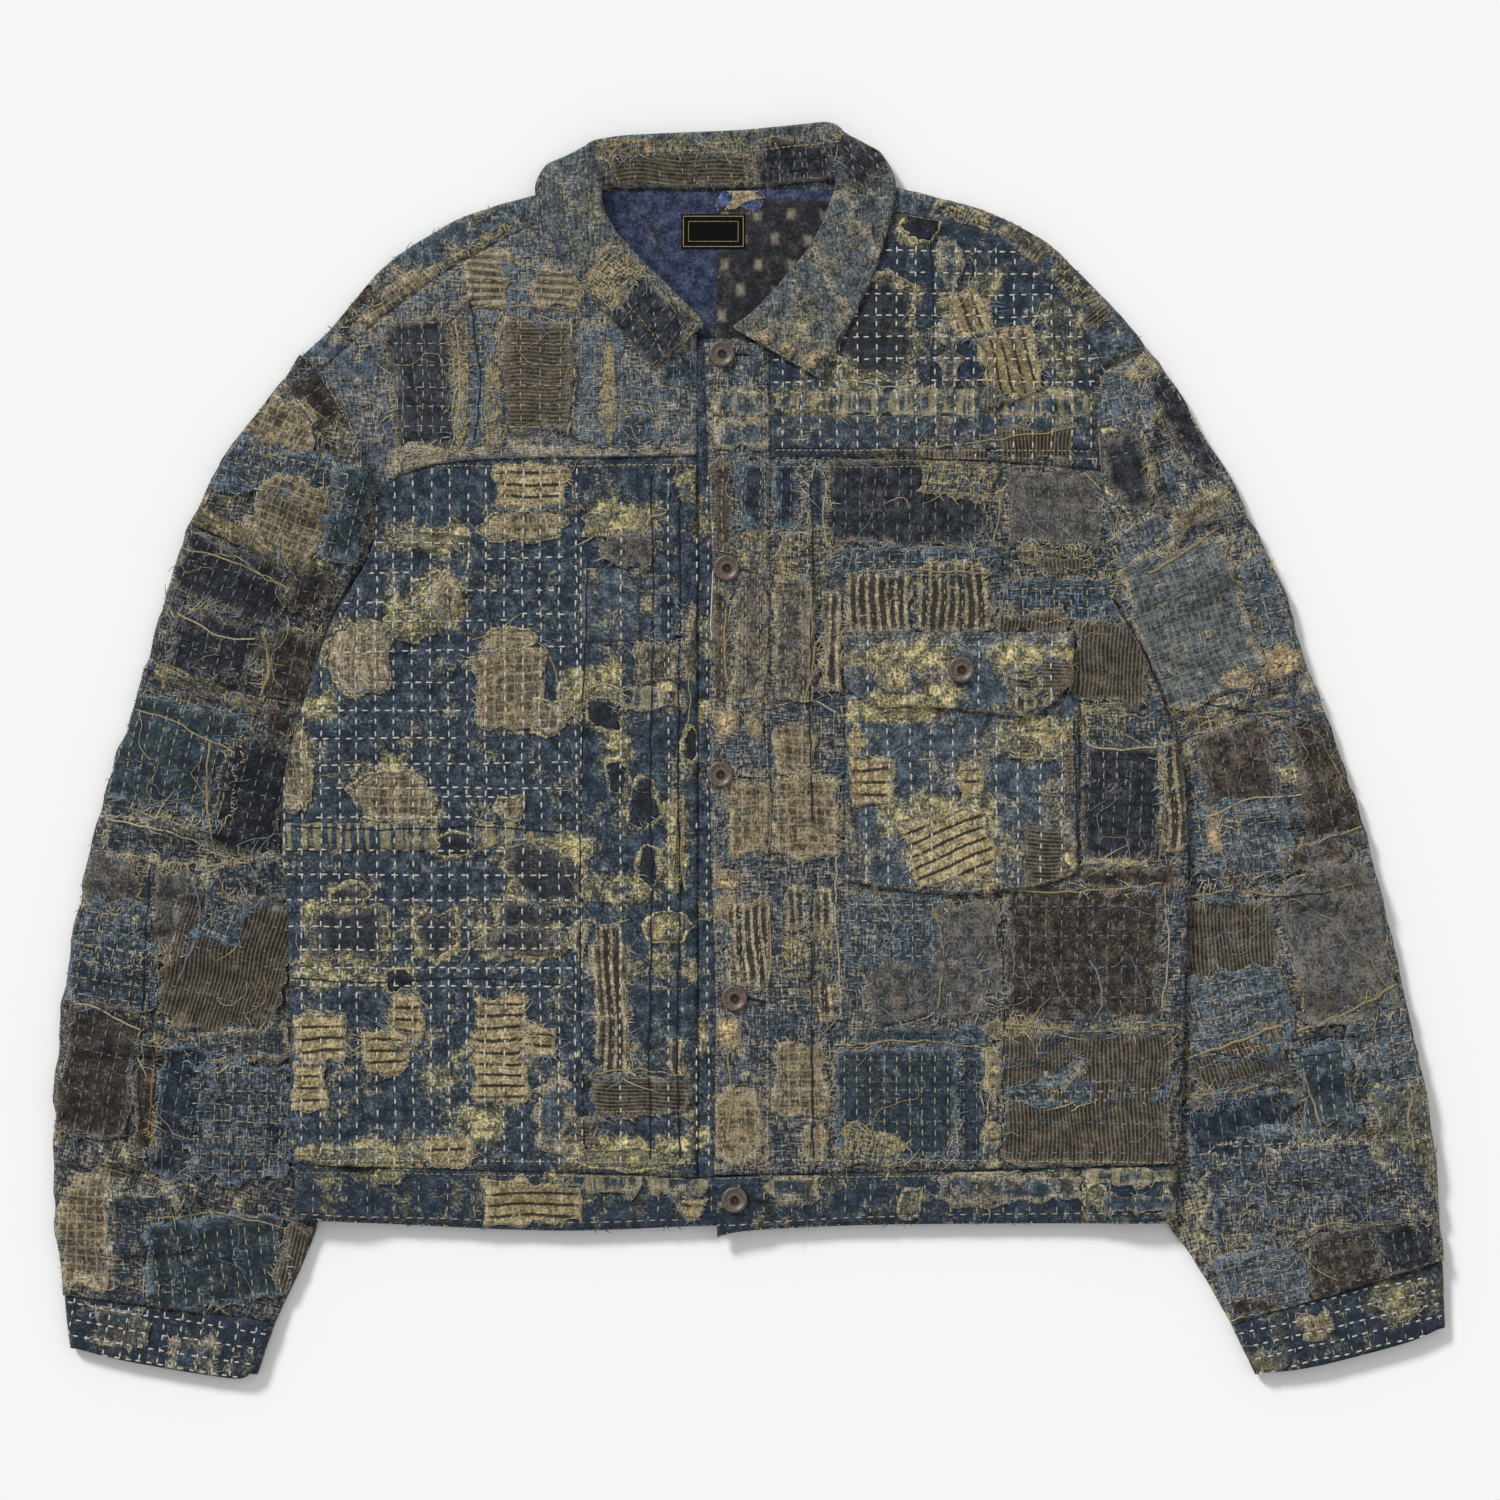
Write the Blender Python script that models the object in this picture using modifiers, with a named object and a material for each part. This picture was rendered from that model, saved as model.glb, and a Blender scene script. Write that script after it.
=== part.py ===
"""Patched boro jacket, buttoned up and laid flat on its back.

The jacket lies in the XY plane with its collar towards +Y and the wearer's left
towards +X, so "left" and "right" in every name are the wearer's. Z is up, and the
underside rests on z = 0. Tables are in millimetres, and to_metres() turns points
into Blender's metres. Each panel is an open surface through the middle of its cloth,
a grid between its cut edges, which a Solidify modifier gives the cloth's thickness.
"""

import math

import bpy

MILLIMETRE = 0.001
CLOTH = 2.4  # patched and quilted cloth, several layers sewn as one
COLLAR_CLOTH = 2.2
POCKET_CLOTH = 2.0
LINING_CLOTH = 0.8
LABEL_CLOTH = 0.8
SEAM_GAP = 0.3  # between pieces that a seam joins
INSIDE_GAP = 3.4  # air between the back and the fronts lying on it
SIDE_INSIDE_GAP = 1.2  # the same at the side seams, where the two are sewn

BACK_Z = CLOTH / 2
FRONT_Z = BACK_Z + CLOTH + INSIDE_GAP

# Each side edge lies on its sleeve, so the body is lifted along it.
SIDE_LIFT = 6.4
LIFT_FLAT = 25  # width of the band that is lifted all the way
LIFT_RAMP = 38  # width of the slope down from it
LIFT_START = 3  # below the armpit
LIFT_FULL = 30

SLEEVE_TOP_Z = 7.4
SLEEVE_EDGE_TOP_Z = 4.4  # where the sleeve is pressed flat under the body
SLEEVE_PRESSED = 24
SLEEVE_SWELL = 30  # width over which it swells to its full height
SLEEVE_SECTIONS = 24
SLEEVE_TURN = 3  # flats round each edge of a sleeve
ARMHOLE_GAP = 0.8  # a wider seam gap, because the sleeve's cloth lies at another height
CUFF_GAP = 0.4
CUFF_SHARES = (0, 0.08, 0.2, 0.35, 0.5, 0.65, 0.8, 0.92, 1)

# Cut edges, as points (x, y) that a smooth curve passes through.
SIDE_RIGHT = (
    (-292, -262), (-294, -221), (-294, -163), (-296, -102), (-299, -61),
    (-298, -17), (-291, 16), (-281, 45), (-270, 78), (-259, 99), (-244, 126),
)
SIDE_LEFT = (
    (274, -262), (276, -221), (278, -157), (280, -74), (278, -17),
    (270, 15), (259, 47), (250, 68), (232, 99),
)
ARMHOLE_RIGHT = (
    (-287, 255), (-276, 244), (-259, 217), (-252, 201), (-246, 182),
    (-240, 166), (-240, 143), (-244, 126),
)
ARMHOLE_LEFT = (
    (253, 261), (240, 254), (228, 247), (224, 234), (223, 213),
    (225, 181), (228, 145), (232, 99),
)
SHOULDER_TOP_RIGHT = (
    (-287, 255), (-270, 271), (-253, 291), (-236, 310), (-211, 329), (-172, 348), (-112, 364),
)
SHOULDER_TOP_LEFT = (
    (253, 261), (246, 271), (228, 291), (209, 310), (187, 329), (149, 348), (72, 368),
)
SHOULDER_SEAM_RIGHT = (
    (-276, 244), (-256, 262), (-227, 285), (-197, 307), (-166, 325), (-134, 340), (-106, 346),
)
SHOULDER_SEAM_LEFT = (
    (228, 247), (214, 271), (198, 296), (179, 315), (150, 335), (96, 346), (62, 352),
)
YOKE_SEAM_RIGHT = ((-240, 166), (-224, 178), (-198, 186), (-160, 189), (-96, 190), (-34, 191))
YOKE_SEAM_LEFT = ((11, 189), (96, 189), (160, 187), (198, 184), (225, 181))
NECKLINE_RIGHT = ((-34, 268), (-48, 281), (-66, 297), (-82, 313), (-96, 329), (-106, 346))
NECKLINE_LEFT = ((1, 261), (18, 280), (36, 303), (50, 325), (58, 341), (62, 352))
BACK_NECKLINE = ((-112, 364), (-92, 361), (-58, 360), (-19, 360), (19, 362), (51, 366), (72, 368))
BACK_YOKE_SEAM_Y = 206
SHOULDER_COLUMNS = 8
SHOULDER_GAP = 0.5
WAIST_SEAM_FRONT = (
    (-292, -262), (-192, -266), (-83, -269), (-34, -271), (13, -269), (160, -266), (274, -262),
)

# Rows below the armhole, and columns. The back's are shares of its width. The fronts' are
# shares of the way in from the outer edge, then fixed x that meet the pleats.
FRONT_ROWS = 13
BACK_ROWS = 10
BACK_SPREAD = (0, 0.045, 0.075, 0.105, 0.17, 0.3, 0.5, 0.7, 0.83, 0.895, 0.925, 0.955, 1)
FRONT_SPREAD = (0, 0.05, 0.11, 0.17, 0.24, 0.36, 0.52, 0.68, 0.84)
RIGHT_FRONT_X = (-104, -84, -70, -61.7, -60, -52, -43.7, -42, -34)
LEFT_FRONT_X = (13, 26, 39, 40.7, 50, 66, 90)

# The over placket's two long edges, by height.
PLACKET_EDGES = (
    # y, free edge x, sewn edge x
    (263, -29, 5),
    (190, -27, 11),
    (119, -24, 13),
    (60, -26, 13),
    (-60, -25, 13),
    (-156, -22, 13),
    (-271, -23, 13),
)
UNDER_PLACKET_LEFT_X = -34
OVER_PLACKET_SPREAD = (0, 0.25, 0.5, 0.74, 0.83, 0.92, 1)
UNDER_PLACKET_X = (-34, -24, -12, 1)
PLACKET_RIGHT_TOP_Y = 266
OVERLAP_Z = FRONT_Z + CLOTH + 0.4
OVERLAP_END_X = 3  # the over placket starts to come down here
OVERLAP_DOWN_X = 13

WAISTBAND_BOTTOM_FRONT = (
    (-291, -297), (-224, -301), (-122, -305), (-32, -302), (1, -302),
)
WAISTBAND_BOTTOM_OVER = ((273, -300), (96, -301), (13, -304), (-10, -306), (-21, -309))
WAISTBAND_BOTTOM_BACK_Y = -299
WAIST_GAP = 0.4  # from the waist seam to the waistband's upper edge
WAISTBAND_SIDE_X = {"right": -292, "left": 274}
WAISTBAND_FOLD_INSET = 4  # from a side to the middle of the fold there
# The x of the waistband's cross sections, in the order that the strip runs.
WAISTBAND_UNDER_X = (
    1, -16, -34, -60, -90, -122, -150, -180, -205, -224, -240, -256, -270, -281,
)
WAISTBAND_BACK_X = (
    -281, -265, -250, -235, -215, -170, -85, 0, 80, 150, 195, 215, 232, 250, 265,
)
WAISTBAND_OVER_X = (
    265, 253, 240, 224, 205, 175, 145, 110, 75, 40, 14, 11, 7, 3, -8, -21,
)

SLEEVE_OUTER_RIGHT = (
    (-287, 255), (-318, 214), (-344, 175), (-361, 137), (-374, 99), (-385, 60),
    (-409, -17), (-429, -93), (-441, -170), (-445, -247), (-444, -300), (-439, -346),
)
SLEEVE_INNER_RIGHT = (
    (-244, 126), (-254, 112), (-262, 98), (-269, 84), (-276, 64), (-281, 40), (-284, 12),
    (-286, -30), (-286, -85),
    (-283, -150), (-280, -220), (-276, -290), (-286, -325), (-305, -364),
)
SLEEVE_OUTER_LEFT = (
    (253, 261), (284, 214), (306, 175), (325, 137), (342, 99), (355, 60),
    (383, -17), (404, -93), (422, -170), (437, -247), (441, -290), (443, -324),
)
SLEEVE_INNER_LEFT = (
    (232, 99), (241, 86), (248, 74), (255, 60), (260, 44), (265, 15), (267, -17), (268, -74),
    (266, -157), (264, -221), (264, -290), (285, -324), (309, -366),
)
CUFF_END_RIGHT = ((-435, -380), (-397, -389), (-329, -400), (-316, -397))
CUFF_END_LEFT = ((445, -367), (420, -377), (357, -393), (324, -397))

# The collar, station by station from its right front end round the back of the neck.
# Seam, roll and edge are its sewn edge, its fold line and its free edge, in x, y and z.
# Tilt is the way the fold line faces: 0 towards the neck, 90 up and 180 away from it.
COLLAR_STATIONS = (
    # seam x, y, z, roll x, y, z, edge x, y, z, tilt
    (-28, 270, 9.9, -30, 275, 11.5, -62, 246, 9.9, 0),
    (-40, 279, 9.9, -38, 284, 11.5, -70, 256, 9.9, 0),
    (-55, 291, 9.9, -50, 296, 11.5, -82, 270, 9.9, 0),
    (-71, 305, 9.9, -63, 309, 11.5, -95, 284, 9.9, 0),
    (-86, 319, 9.9, -76, 322, 11.5, -108, 300, 9.9, 0),
    (-97, 334, 9.9, -87, 335, 11.6, -119, 318, 9.9, 0),
    (-103, 349, 9.9, -94, 348, 12.5, -129, 337, 9.9, 20),
    (-101, 357, 8.6, -97, 362, 15.0, -136, 352, 10.4, 60),
    (-96, 361, 6.6, -102, 377, 15.5, -136, 367, 8.2, 100),
    (-88, 363, 4.8, -103, 389, 13.5, -124, 379, 4.2, 140),
    (-76, 363, 4.2, -86, 394, 11.0, -96, 370, 1.8, 170),
    (-56, 363, 4.2, -60, 396, 10.0, -62, 367, 1.3, 180),
    (-34, 363, 4.2, -34, 397, 10.0, -34, 367, 1.3, 180),
    (-12, 363, 4.2, -10, 398, 10.0, -8, 367, 1.3, 180),
    (10, 364, 4.2, 14, 400, 10.0, 16, 368, 1.3, 180),
    (28, 366, 4.2, 34, 402, 10.2, 40, 371, 1.3, 180),
    (40, 368, 4.2, 50, 403, 11.5, 64, 378, 1.8, 170),
    (48, 368, 4.8, 58, 398, 13.5, 80, 386, 4.4, 140),
    (55, 367, 6.6, 60, 384, 15.5, 91, 372, 8.2, 100),
    (60, 361, 8.6, 57, 367, 15.0, 93, 357, 10.4, 60),
    (62, 351, 9.9, 52, 352, 12.5, 90, 343, 9.9, 20),
    (58, 338, 9.9, 47, 339, 11.6, 86, 327, 9.9, 0),
    (50, 322, 9.9, 38, 323, 11.5, 80, 309, 9.9, 0),
    (38, 305, 9.9, 26, 308, 11.5, 72, 291, 9.9, 0),
    (24, 288, 9.9, 14, 294, 11.5, 63, 273, 9.9, 0),
    (11, 275, 9.9, 2, 282, 11.5, 54, 255, 9.9, 0),
    (0, 267, 9.9, -10, 273, 11.5, 46, 239, 9.9, 0),
)
NECK_CENTRE = (-22, 322)
COLLAR_TURN = 1.55  # radius of the roll, at the middle of its cloth
COLLAR_FALL_SHARES = (0.28, 0.5, 0.74, 1.0)

POCKET_GAP = 0.7
POCKET_LEFT_X = 61
POCKET_RIGHT_X = 210
POCKET_TOP_Y = 38
POCKET_BOTTOM = ((61, -81), (90, -86), (130, -90), (176, -86), (210, -76))
FLAP_TOP_Y = 78
FLAP_BOTTOM = ((60, 44), (78, 31), (104, 30), (131, 29), (168, 24), (186, 26), (207, 46))
FLAP_RIDE_TOP_Y = 77  # the flap climbs from its seam, to lie over the pocket's mouth
FLAP_RIDE_END_Y = 66

BUTTON_RADIUS = 8.5
BUTTON_HEIGHT = 3.4
BUTTON_RIM = 1.5  # radius of the rounded rim
BUTTON_HOLE_RADIUS = 2.2
BUTTON_STEPS = 16
PLACKET_BUTTONS = (
    # x, y
    (-18, 256),
    (-15, 119),
    (-19, -13),
    (-10, -156),
    (-10, -285),
)
FLAP_BUTTON = (135, 54)

LINING_OUTLINE = ((-112, 268), (62, 262), (66, 352), (-104, 352))
LABEL_CENTRE = (-23.5, 335)
LABEL_SIZE = (41, 22)

# Pleats are folds that run down the fronts. The cloth steps down on the outer side.
PLEATS = (
    # x of the fold, side that is raised, height
    (-60, 1, 1.3),
    (-42, 1, 1.1),
    (39, -1, 1.3),
)
PLEAT_STEP = 1.6
PLEAT_WIDTH = 15
PLEAT_TOP_Y = 188
PLEAT_FADE = 14

# The largest folds, as soft ridges that rise from the cloth between two ends.
FOLDS = (
    # start x, y, end x, y, height, half width
    (-150, 142, -236, 70, 4.2, 15),
    (-196, 168, -226, 116, 2.4, 13),
    (-270, 22, -206, 4, 2.6, 16),
    (-262, -66, -186, -84, 2.2, 15),
    (-140, -10, -96, 60, 2.4, 17),
    (-216, -196, -172, -262, 2.6, 15),
    (-292, -286, -226, -258, 2.6, 13),
    (-126, -250, -96, -170, 2.0, 14),
    (-228, 236, -160, 208, 2.2, 14),
    (-176, 292, -120, 262, 2.0, 15),
    (188, 296, 216, 208, 2.8, 13),
    (112, 268, 176, 232, 2.2, 14),
    (60, 222, 150, 204, 1.8, 12),
    (148, 158, 216, 128, 2.6, 15),
    (232, 8, 262, -96, 2.4, 13),
    (70, -120, 128, -178, 2.2, 16),
    (168, -116, 236, -186, 2.8, 16),
    (52, -206, 96, -258, 2.2, 14),
    (150, -240, 236, -214, 2.2, 15),
    (-262, 206, -252, 128, 5.0, 13),
    (-300, 210, -268, 148, 4.0, 14),
    (-338, 150, -272, 118, 3.6, 15),
    (-352, 104, -296, 70, 3.0, 15),
    (-386, 20, -316, -16, 3.0, 16),
    (-412, -66, -330, -96, 3.4, 17),
    (-424, -140, -322, -126, 2.8, 15),
    (-430, -210, -340, -232, 3.4, 17),
    (-424, -292, -330, -270, 3.0, 15),
    (-398, -330, -350, -250, 2.2, 13),
    (240, 224, 262, 150, 4.2, 13),
    (270, 190, 304, 142, 3.4, 15),
    (262, 108, 330, 118, 3.8, 15),
    (284, 64, 352, 40, 3.0, 15),
    (296, 10, 372, -26, 3.4, 17),
    (306, -60, 394, -74, 3.0, 16),
    (312, -120, 404, -158, 3.6, 18),
    (310, -190, 420, -206, 3.0, 16),
    (312, -250, 396, -282, 3.4, 17),
    (354, -306, 426, -262, 2.4, 14),
)

# Material slots: colour, roughness and metallic value.
FINISHES = {
    "indigo_cloth": ((0.055, 0.085, 0.135), 0.92, 0.0),
    "patched_cloth": ((0.085, 0.095, 0.115), 0.94, 0.0),
    "collar_cloth": ((0.080, 0.085, 0.085), 0.94, 0.0),
    "lining_cloth": ((0.050, 0.062, 0.150), 0.88, 0.0),
    "label_cloth": ((0.022, 0.020, 0.018), 0.70, 0.0),
    "button_metal": ((0.150, 0.125, 0.120), 0.45, 0.85),
}


def smoothstep(value):
    """0 below 0, 1 above 1, and a smooth rise between them."""
    share = min(1.0, max(0.0, value))
    return share * share * (3 - 2 * share)


def curve_points(points, steps=10):
    """A dense line on the smooth (Catmull-Rom) curve through the points."""
    last = len(points) - 1
    dense = []
    for i in range(last):
        before, start = points[max(i - 1, 0)], points[i]
        end, after = points[i + 1], points[min(i + 2, last)]
        for k in range(steps):
            t = k / steps
            dense.append(tuple(
                0.5 * (2 * b + (c - a) * t + (2 * a - 5 * b + 4 * c - d) * t**2
                       + (3 * b - a - 3 * c + d) * t**3)
                for a, b, c, d in zip(before, start, end, after)
            ))
    dense.append(tuple(points[last]))
    return dense


def at_shares(points, shares):
    """Points at these shares of the smooth curve's length."""
    dense = curve_points(points)
    lengths = [0.0]
    for a, b in zip(dense, dense[1:]):
        lengths.append(lengths[-1] + math.dist(a, b))
    found = []
    for share in shares:
        goal = share * lengths[-1]
        k = 0
        while k < len(dense) - 2 and lengths[k + 1] < goal:
            k += 1
        span = lengths[k + 1] - lengths[k]
        t = (goal - lengths[k]) / span
        found.append(tuple(a + (b - a) * t for a, b in zip(dense[k], dense[k + 1])))
    return found


def even(count):
    """Shares 0 to 1 in count equal steps."""
    return [i / count for i in range(count + 1)]


def share_near(points, place):
    """The share of the curve's length at which it passes nearest this place."""
    shares = even(200)
    found = at_shares(points, shares)
    nearest = min(range(len(found)), key=lambda i: math.dist(found[i], place))
    return shares[nearest]


def x_at(points, y):
    """The curve's x at this height."""
    dense = curve_points(points)
    for a, b in zip(dense, dense[1:]):
        if min(a[1], b[1]) <= y <= max(a[1], b[1]) and a[1] != b[1]:
            return a[0] + (b[0] - a[0]) * (y - a[1]) / (b[1] - a[1])
    return min(dense, key=lambda p: abs(p[1] - y))[0]


def y_at(points, x):
    """The curve's y at this x."""
    return x_at([(q, p) for p, q in points], x)


def folds_at(x, y):
    """How far the folds lift the cloth at a point."""
    lift = 0.0
    for x0, y0, x1, y1, height, half_width in FOLDS:
        run = (x1 - x0, y1 - y0)
        length = math.hypot(*run)
        along = ((x - x0) * run[0] + (y - y0) * run[1]) / length
        across = abs((x - x0) * run[1] - (y - y0) * run[0]) / length
        if 0 < along < length and across < half_width:
            end = math.sin(math.pi * along / length) ** 0.8
            lift = max(lift, height * end * math.cos(math.pi * across / half_width / 2) ** 2)
    return lift


def pleats_at(x, y):
    """How far the pleats raise the fronts. They end under the yokes."""
    lift = 0.0
    for fold_x, side, height in PLEATS:
        inside = (x - fold_x) * side
        if 0 <= inside < PLEAT_WIDTH:
            lift = max(lift, height * (1 - inside / PLEAT_WIDTH))
        elif -PLEAT_STEP < inside < 0:
            lift = max(lift, height * (1 + inside / PLEAT_STEP))
    return lift * smoothstep((PLEAT_TOP_Y - y) / PLEAT_FADE)


def from_side(x, y):
    """Distance from the nearer side edge, and how far the body is lifted there."""
    edge, armpit = (SIDE_RIGHT, 126) if x < 0 else (SIDE_LEFT, 99)
    inside = abs(x_at(edge, y) - x) if y < armpit else 1000
    share = smoothstep((armpit - LIFT_START - y) / (LIFT_FULL - LIFT_START))
    return inside, SIDE_LIFT * share * smoothstep((LIFT_FLAT + LIFT_RAMP - inside) / LIFT_RAMP)


def back_z(x, y):
    """Middle of the back's cloth."""
    return BACK_Z + from_side(x, y)[1]


def front_z(x, y, creased=True):
    """Middle of the fronts' and yokes' cloth."""
    inside, lift = from_side(x, y)
    ease = smoothstep(inside / (LIFT_FLAT + LIFT_RAMP))
    share = smoothstep(lift / SIDE_LIFT * 2)
    gap = INSIDE_GAP + (SIDE_INSIDE_GAP - INSIDE_GAP) * (1 - ease) * share
    z = BACK_Z + lift + CLOTH + gap
    return z + (folds_at(x, y) + pleats_at(x, y) if creased else 0)


def overlap_z(x, y):
    """Middle of the over placket's cloth, which comes down to the front it is sewn to."""
    down = smoothstep((x - OVERLAP_END_X) / (OVERLAP_DOWN_X - OVERLAP_END_X))
    return OVERLAP_Z + (FRONT_Z - OVERLAP_Z) * down


def pocket_z(x, y):
    """Middle of the pocket's cloth, which lies on the front."""
    return front_z(x, y, creased=False) + CLOTH / 2 + POCKET_GAP + POCKET_CLOTH / 2


def flap_z(x, y):
    """Middle of the flap's cloth: on the front at its seam, and over the pocket below."""
    climb = smoothstep((FLAP_RIDE_TOP_Y - y) / (FLAP_RIDE_TOP_Y - FLAP_RIDE_END_Y))
    return pocket_z(x, y) + (POCKET_CLOTH + SEAM_GAP) * climb


def coons(bottom, top, left, right, across=None):
    """Rows of points between four edges. Bottom and top run to +X, left and right run up."""
    columns, rows = len(bottom) - 1, len(left) - 1
    across = across or even(columns)
    grid = []
    for j in range(rows + 1):
        v = j / rows
        row = []
        for i in range(columns + 1):
            u = across[i]
            row.append(tuple(
                (1 - v) * bottom[i][k] + v * top[i][k] + (1 - u) * left[j][k] + u * right[j][k]
                - (1 - u) * (1 - v) * bottom[0][k] - u * (1 - v) * bottom[-1][k]
                - (1 - u) * v * top[0][k] - u * v * top[-1][k]
                for k in (0, 1)
            ))
        grid.append(row)
    return grid


def inset(grid, by, sides="lrbt"):
    """Moves a grid's outer points in, on the sides named, so that a seam gap is left."""
    moved = [list(row) for row in grid]
    last_row, last = len(grid) - 1, len(grid[0]) - 1

    def pull(row, column, towards_row, towards_column):
        a, b = grid[row][column], grid[towards_row][towards_column]
        share = by / max(math.dist(a, b), by)
        here = moved[row][column]
        moved[row][column] = tuple(h + (q - p) * share for h, p, q in zip(here, a, b))

    for j in range(last_row + 1):
        if "l" in sides:
            pull(j, 0, j, 1)
        if "r" in sides:
            pull(j, last, j, last - 1)
    for i in range(last + 1):
        if "b" in sides:
            pull(0, i, 1, i)
        if "t" in sides:
            pull(last_row, i, last_row - 1, i)
    return moved


def with_z(grid, z_of):
    """Lifts a flat grid's points to the height that z_of gives."""
    return [[(x, y, z_of(x, y)) for x, y in row] for row in grid]


def to_metres(point):
    return tuple(value * MILLIMETRE for value in point)


def material(slot):
    """The slot's Principled material, made once."""
    found = bpy.data.materials.get(slot)
    if found:
        return found
    colour, roughness, metallic = FINISHES[slot]
    made = bpy.data.materials.new(slot)
    made.use_nodes = True
    shader = made.node_tree.nodes["Principled BSDF"]
    shader.inputs["Base Color"].default_value = (*colour, 1)
    shader.inputs["Roughness"].default_value = roughness
    shader.inputs["Metallic"].default_value = metallic
    return made


def add_mesh(name, points, faces, slot):
    """An object in the jacket's collection, shaded smooth."""
    mesh = bpy.data.meshes.new(name)
    mesh.from_pydata([to_metres(p) for p in points], [], faces)
    mesh.shade_smooth()
    mesh.set_sharp_from_angle(angle=math.radians(50))
    mesh.materials.append(material(slot))
    made = bpy.data.objects.new(name, mesh)
    bpy.data.collections["patched_jacket"].objects.link(made)
    return made


def add_cloth(name, grid, thickness, slot, closed=False, skip=None):
    """A panel of cloth: an open surface on the grid, thickened evenly on both sides.

    closed joins the last column to the first, as round a sleeve. skip(row, column) is
    true for the grid's cells that are cut away.
    """
    columns = len(grid[0])
    points = [p for row in grid for p in row]
    faces = []
    for j in range(len(grid) - 1):
        for i in range(columns if closed else columns - 1):
            if skip and skip(j, i):
                continue
            right = (i + 1) % columns
            faces.append((j * columns + i, j * columns + right,
                          (j + 1) * columns + right, (j + 1) * columns + i))
    used = sorted({corner for face in faces for corner in face})
    place = {corner: k for k, corner in enumerate(used)}
    made = add_mesh(name, [points[k] for k in used],
                    [tuple(place[c] for c in face) for face in faces], slot)
    wall = made.modifiers.new("cloth", "SOLIDIFY")
    wall.thickness = thickness * MILLIMETRE
    wall.offset = 0
    wall.use_even_offset = False
    return made


def armhole_shares(armhole, shoulder_seam, yoke_seam_end):
    """Shares along an armhole where pieces meet, and the points between them."""
    at_shoulder = share_near(armhole, shoulder_seam[0])
    at_yoke = share_near(armhole, yoke_seam_end)
    strip = [0.0, at_shoulder / 2, at_shoulder]
    yoke = [at_shoulder + (at_yoke - at_shoulder) * s for s in even(5)]
    front = [at_yoke + (1 - at_yoke) * s for s in even(5)]
    return strip, yoke, front


def back_armhole_shares(armhole):
    """Shares along an armhole for the back yoke and, below its seam, the back."""
    dense = at_shares(armhole, even(200))
    at_seam = next(i for i, p in enumerate(dense) if p[1] <= BACK_YOKE_SEAM_Y) / 200
    return [at_seam * s for s in even(5)], [at_seam + (1 - at_seam) * s for s in even(4)]


def side_edge(side, armhole, shares, rows):
    """A body panel's outer edge from the waist seam up past the armpit."""
    lower = at_shares(side, even(rows))
    upper = at_shares(armhole, shares[::-1])
    return lower + upper[1:]


def make_back():
    right = side_edge(SIDE_RIGHT, ARMHOLE_RIGHT, back_armhole_shares(ARMHOLE_RIGHT)[1], BACK_ROWS)
    left = side_edge(SIDE_LEFT, ARMHOLE_LEFT, back_armhole_shares(ARMHOLE_LEFT)[1], BACK_ROWS)
    span = left[0][0] - right[0][0]
    bottom_x = [right[0][0] + span * u for u in BACK_SPREAD]
    bottom = [(x, y_at(WAIST_SEAM_FRONT, x)) for x in bottom_x]
    top_span = left[-1][0] - right[-1][0]
    top = [(right[-1][0] + top_span * u, BACK_YOKE_SEAM_Y) for u in BACK_SPREAD]
    grid = coons(bottom, top, right, left, BACK_SPREAD)
    grid = inset(inset(grid, SEAM_GAP / 2, "bt"), ARMHOLE_GAP, "lr")
    add_cloth("back", with_z(grid, back_z), CLOTH, "indigo_cloth")


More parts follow.
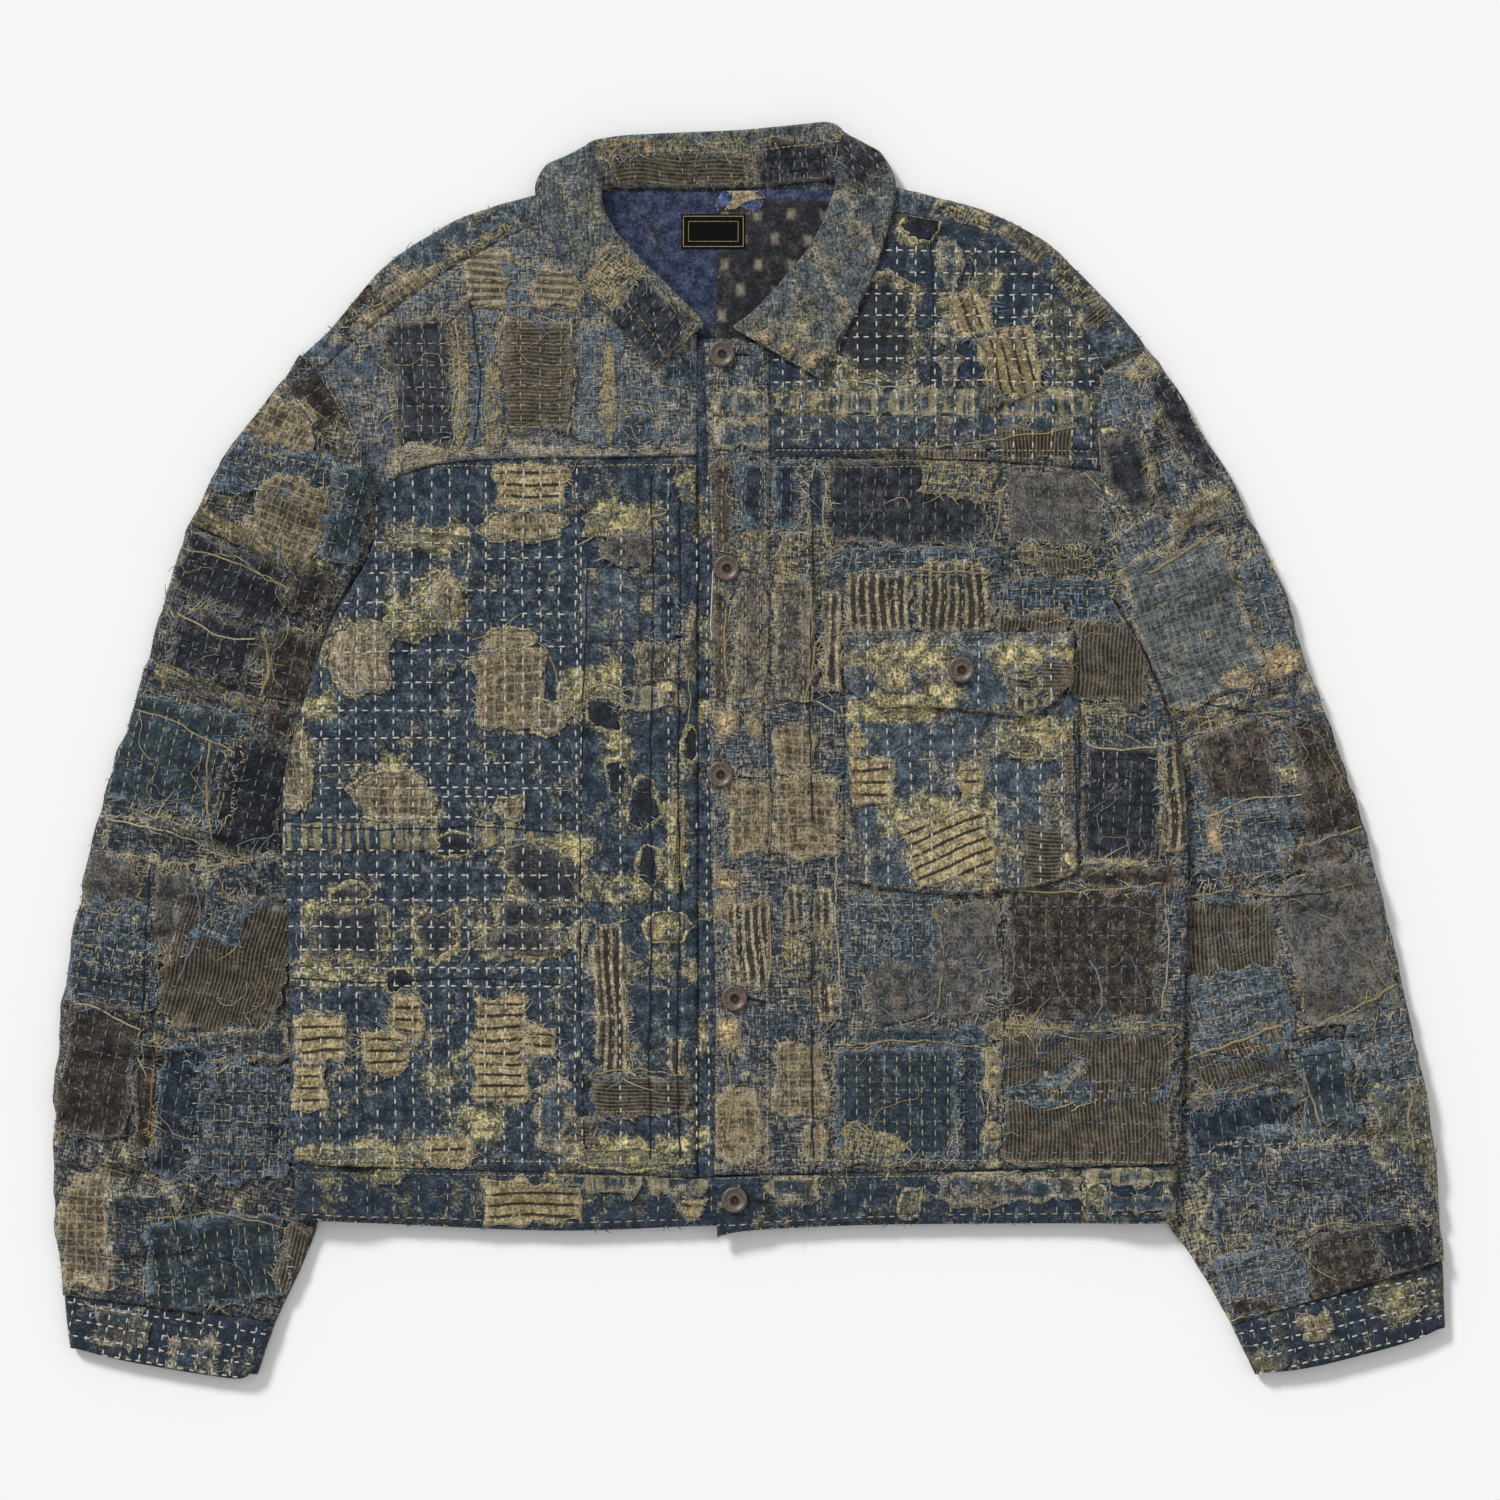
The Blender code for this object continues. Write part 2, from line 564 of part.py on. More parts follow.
def make_back_yoke():
    """The back yoke, which folds over both shoulders to the seams on the front."""
    neck_columns, rows, turn = 6, 5, 4
    shares = even(SHOULDER_COLUMNS)
    crest_right = at_shares(SHOULDER_TOP_RIGHT, shares)
    crest_left = at_shares(SHOULDER_TOP_LEFT[::-1], shares)
    neck = at_shares(BACK_NECKLINE, even(neck_columns))
    crest = crest_right + neck[1:-1] + crest_left
    seam_right = at_shares(SHOULDER_SEAM_RIGHT, shares)
    seam_left = at_shares(SHOULDER_SEAM_LEFT[::-1], shares)
    front_seam = seam_right + neck[1:-1] + seam_left
    left_edge = at_shares(ARMHOLE_RIGHT, back_armhole_shares(ARMHOLE_RIGHT)[0][::-1])
    right_edge = at_shares(ARMHOLE_LEFT, back_armhole_shares(ARMHOLE_LEFT)[0][::-1])
    count = len(crest)
    across = [(p[0] - crest[0][0]) / (crest[-1][0] - crest[0][0]) for p in crest]
    start, end = left_edge[0][0], right_edge[0][0]
    seam = [(start + (end - start) * u, BACK_YOKE_SEAM_Y) for u in across]

    turn_radius = (FRONT_Z - BACK_Z) / 2
    outer = turn_radius + CLOTH / 2
    crest_in = []
    for k in range(count):
        gap = math.dist(crest[k], front_seam[k])
        if gap < 1:
            crest_in.append(crest[k])
            continue
        pull = outer / gap
        crest_in.append(tuple(c + (f - c) * pull for c, f in zip(crest[k], front_seam[k])))
    left_edge[-1], right_edge[-1] = crest_in[0], crest_in[-1]
    under = inset(coons(seam, crest_in, left_edge, right_edge, across), SEAM_GAP / 2, "b")
    grid = [[(x, y, BACK_Z) for x, y in row] for row in under]
    for step in range(1, turn + 1):
        angle = math.pi * step / turn
        row = []
        for k in range(count):
            gap = math.dist(crest[k], front_seam[k])
            away = [(c - f) / gap if gap > 1 else 0.0 for c, f in zip(crest[k], front_seam[k])]
            out = turn_radius * math.sin(angle)
            z = BACK_Z + turn_radius * (1 - math.cos(angle))
            row.append((crest_in[k][0] + away[0] * out, crest_in[k][1] + away[1] * out, z))
        grid.append(row)
    for step in (0.45, 1.0):
        row = []
        for k in range(count):
            stop = 1 - (SEAM_GAP / 2 / max(math.dist(crest_in[k], front_seam[k]), 1))
            x, y = (c + (f - c) * step * stop for c, f in zip(crest_in[k], front_seam[k]))
            row.append((x, y, front_z(x, y)))
        grid.append(row)

    def skip(row, column):
        return row >= rows and SHOULDER_COLUMNS <= column < SHOULDER_COLUMNS + neck_columns

    grid = inset(grid, ARMHOLE_GAP, "lr")
    add_cloth("back_yoke", grid, CLOTH, "patched_cloth", skip=skip)


def front_stations(side, outer_x):
    """The x of a front's columns, from its outer edge to its placket or back."""
    fixed = RIGHT_FRONT_X if side == "right" else LEFT_FRONT_X
    near = fixed[0] if side == "right" else fixed[-1]
    spread = [outer_x + (near - outer_x) * s for s in FRONT_SPREAD]
    return spread + list(fixed) if side == "right" else list(fixed) + spread[::-1]


def yoke_seam_points(side, outer_x):
    """The points that a front and its yoke share along their seam."""
    seam = YOKE_SEAM_RIGHT if side == "right" else YOKE_SEAM_LEFT
    return [(x, y_at(seam, x)) for x in front_stations(side, outer_x)]


def make_front(side):
    """One front, from the waist seam to the yoke seam, with its pleats."""
    if side == "right":
        edge, armhole, seam = SIDE_RIGHT, ARMHOLE_RIGHT, YOKE_SEAM_RIGHT
        shares = armhole_shares(armhole, SHOULDER_SEAM_RIGHT, seam[0])[2]
        slot = "indigo_cloth"
    else:
        edge, armhole, seam = SIDE_LEFT, ARMHOLE_LEFT, YOKE_SEAM_LEFT
        shares = armhole_shares(armhole, SHOULDER_SEAM_LEFT, seam[-1])[2]
        slot = "patched_cloth"
    outer = side_edge(edge, armhole, shares, FRONT_ROWS)
    meeting = seam[0] if side == "right" else seam[-1]
    bottom = [(x, y_at(WAIST_SEAM_FRONT, x)) for x in front_stations(side, outer[0][0])]
    top = yoke_seam_points(side, meeting[0])
    inner = [(bottom[-1] if side == "right" else bottom[0]),
             (top[-1] if side == "right" else top[0])]
    rows = len(outer) - 1
    inner_edge = [tuple(a + (b - a) * j / rows for a, b in zip(*inner)) for j in range(rows + 1)]
    span = bottom[-1][0] - bottom[0][0]
    across = [(p[0] - bottom[0][0]) / span for p in bottom]
    edges = (outer, inner_edge) if side == "right" else (inner_edge, outer)
    grid = inset(coons(bottom, top, *edges, across), SEAM_GAP / 2)
    grid = inset(grid, ARMHOLE_GAP, "l" if side == "right" else "r")
    add_cloth(f"front_{side}", with_z(grid, front_z), CLOTH, slot)


def make_front_yoke(side):
    """One front yoke, between the yoke seam, the armhole, the shoulder seam and the neck."""
    if side == "right":
        armhole, shoulder, seam = ARMHOLE_RIGHT, SHOULDER_SEAM_RIGHT, YOKE_SEAM_RIGHT
        neckline, inner_x, meeting = NECKLINE_RIGHT, UNDER_PLACKET_LEFT_X, seam[0]
        slot = "patched_cloth"
    else:
        armhole, shoulder, seam = ARMHOLE_LEFT, SHOULDER_SEAM_LEFT, YOKE_SEAM_LEFT
        neckline, inner_x, meeting = NECKLINE_LEFT, OVERLAP_DOWN_X, seam[-1]
        slot = "indigo_cloth"
    shares = armhole_shares(armhole, shoulder, meeting)[1]
    outer = at_shares(armhole, shares[::-1])
    rows = len(outer) - 1
    bottom = yoke_seam_points(side, meeting[0])
    foot = bottom[-1] if side == "right" else bottom[0]
    head = (inner_x, y_at(neckline, inner_x))
    inner = [tuple(a + (b - a) * j / rows for a, b in zip(foot, head)) for j in range(rows + 1)]
    neck_columns = len(bottom) - 1 - SHOULDER_COLUMNS
    shoulder_edge = at_shares(shoulder, even(SHOULDER_COLUMNS))
    kept = share_near(neckline, head)
    neck_edge = at_shares(neckline[::-1], [(1 - kept) * s for s in even(neck_columns)])
    top = shoulder_edge + neck_edge[1:-1] + [head]
    if side == "right":
        grid = coons(bottom, top, outer, inner)
    else:
        grid = coons(bottom, top[::-1], inner, outer)
    grid = inset(inset(grid, SEAM_GAP / 2, "lrb"), SHOULDER_GAP, "t")
    add_cloth(f"front_yoke_{side}", with_z(grid, front_z), CLOTH, slot)


def make_under_placket():
    """The wearer's right placket, which carries the buttons and lies under the left one."""
    rows = 18
    grid = []
    for j in range(rows + 1):
        row = []
        for x in UNDER_PLACKET_X:
            bottom_y = y_at(WAIST_SEAM_FRONT, x)
            row.append((x, bottom_y + (PLACKET_RIGHT_TOP_Y - bottom_y) * j / rows, FRONT_Z))
        grid.append(row)
    grid = inset(grid, SEAM_GAP, "lbt")
    add_cloth("placket_right", grid, CLOTH, "indigo_cloth")


def make_over_placket():
    """The wearer's left placket, sewn to its front and lying over the right one."""
    rows = 24
    free = [(x, y) for y, x, _ in PLACKET_EDGES]
    sewn = [(x, y) for y, _, x in PLACKET_EDGES]
    top_y, bottom_y = PLACKET_EDGES[0][0], y_at(WAIST_SEAM_FRONT, OVERLAP_DOWN_X)
    grid = []
    for j in range(rows + 1):
        y = bottom_y + (top_y - bottom_y) * j / rows
        left, right = x_at(free, y), x_at(sewn, y)
        row = [left + (right - left) * s for s in OVER_PLACKET_SPREAD]
        grid.append([(x, y, overlap_z(x, y)) for x in row])
    grid = inset(grid, SEAM_GAP, "rb")
    add_cloth("placket_left", grid, CLOTH, "patched_cloth")


def make_waistband():
    """One strip from the right front's end, round the sides and the back, to the left's."""
    rows = [0, 0.5, 1]

    def station(x, lower, z):
        top_y = y_at(WAIST_SEAM_FRONT, x) - WAIST_GAP
        return [(x, lower + (top_y - lower) * s, z(x, lower + (top_y - lower) * s)) for s in rows]

    def round_side(side):
        """The fold at a side, half a turn between the front's cloth and the back's."""
        x, turns = WAISTBAND_SIDE_X[side], 4
        out = -1 if side == "right" else 1
        lower = WAISTBAND_BOTTOM_BACK_Y
        made = []
        for k in range(turns + 1):
            angle = math.pi * k / turns
            column = []
            for s in rows:
                y = lower + (y_at(WAIST_SEAM_FRONT, x) - WAIST_GAP - lower) * s
                inner_x = x - out * WAISTBAND_FOLD_INSET
                high, low = front_z(inner_x, y, creased=False), back_z(inner_x, y)
                radius = (high - low) / 2
                column.append((inner_x + out * radius * math.sin(angle), y,
                               (high + low) / 2 + radius * math.cos(angle)))
            made.append(column)
        return made if side == "right" else made[::-1]

    stations = [station(x, y_at(WAISTBAND_BOTTOM_FRONT, x), front_z) for x in WAISTBAND_UNDER_X]
    stations += round_side("right")
    stations += [station(x, WAISTBAND_BOTTOM_BACK_Y, back_z) for x in WAISTBAND_BACK_X]
    stations += round_side("left")
    stations += [station(x, y_at(WAISTBAND_BOTTOM_OVER, x),
                         front_z if x > OVERLAP_DOWN_X else overlap_z) for x in WAISTBAND_OVER_X]
    grid = [[column[j] for column in stations] for j in range(len(rows))]
    add_cloth("waistband", grid, CLOTH, "indigo_cloth")


def bows(curve, shares, end_insets):
    """How far a curve's points stand off its chord, with the end points moved in."""
    length = math.dist(curve[0], curve[-1])
    kept = list(shares)
    kept[0], kept[-1] = end_insets[0] / length, 1 - end_insets[1] / length
    return [tuple(p - (a + (b - a) * s) for p, a, b in zip(q, curve[0], curve[-1]))
            for s, q in zip(kept, at_shares(curve, kept))]


def sleeve_ring(a, b, fade, top, bottom, pressed=True):
    """One ring round a flattened sleeve, between its outer edge a and its inner edge b.

    top and bottom are pairs of lists: shares of the way from a to b, and bows.
    pressed flattens the inner side, which lies under the body.
    """
    width = math.dist(a, b)
    outer_radius = (SLEEVE_TOP_Z - BACK_Z) / 2
    inner_top = SLEEVE_EDGE_TOP_Z if pressed else SLEEVE_TOP_Z
    inner_radius = (inner_top - BACK_Z) / 2

    def place(share, bow):
        return tuple(p + (q - p) * share + c * fade for p, q, c in zip(a, b, bow))

    def laid(shares, found):
        kept = list(shares)
        kept[0] = (outer_radius + CLOTH / 2) / width
        kept[-1] = 1 - (inner_radius + CLOTH / 2) / width
        return [(share, *place(share, bow)) for share, bow in zip(kept, found)]

    def turned(centre, edge, radius, start):
        """Half a turn out from the centre towards the edge, from the start angle."""
        reach = math.dist(centre, edge)
        points = []
        for k in range(1, SLEEVE_TURN):
            angle = start + math.pi * k / SLEEVE_TURN
            out = radius * abs(math.sin(angle)) / reach
            x, y = (c + (e - c) * out for c, e in zip(centre, edge))
            points.append((x, y, BACK_Z + radius * (1 + math.cos(angle))))
        return points

    upper = laid(*top)
    ring = []
    for k, (share, x, y) in enumerate(upper):
        from_inner = (1 - share) * width
        swell = smoothstep((from_inner - SLEEVE_PRESSED) / SLEEVE_SWELL) if pressed else 1.0
        ends = min(k, len(upper) - 1 - k) / 2
        z = inner_top + (SLEEVE_TOP_Z - inner_top) * swell
        ring.append((x, y, z + folds_at(x, y) * swell * smoothstep(ends)))
    ring += turned(upper[-1][1:], b, inner_radius, 0)
    lower = laid(*bottom)
    ring += [(x, y, BACK_Z) for _, x, y in reversed(lower)]
    ring += turned(lower[0][1:], a, outer_radius, math.pi)
    return ring


def make_sleeve(side):
    if side == "right":
        outer, inner, armhole = SLEEVE_OUTER_RIGHT, SLEEVE_INNER_RIGHT, ARMHOLE_RIGHT
        shoulder, meeting = SHOULDER_SEAM_RIGHT, YOKE_SEAM_RIGHT[0]
    else:
        outer, inner, armhole = SLEEVE_OUTER_LEFT, SLEEVE_INNER_LEFT, ARMHOLE_LEFT
        shoulder, meeting = SHOULDER_SEAM_LEFT, YOKE_SEAM_LEFT[-1]
    strip, yoke, front = armhole_shares(armhole, shoulder, meeting)
    upper, lower = back_armhole_shares(armhole)
    ends = ((SLEEVE_TOP_Z - BACK_Z) / 2 + CLOTH / 2, (SLEEVE_EDGE_TOP_Z - BACK_Z) / 2 + CLOTH / 2)
    top_shares = strip + yoke[1:] + front[1:]
    bottom_shares = upper + lower[1:]
    top = (top_shares, bows(armhole, top_shares, ends))
    bottom = (bottom_shares, bows(armhole, bottom_shares, ends))
    outer_line = at_shares(outer, even(SLEEVE_SECTIONS))
    inner_line = at_shares(inner, even(SLEEVE_SECTIONS))
    rings = []
    for j, (a, b) in enumerate(zip(outer_line, inner_line)):
        fade = 1 - smoothstep(j / (SLEEVE_SECTIONS * 0.4))
        rings.append(sleeve_ring(a, b, fade, top, bottom))
    first, second = rings[0], rings[1]
    for k, (p, q) in enumerate(zip(first, second)):
        shift = ARMHOLE_GAP / math.dist(p[:2], q[:2])
        first[k] = (p[0] + (q[0] - p[0]) * shift, p[1] + (q[1] - p[1]) * shift, p[2])
    if side == "left":
        rings = [ring[::-1] for ring in rings]
    add_cloth(f"sleeve_{side}", rings, CLOTH, "patched_cloth", closed=True)


def make_cuff(side):
    """A cuff, a flat band that goes on from the sleeve's end."""
    if side == "right":
        seam = (SLEEVE_OUTER_RIGHT[-1], SLEEVE_INNER_RIGHT[-1])
        end = CUFF_END_RIGHT
    else:
        seam = (SLEEVE_OUTER_LEFT[-1], SLEEVE_INNER_LEFT[-1])
        end = CUFF_END_LEFT
    shares = CUFF_SHARES
    ends = ((SLEEVE_TOP_Z - BACK_Z) / 2 + CLOTH / 2,) * 2
    band = (shares, bows(end, shares, ends))
    rings = []
    for step in (0, 0.35, 0.7, 1):
        a = tuple(p + (q - p) * step for p, q in zip(seam[0], end[0]))
        b = tuple(p + (q - p) * step for p, q in zip(seam[1], end[-1]))
        rings.append(sleeve_ring(a, b, step, band, band, pressed=False))
    rings[0] = [(x, y - CUFF_GAP, z) for x, y, z in rings[0]]
    if side == "left":
        rings = [ring[::-1] for ring in rings]
    add_cloth(f"cuff_{side}", rings, CLOTH, "indigo_cloth", closed=True)


def make_collar():
    """The collar: its sewn edge, up to the roll, and over to the free edge."""
    columns = [collar_section(row[0:3], row[3:6], row[6:9], row[9]) for row in COLLAR_STATIONS]
    grid = [[column[k] for column in columns] for k in range(len(columns[0]))]
    add_cloth("collar", grid, COLLAR_CLOTH, "collar_cloth")


def collar_section(seam, roll, edge, tilt):
    """Points across the collar: the stand, half a turn at the roll, and the fall."""
    reach = math.dist(seam[:2], NECK_CENTRE)
    inward = [(c - s) / reach for c, s in zip(NECK_CENTRE, seam[:2])]
    angle = math.radians(tilt)
    crest = (inward[0] * math.cos(angle), inward[1] * math.cos(angle), math.sin(angle))
    normal = (-inward[0] * math.sin(angle), -inward[1] * math.sin(angle), math.cos(angle))
    centre = [r - c * COLLAR_TURN for r, c in zip(roll, crest)]
    stand_end = [c - n * COLLAR_TURN for c, n in zip(centre, normal)]
    fall_start = [c + n * COLLAR_TURN for c, n in zip(centre, normal)]
    section = [tuple(a + (b - a) * s for a, b in zip(seam, stand_end)) for s in (0, 0.5)]
    for k in range(4):
        turn = math.pi * k / 3
        section.append(tuple(
            c - n * COLLAR_TURN * math.cos(turn) + q * COLLAR_TURN * math.sin(turn)
            for c, n, q in zip(centre, normal, crest)
        ))
    straight = smoothstep(tilt / 90)
    for s in COLLAR_FALL_SHARES:
        drop = s * straight + smoothstep((s - 0.25) / 0.5) * (1 - straight)
        section.append((
            fall_start[0] + (edge[0] - fall_start[0]) * s,
            fall_start[1] + (edge[1] - fall_start[1]) * s,
            fall_start[2] + (edge[2] - fall_start[2]) * drop,
        ))
    return section


def make_pocket():
    columns, rows = 10, 8
    bottom = [(x, y_at(POCKET_BOTTOM, x))
              for x in [POCKET_LEFT_X + (POCKET_RIGHT_X - POCKET_LEFT_X) * s for s in even(columns)]]
    top = [(x, POCKET_TOP_Y) for x, _ in bottom]
    left = [(POCKET_LEFT_X, bottom[0][1] + (POCKET_TOP_Y - bottom[0][1]) * s) for s in even(rows)]
    right = [(POCKET_RIGHT_X, bottom[-1][1] + (POCKET_TOP_Y - bottom[-1][1]) * s) for s in even(rows)]
    grid = coons(bottom, top, left, right)
    add_cloth("pocket", with_z(grid, pocket_z), POCKET_CLOTH, "indigo_cloth")


def make_flap():
    columns, rows = 14, 9
    width = FLAP_BOTTOM[-1][0] - FLAP_BOTTOM[0][0]
    xs = [FLAP_BOTTOM[0][0] + width * s for s in even(columns)]
    grid = []
    for j in range(rows + 1):
        row = []
        for x in xs:
            low = y_at(FLAP_BOTTOM, x)
            y = low + (FLAP_TOP_Y - low) * j / rows
            row.append((x, y, flap_z(x, y)))
        grid.append(row)
    add_cloth("pocket_flap", grid, POCKET_CLOTH, "indigo_cloth")


def make_button(name, x, y, seat_z):
    """A turned tack button: a rounded rim round a dish with a small hole in its middle."""
    hole, rim, height = BUTTON_HOLE_RADIUS, BUTTON_RIM, BUTTON_HEIGHT
    dish_z = height - rim * 0.9
    profile = [(BUTTON_RADIUS - rim - 1.0, 0.0), (BUTTON_RADIUS - 0.5, 0.5)]
    for k in range(4):
        angle = math.radians(-10 + 50 * k)
        profile.append((BUTTON_RADIUS - rim + rim * math.cos(angle),
                        height - rim + rim * math.sin(angle)))
    profile += [(hole, dish_z), (hole - 0.8, dish_z - 1.2)]
    points = [(0.0, dish_z - 1.2)] + profile[::-1] + [(0.0, 0.0)]
    edges = [(k, k + 1) for k in range(len(points) - 1)]
    mesh = bpy.data.meshes.new(name)
    mesh.from_pydata([to_metres((r, 0, z)) for r, z in points], edges, [])
    mesh.materials.append(material("button_metal"))
    made = bpy.data.objects.new(name, mesh)
    bpy.data.collections["patched_jacket"].objects.link(made)
    made.location = to_metres((x, y, seat_z + SEAM_GAP))
    turn = made.modifiers.new("turned", "SCREW")
    turn.axis = "Z"
    turn.steps = turn.render_steps = BUTTON_STEPS
    turn.use_merge_vertices = True
    turn.merge_threshold = 0.00002
    turn.use_smooth_shade = True
    return made


def make_buttons():
    for number, (x, y) in enumerate(PLACKET_BUTTONS, start=1):
        make_button(f"button_{number}", x, y, OVERLAP_Z + CLOTH / 2)
    make_button("button_pocket", *FLAP_BUTTON, flap_z(*FLAP_BUTTON) + POCKET_CLOTH / 2)


def make_lining():
    """The lining that shows in the neck, flat on the back yoke, and the label on it."""
    right_foot, left_foot, left_head, right_head = LINING_OUTLINE
    columns, rows = 10, 6
    bottom = [tuple(a + (b - a) * s for a, b in zip(right_foot, left_foot)) for s in even(columns)]
    top = [tuple(a + (b - a) * s for a, b in zip(right_head, left_head)) for s in even(columns)]
    edge_right = [tuple(a + (b - a) * s for a, b in zip(right_foot, right_head)) for s in even(rows)]
    edge_left = [tuple(a + (b - a) * s for a, b in zip(left_foot, left_head)) for s in even(rows)]
    lining_z = BACK_Z + CLOTH / 2 + SEAM_GAP + LINING_CLOTH / 2
    grid = coons(bottom, top, edge_right, edge_left)
    add_cloth("neck_lining", with_z(grid, lambda x, y: lining_z), LINING_CLOTH, "lining_cloth")

    width, height = LABEL_SIZE
    label_z = lining_z + LINING_CLOTH / 2 + SEAM_GAP + LABEL_CLOTH / 2
    bpy.ops.mesh.primitive_cube_add(size=1, location=to_metres((*LABEL_CENTRE, label_z)))
    label = bpy.context.object
    label.name = label.data.name = "neck_label"
    label.scale = to_metres((width, height, LABEL_CLOTH))
    label.data.materials.append(material("label_cloth"))
    for old in list(label.users_collection):
        old.objects.unlink(label)
    bpy.data.collections["patched_jacket"].objects.link(label)


def main():
    for old in list(bpy.data.objects):
        bpy.data.objects.remove(old)
    jacket = bpy.data.collections.new("patched_jacket")
    bpy.context.scene.collection.children.link(jacket)
    make_back()
    make_back_yoke()
    for side in ("right", "left"):
        make_front(side)
        make_front_yoke(side)
        make_sleeve(side)
        make_cuff(side)
    make_under_placket()
    make_over_placket()
    make_waistband()
    make_pocket()
    make_flap()
    make_collar()
    make_lining()
    make_buttons()


main()
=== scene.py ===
"""How the patched boro jacket looks, laid flat on its back and seen straight down.

Every length is in millimetres, and to_metres() turns it into Blender's metres. The
jacket's frame is the CAD model's: +X to the wearer's left, +Y to the collar, +Z up.
Places on the cloth are given on the photograph's grid, 1500 by 1500 units of 0.64 mm,
x to the right and y down, and spot() turns them into the jacket's x and y.

Each garment piece is a thin shell on its solid's form. Patches are draped on the
shells, and running stitches, frayed threads and loose yarns lie on the patches. Dark
cords down in the folds are painted shadow.
"""

import math

import bpy
import numpy as np
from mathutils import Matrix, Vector
from mathutils.bvhtree import BVHTree


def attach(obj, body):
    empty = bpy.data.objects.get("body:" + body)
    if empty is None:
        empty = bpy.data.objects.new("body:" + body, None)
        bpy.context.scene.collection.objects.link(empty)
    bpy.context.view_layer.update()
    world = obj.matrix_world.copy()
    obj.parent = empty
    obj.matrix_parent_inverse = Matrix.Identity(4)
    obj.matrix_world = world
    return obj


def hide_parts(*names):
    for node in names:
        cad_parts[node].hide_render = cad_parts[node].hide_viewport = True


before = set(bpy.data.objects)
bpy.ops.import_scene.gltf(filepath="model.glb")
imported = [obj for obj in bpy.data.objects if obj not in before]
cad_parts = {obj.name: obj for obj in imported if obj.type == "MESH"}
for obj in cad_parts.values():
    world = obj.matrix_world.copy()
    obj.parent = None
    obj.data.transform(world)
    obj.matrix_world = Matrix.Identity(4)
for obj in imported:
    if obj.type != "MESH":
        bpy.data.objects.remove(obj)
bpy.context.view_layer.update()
rng = np.random.default_rng(20)

MILLIMETRE = 0.001
GRID_MM = 0.64
GRID_CENTRE = (750, 754)

# Thicknesses of the cloths
CLOTH = 2.4
COLLAR_CLOTH = 2.2
POCKET_CLOTH = 2.0
LINING_CLOTH = 0.8

# Gaps between pieces, and heights of the middle of their cloth
SEAM_GAP = 0.3
WAIST_GAP = 0.4
INSIDE_GAP = 3.4  # from the back to the front
SIDE_INSIDE_GAP = 1.2  # the same, at the side edges
POCKET_GAP = 0.7
BACK_Z = CLOTH / 2
FRONT_Z = BACK_Z + CLOTH + INSIDE_GAP
LINING_Z = 3.1
UNDERSIDE_Z = 0.32  # lowest point of a shell, so that the hidden side's patches fit below it
LOWEST_Z = 0.02  # lowest point of a patch or thread

# How the body rises where its sides lie on the sleeves
SIDE_LIFT = 6.4
LIFT_FLAT = 25  # how far in from the side edge it is raised to the full
LIFT_RAMP = 38  # and how far it then slopes down
LIFT_START = 3  # below the armpit, where the rise begins
LIFT_FULL = 30  # below the armpit, where it is full

# Sleeves, pressed flat
SLEEVE_TOP_Z = 7.4  # middle of the upper cloth
SLEEVE_EDGE_TOP_Z = 4.4  # the same, along the inner edge that lies under the body
SLEEVE_PRESSED = 24  # width of the strip at that lower height
SLEEVE_SWELL = 30  # width of the slope beside it
SLEEVE_CREST = 4.8  # no crease of a sleeve stands higher
SLEEVE_LEAN = 0.25  # slope of a sleeve's creases
SLEEVE_GRAIN = 15  # turn of a sleeve's cloth, in degrees
ARMHOLE_GAP = -0.7  # below zero, so a sleeve's end tucks into the armhole

# Fronts, plackets, yoke and waist
FRONT_EDGE_RIGHT_X = -34
FRONT_EDGE_LEFT_X = 13
PLACKET_TOP_Y = 266
PLACKET_UNDER_X = 1  # how far the right placket reaches below the left one
OVERLAP_GAP = 0.4
OVERLAP_Z = FRONT_Z + CLOTH + OVERLAP_GAP
OVERLAP_END_X = 3
OVERLAP_DOWN_X = 13
BACK_YOKE_SEAM_Y = 206
WAISTBAND_BOTTOM_BACK_Y = -299
PLEAT_STEP = 1.6
PLEAT_WIDTH = 15
PLEAT_TOP_Y = 188
PLEAT_FADE = 14
COLLAR_TURN = 1.55
NECK_CENTRE = (-22, 322)

# Cut edges of the pieces, as points (x, y) that a smooth curve passes through.
SIDE_RIGHT = (
    (-292, -262), (-294, -221), (-294, -163), (-296, -102), (-299, -61),
    (-298, -17), (-291, 16), (-281, 45), (-270, 78), (-259, 99), (-244, 126),
)
SIDE_LEFT = (
    (274, -262), (276, -221), (278, -157), (280, -74), (278, -17),
    (270, 15), (259, 47), (250, 68), (232, 99),
)
ARMPIT_RIGHT_Y, ARMPIT_LEFT_Y = SIDE_RIGHT[-1][1], SIDE_LEFT[-1][1]
ARMHOLE_RIGHT = (
    (-287, 255), (-276, 244), (-259, 217), (-252, 201), (-246, 182),
    (-240, 166), (-240, 143), (-244, 126),
)
ARMHOLE_LEFT = (
    (253, 261), (240, 254), (228, 247), (224, 234), (223, 213),
    (225, 181), (228, 145), (232, 99),
)
SHOULDER_TOP_RIGHT = (
    (-287, 255), (-270, 271), (-253, 291), (-236, 310), (-211, 329), (-172, 348), (-112, 364),
)
SHOULDER_TOP_LEFT = (
    (253, 261), (246, 271), (228, 291), (209, 310), (187, 329), (149, 348), (72, 368),
)
SHOULDER_SEAM_RIGHT = (
    (-276, 244), (-256, 262), (-227, 285), (-197, 307), (-166, 325), (-134, 340), (-106, 346),
)
SHOULDER_SEAM_LEFT = (
    (228, 247), (214, 271), (198, 296), (179, 315), (150, 335), (96, 346), (62, 352),
)
YOKE_SEAM_RIGHT = ((-240, 166), (-224, 178), (-198, 186), (-160, 189), (-96, 190), (-34, 191))
YOKE_SEAM_LEFT = ((13, 189), (96, 189), (160, 187), (198, 184), (225, 181))
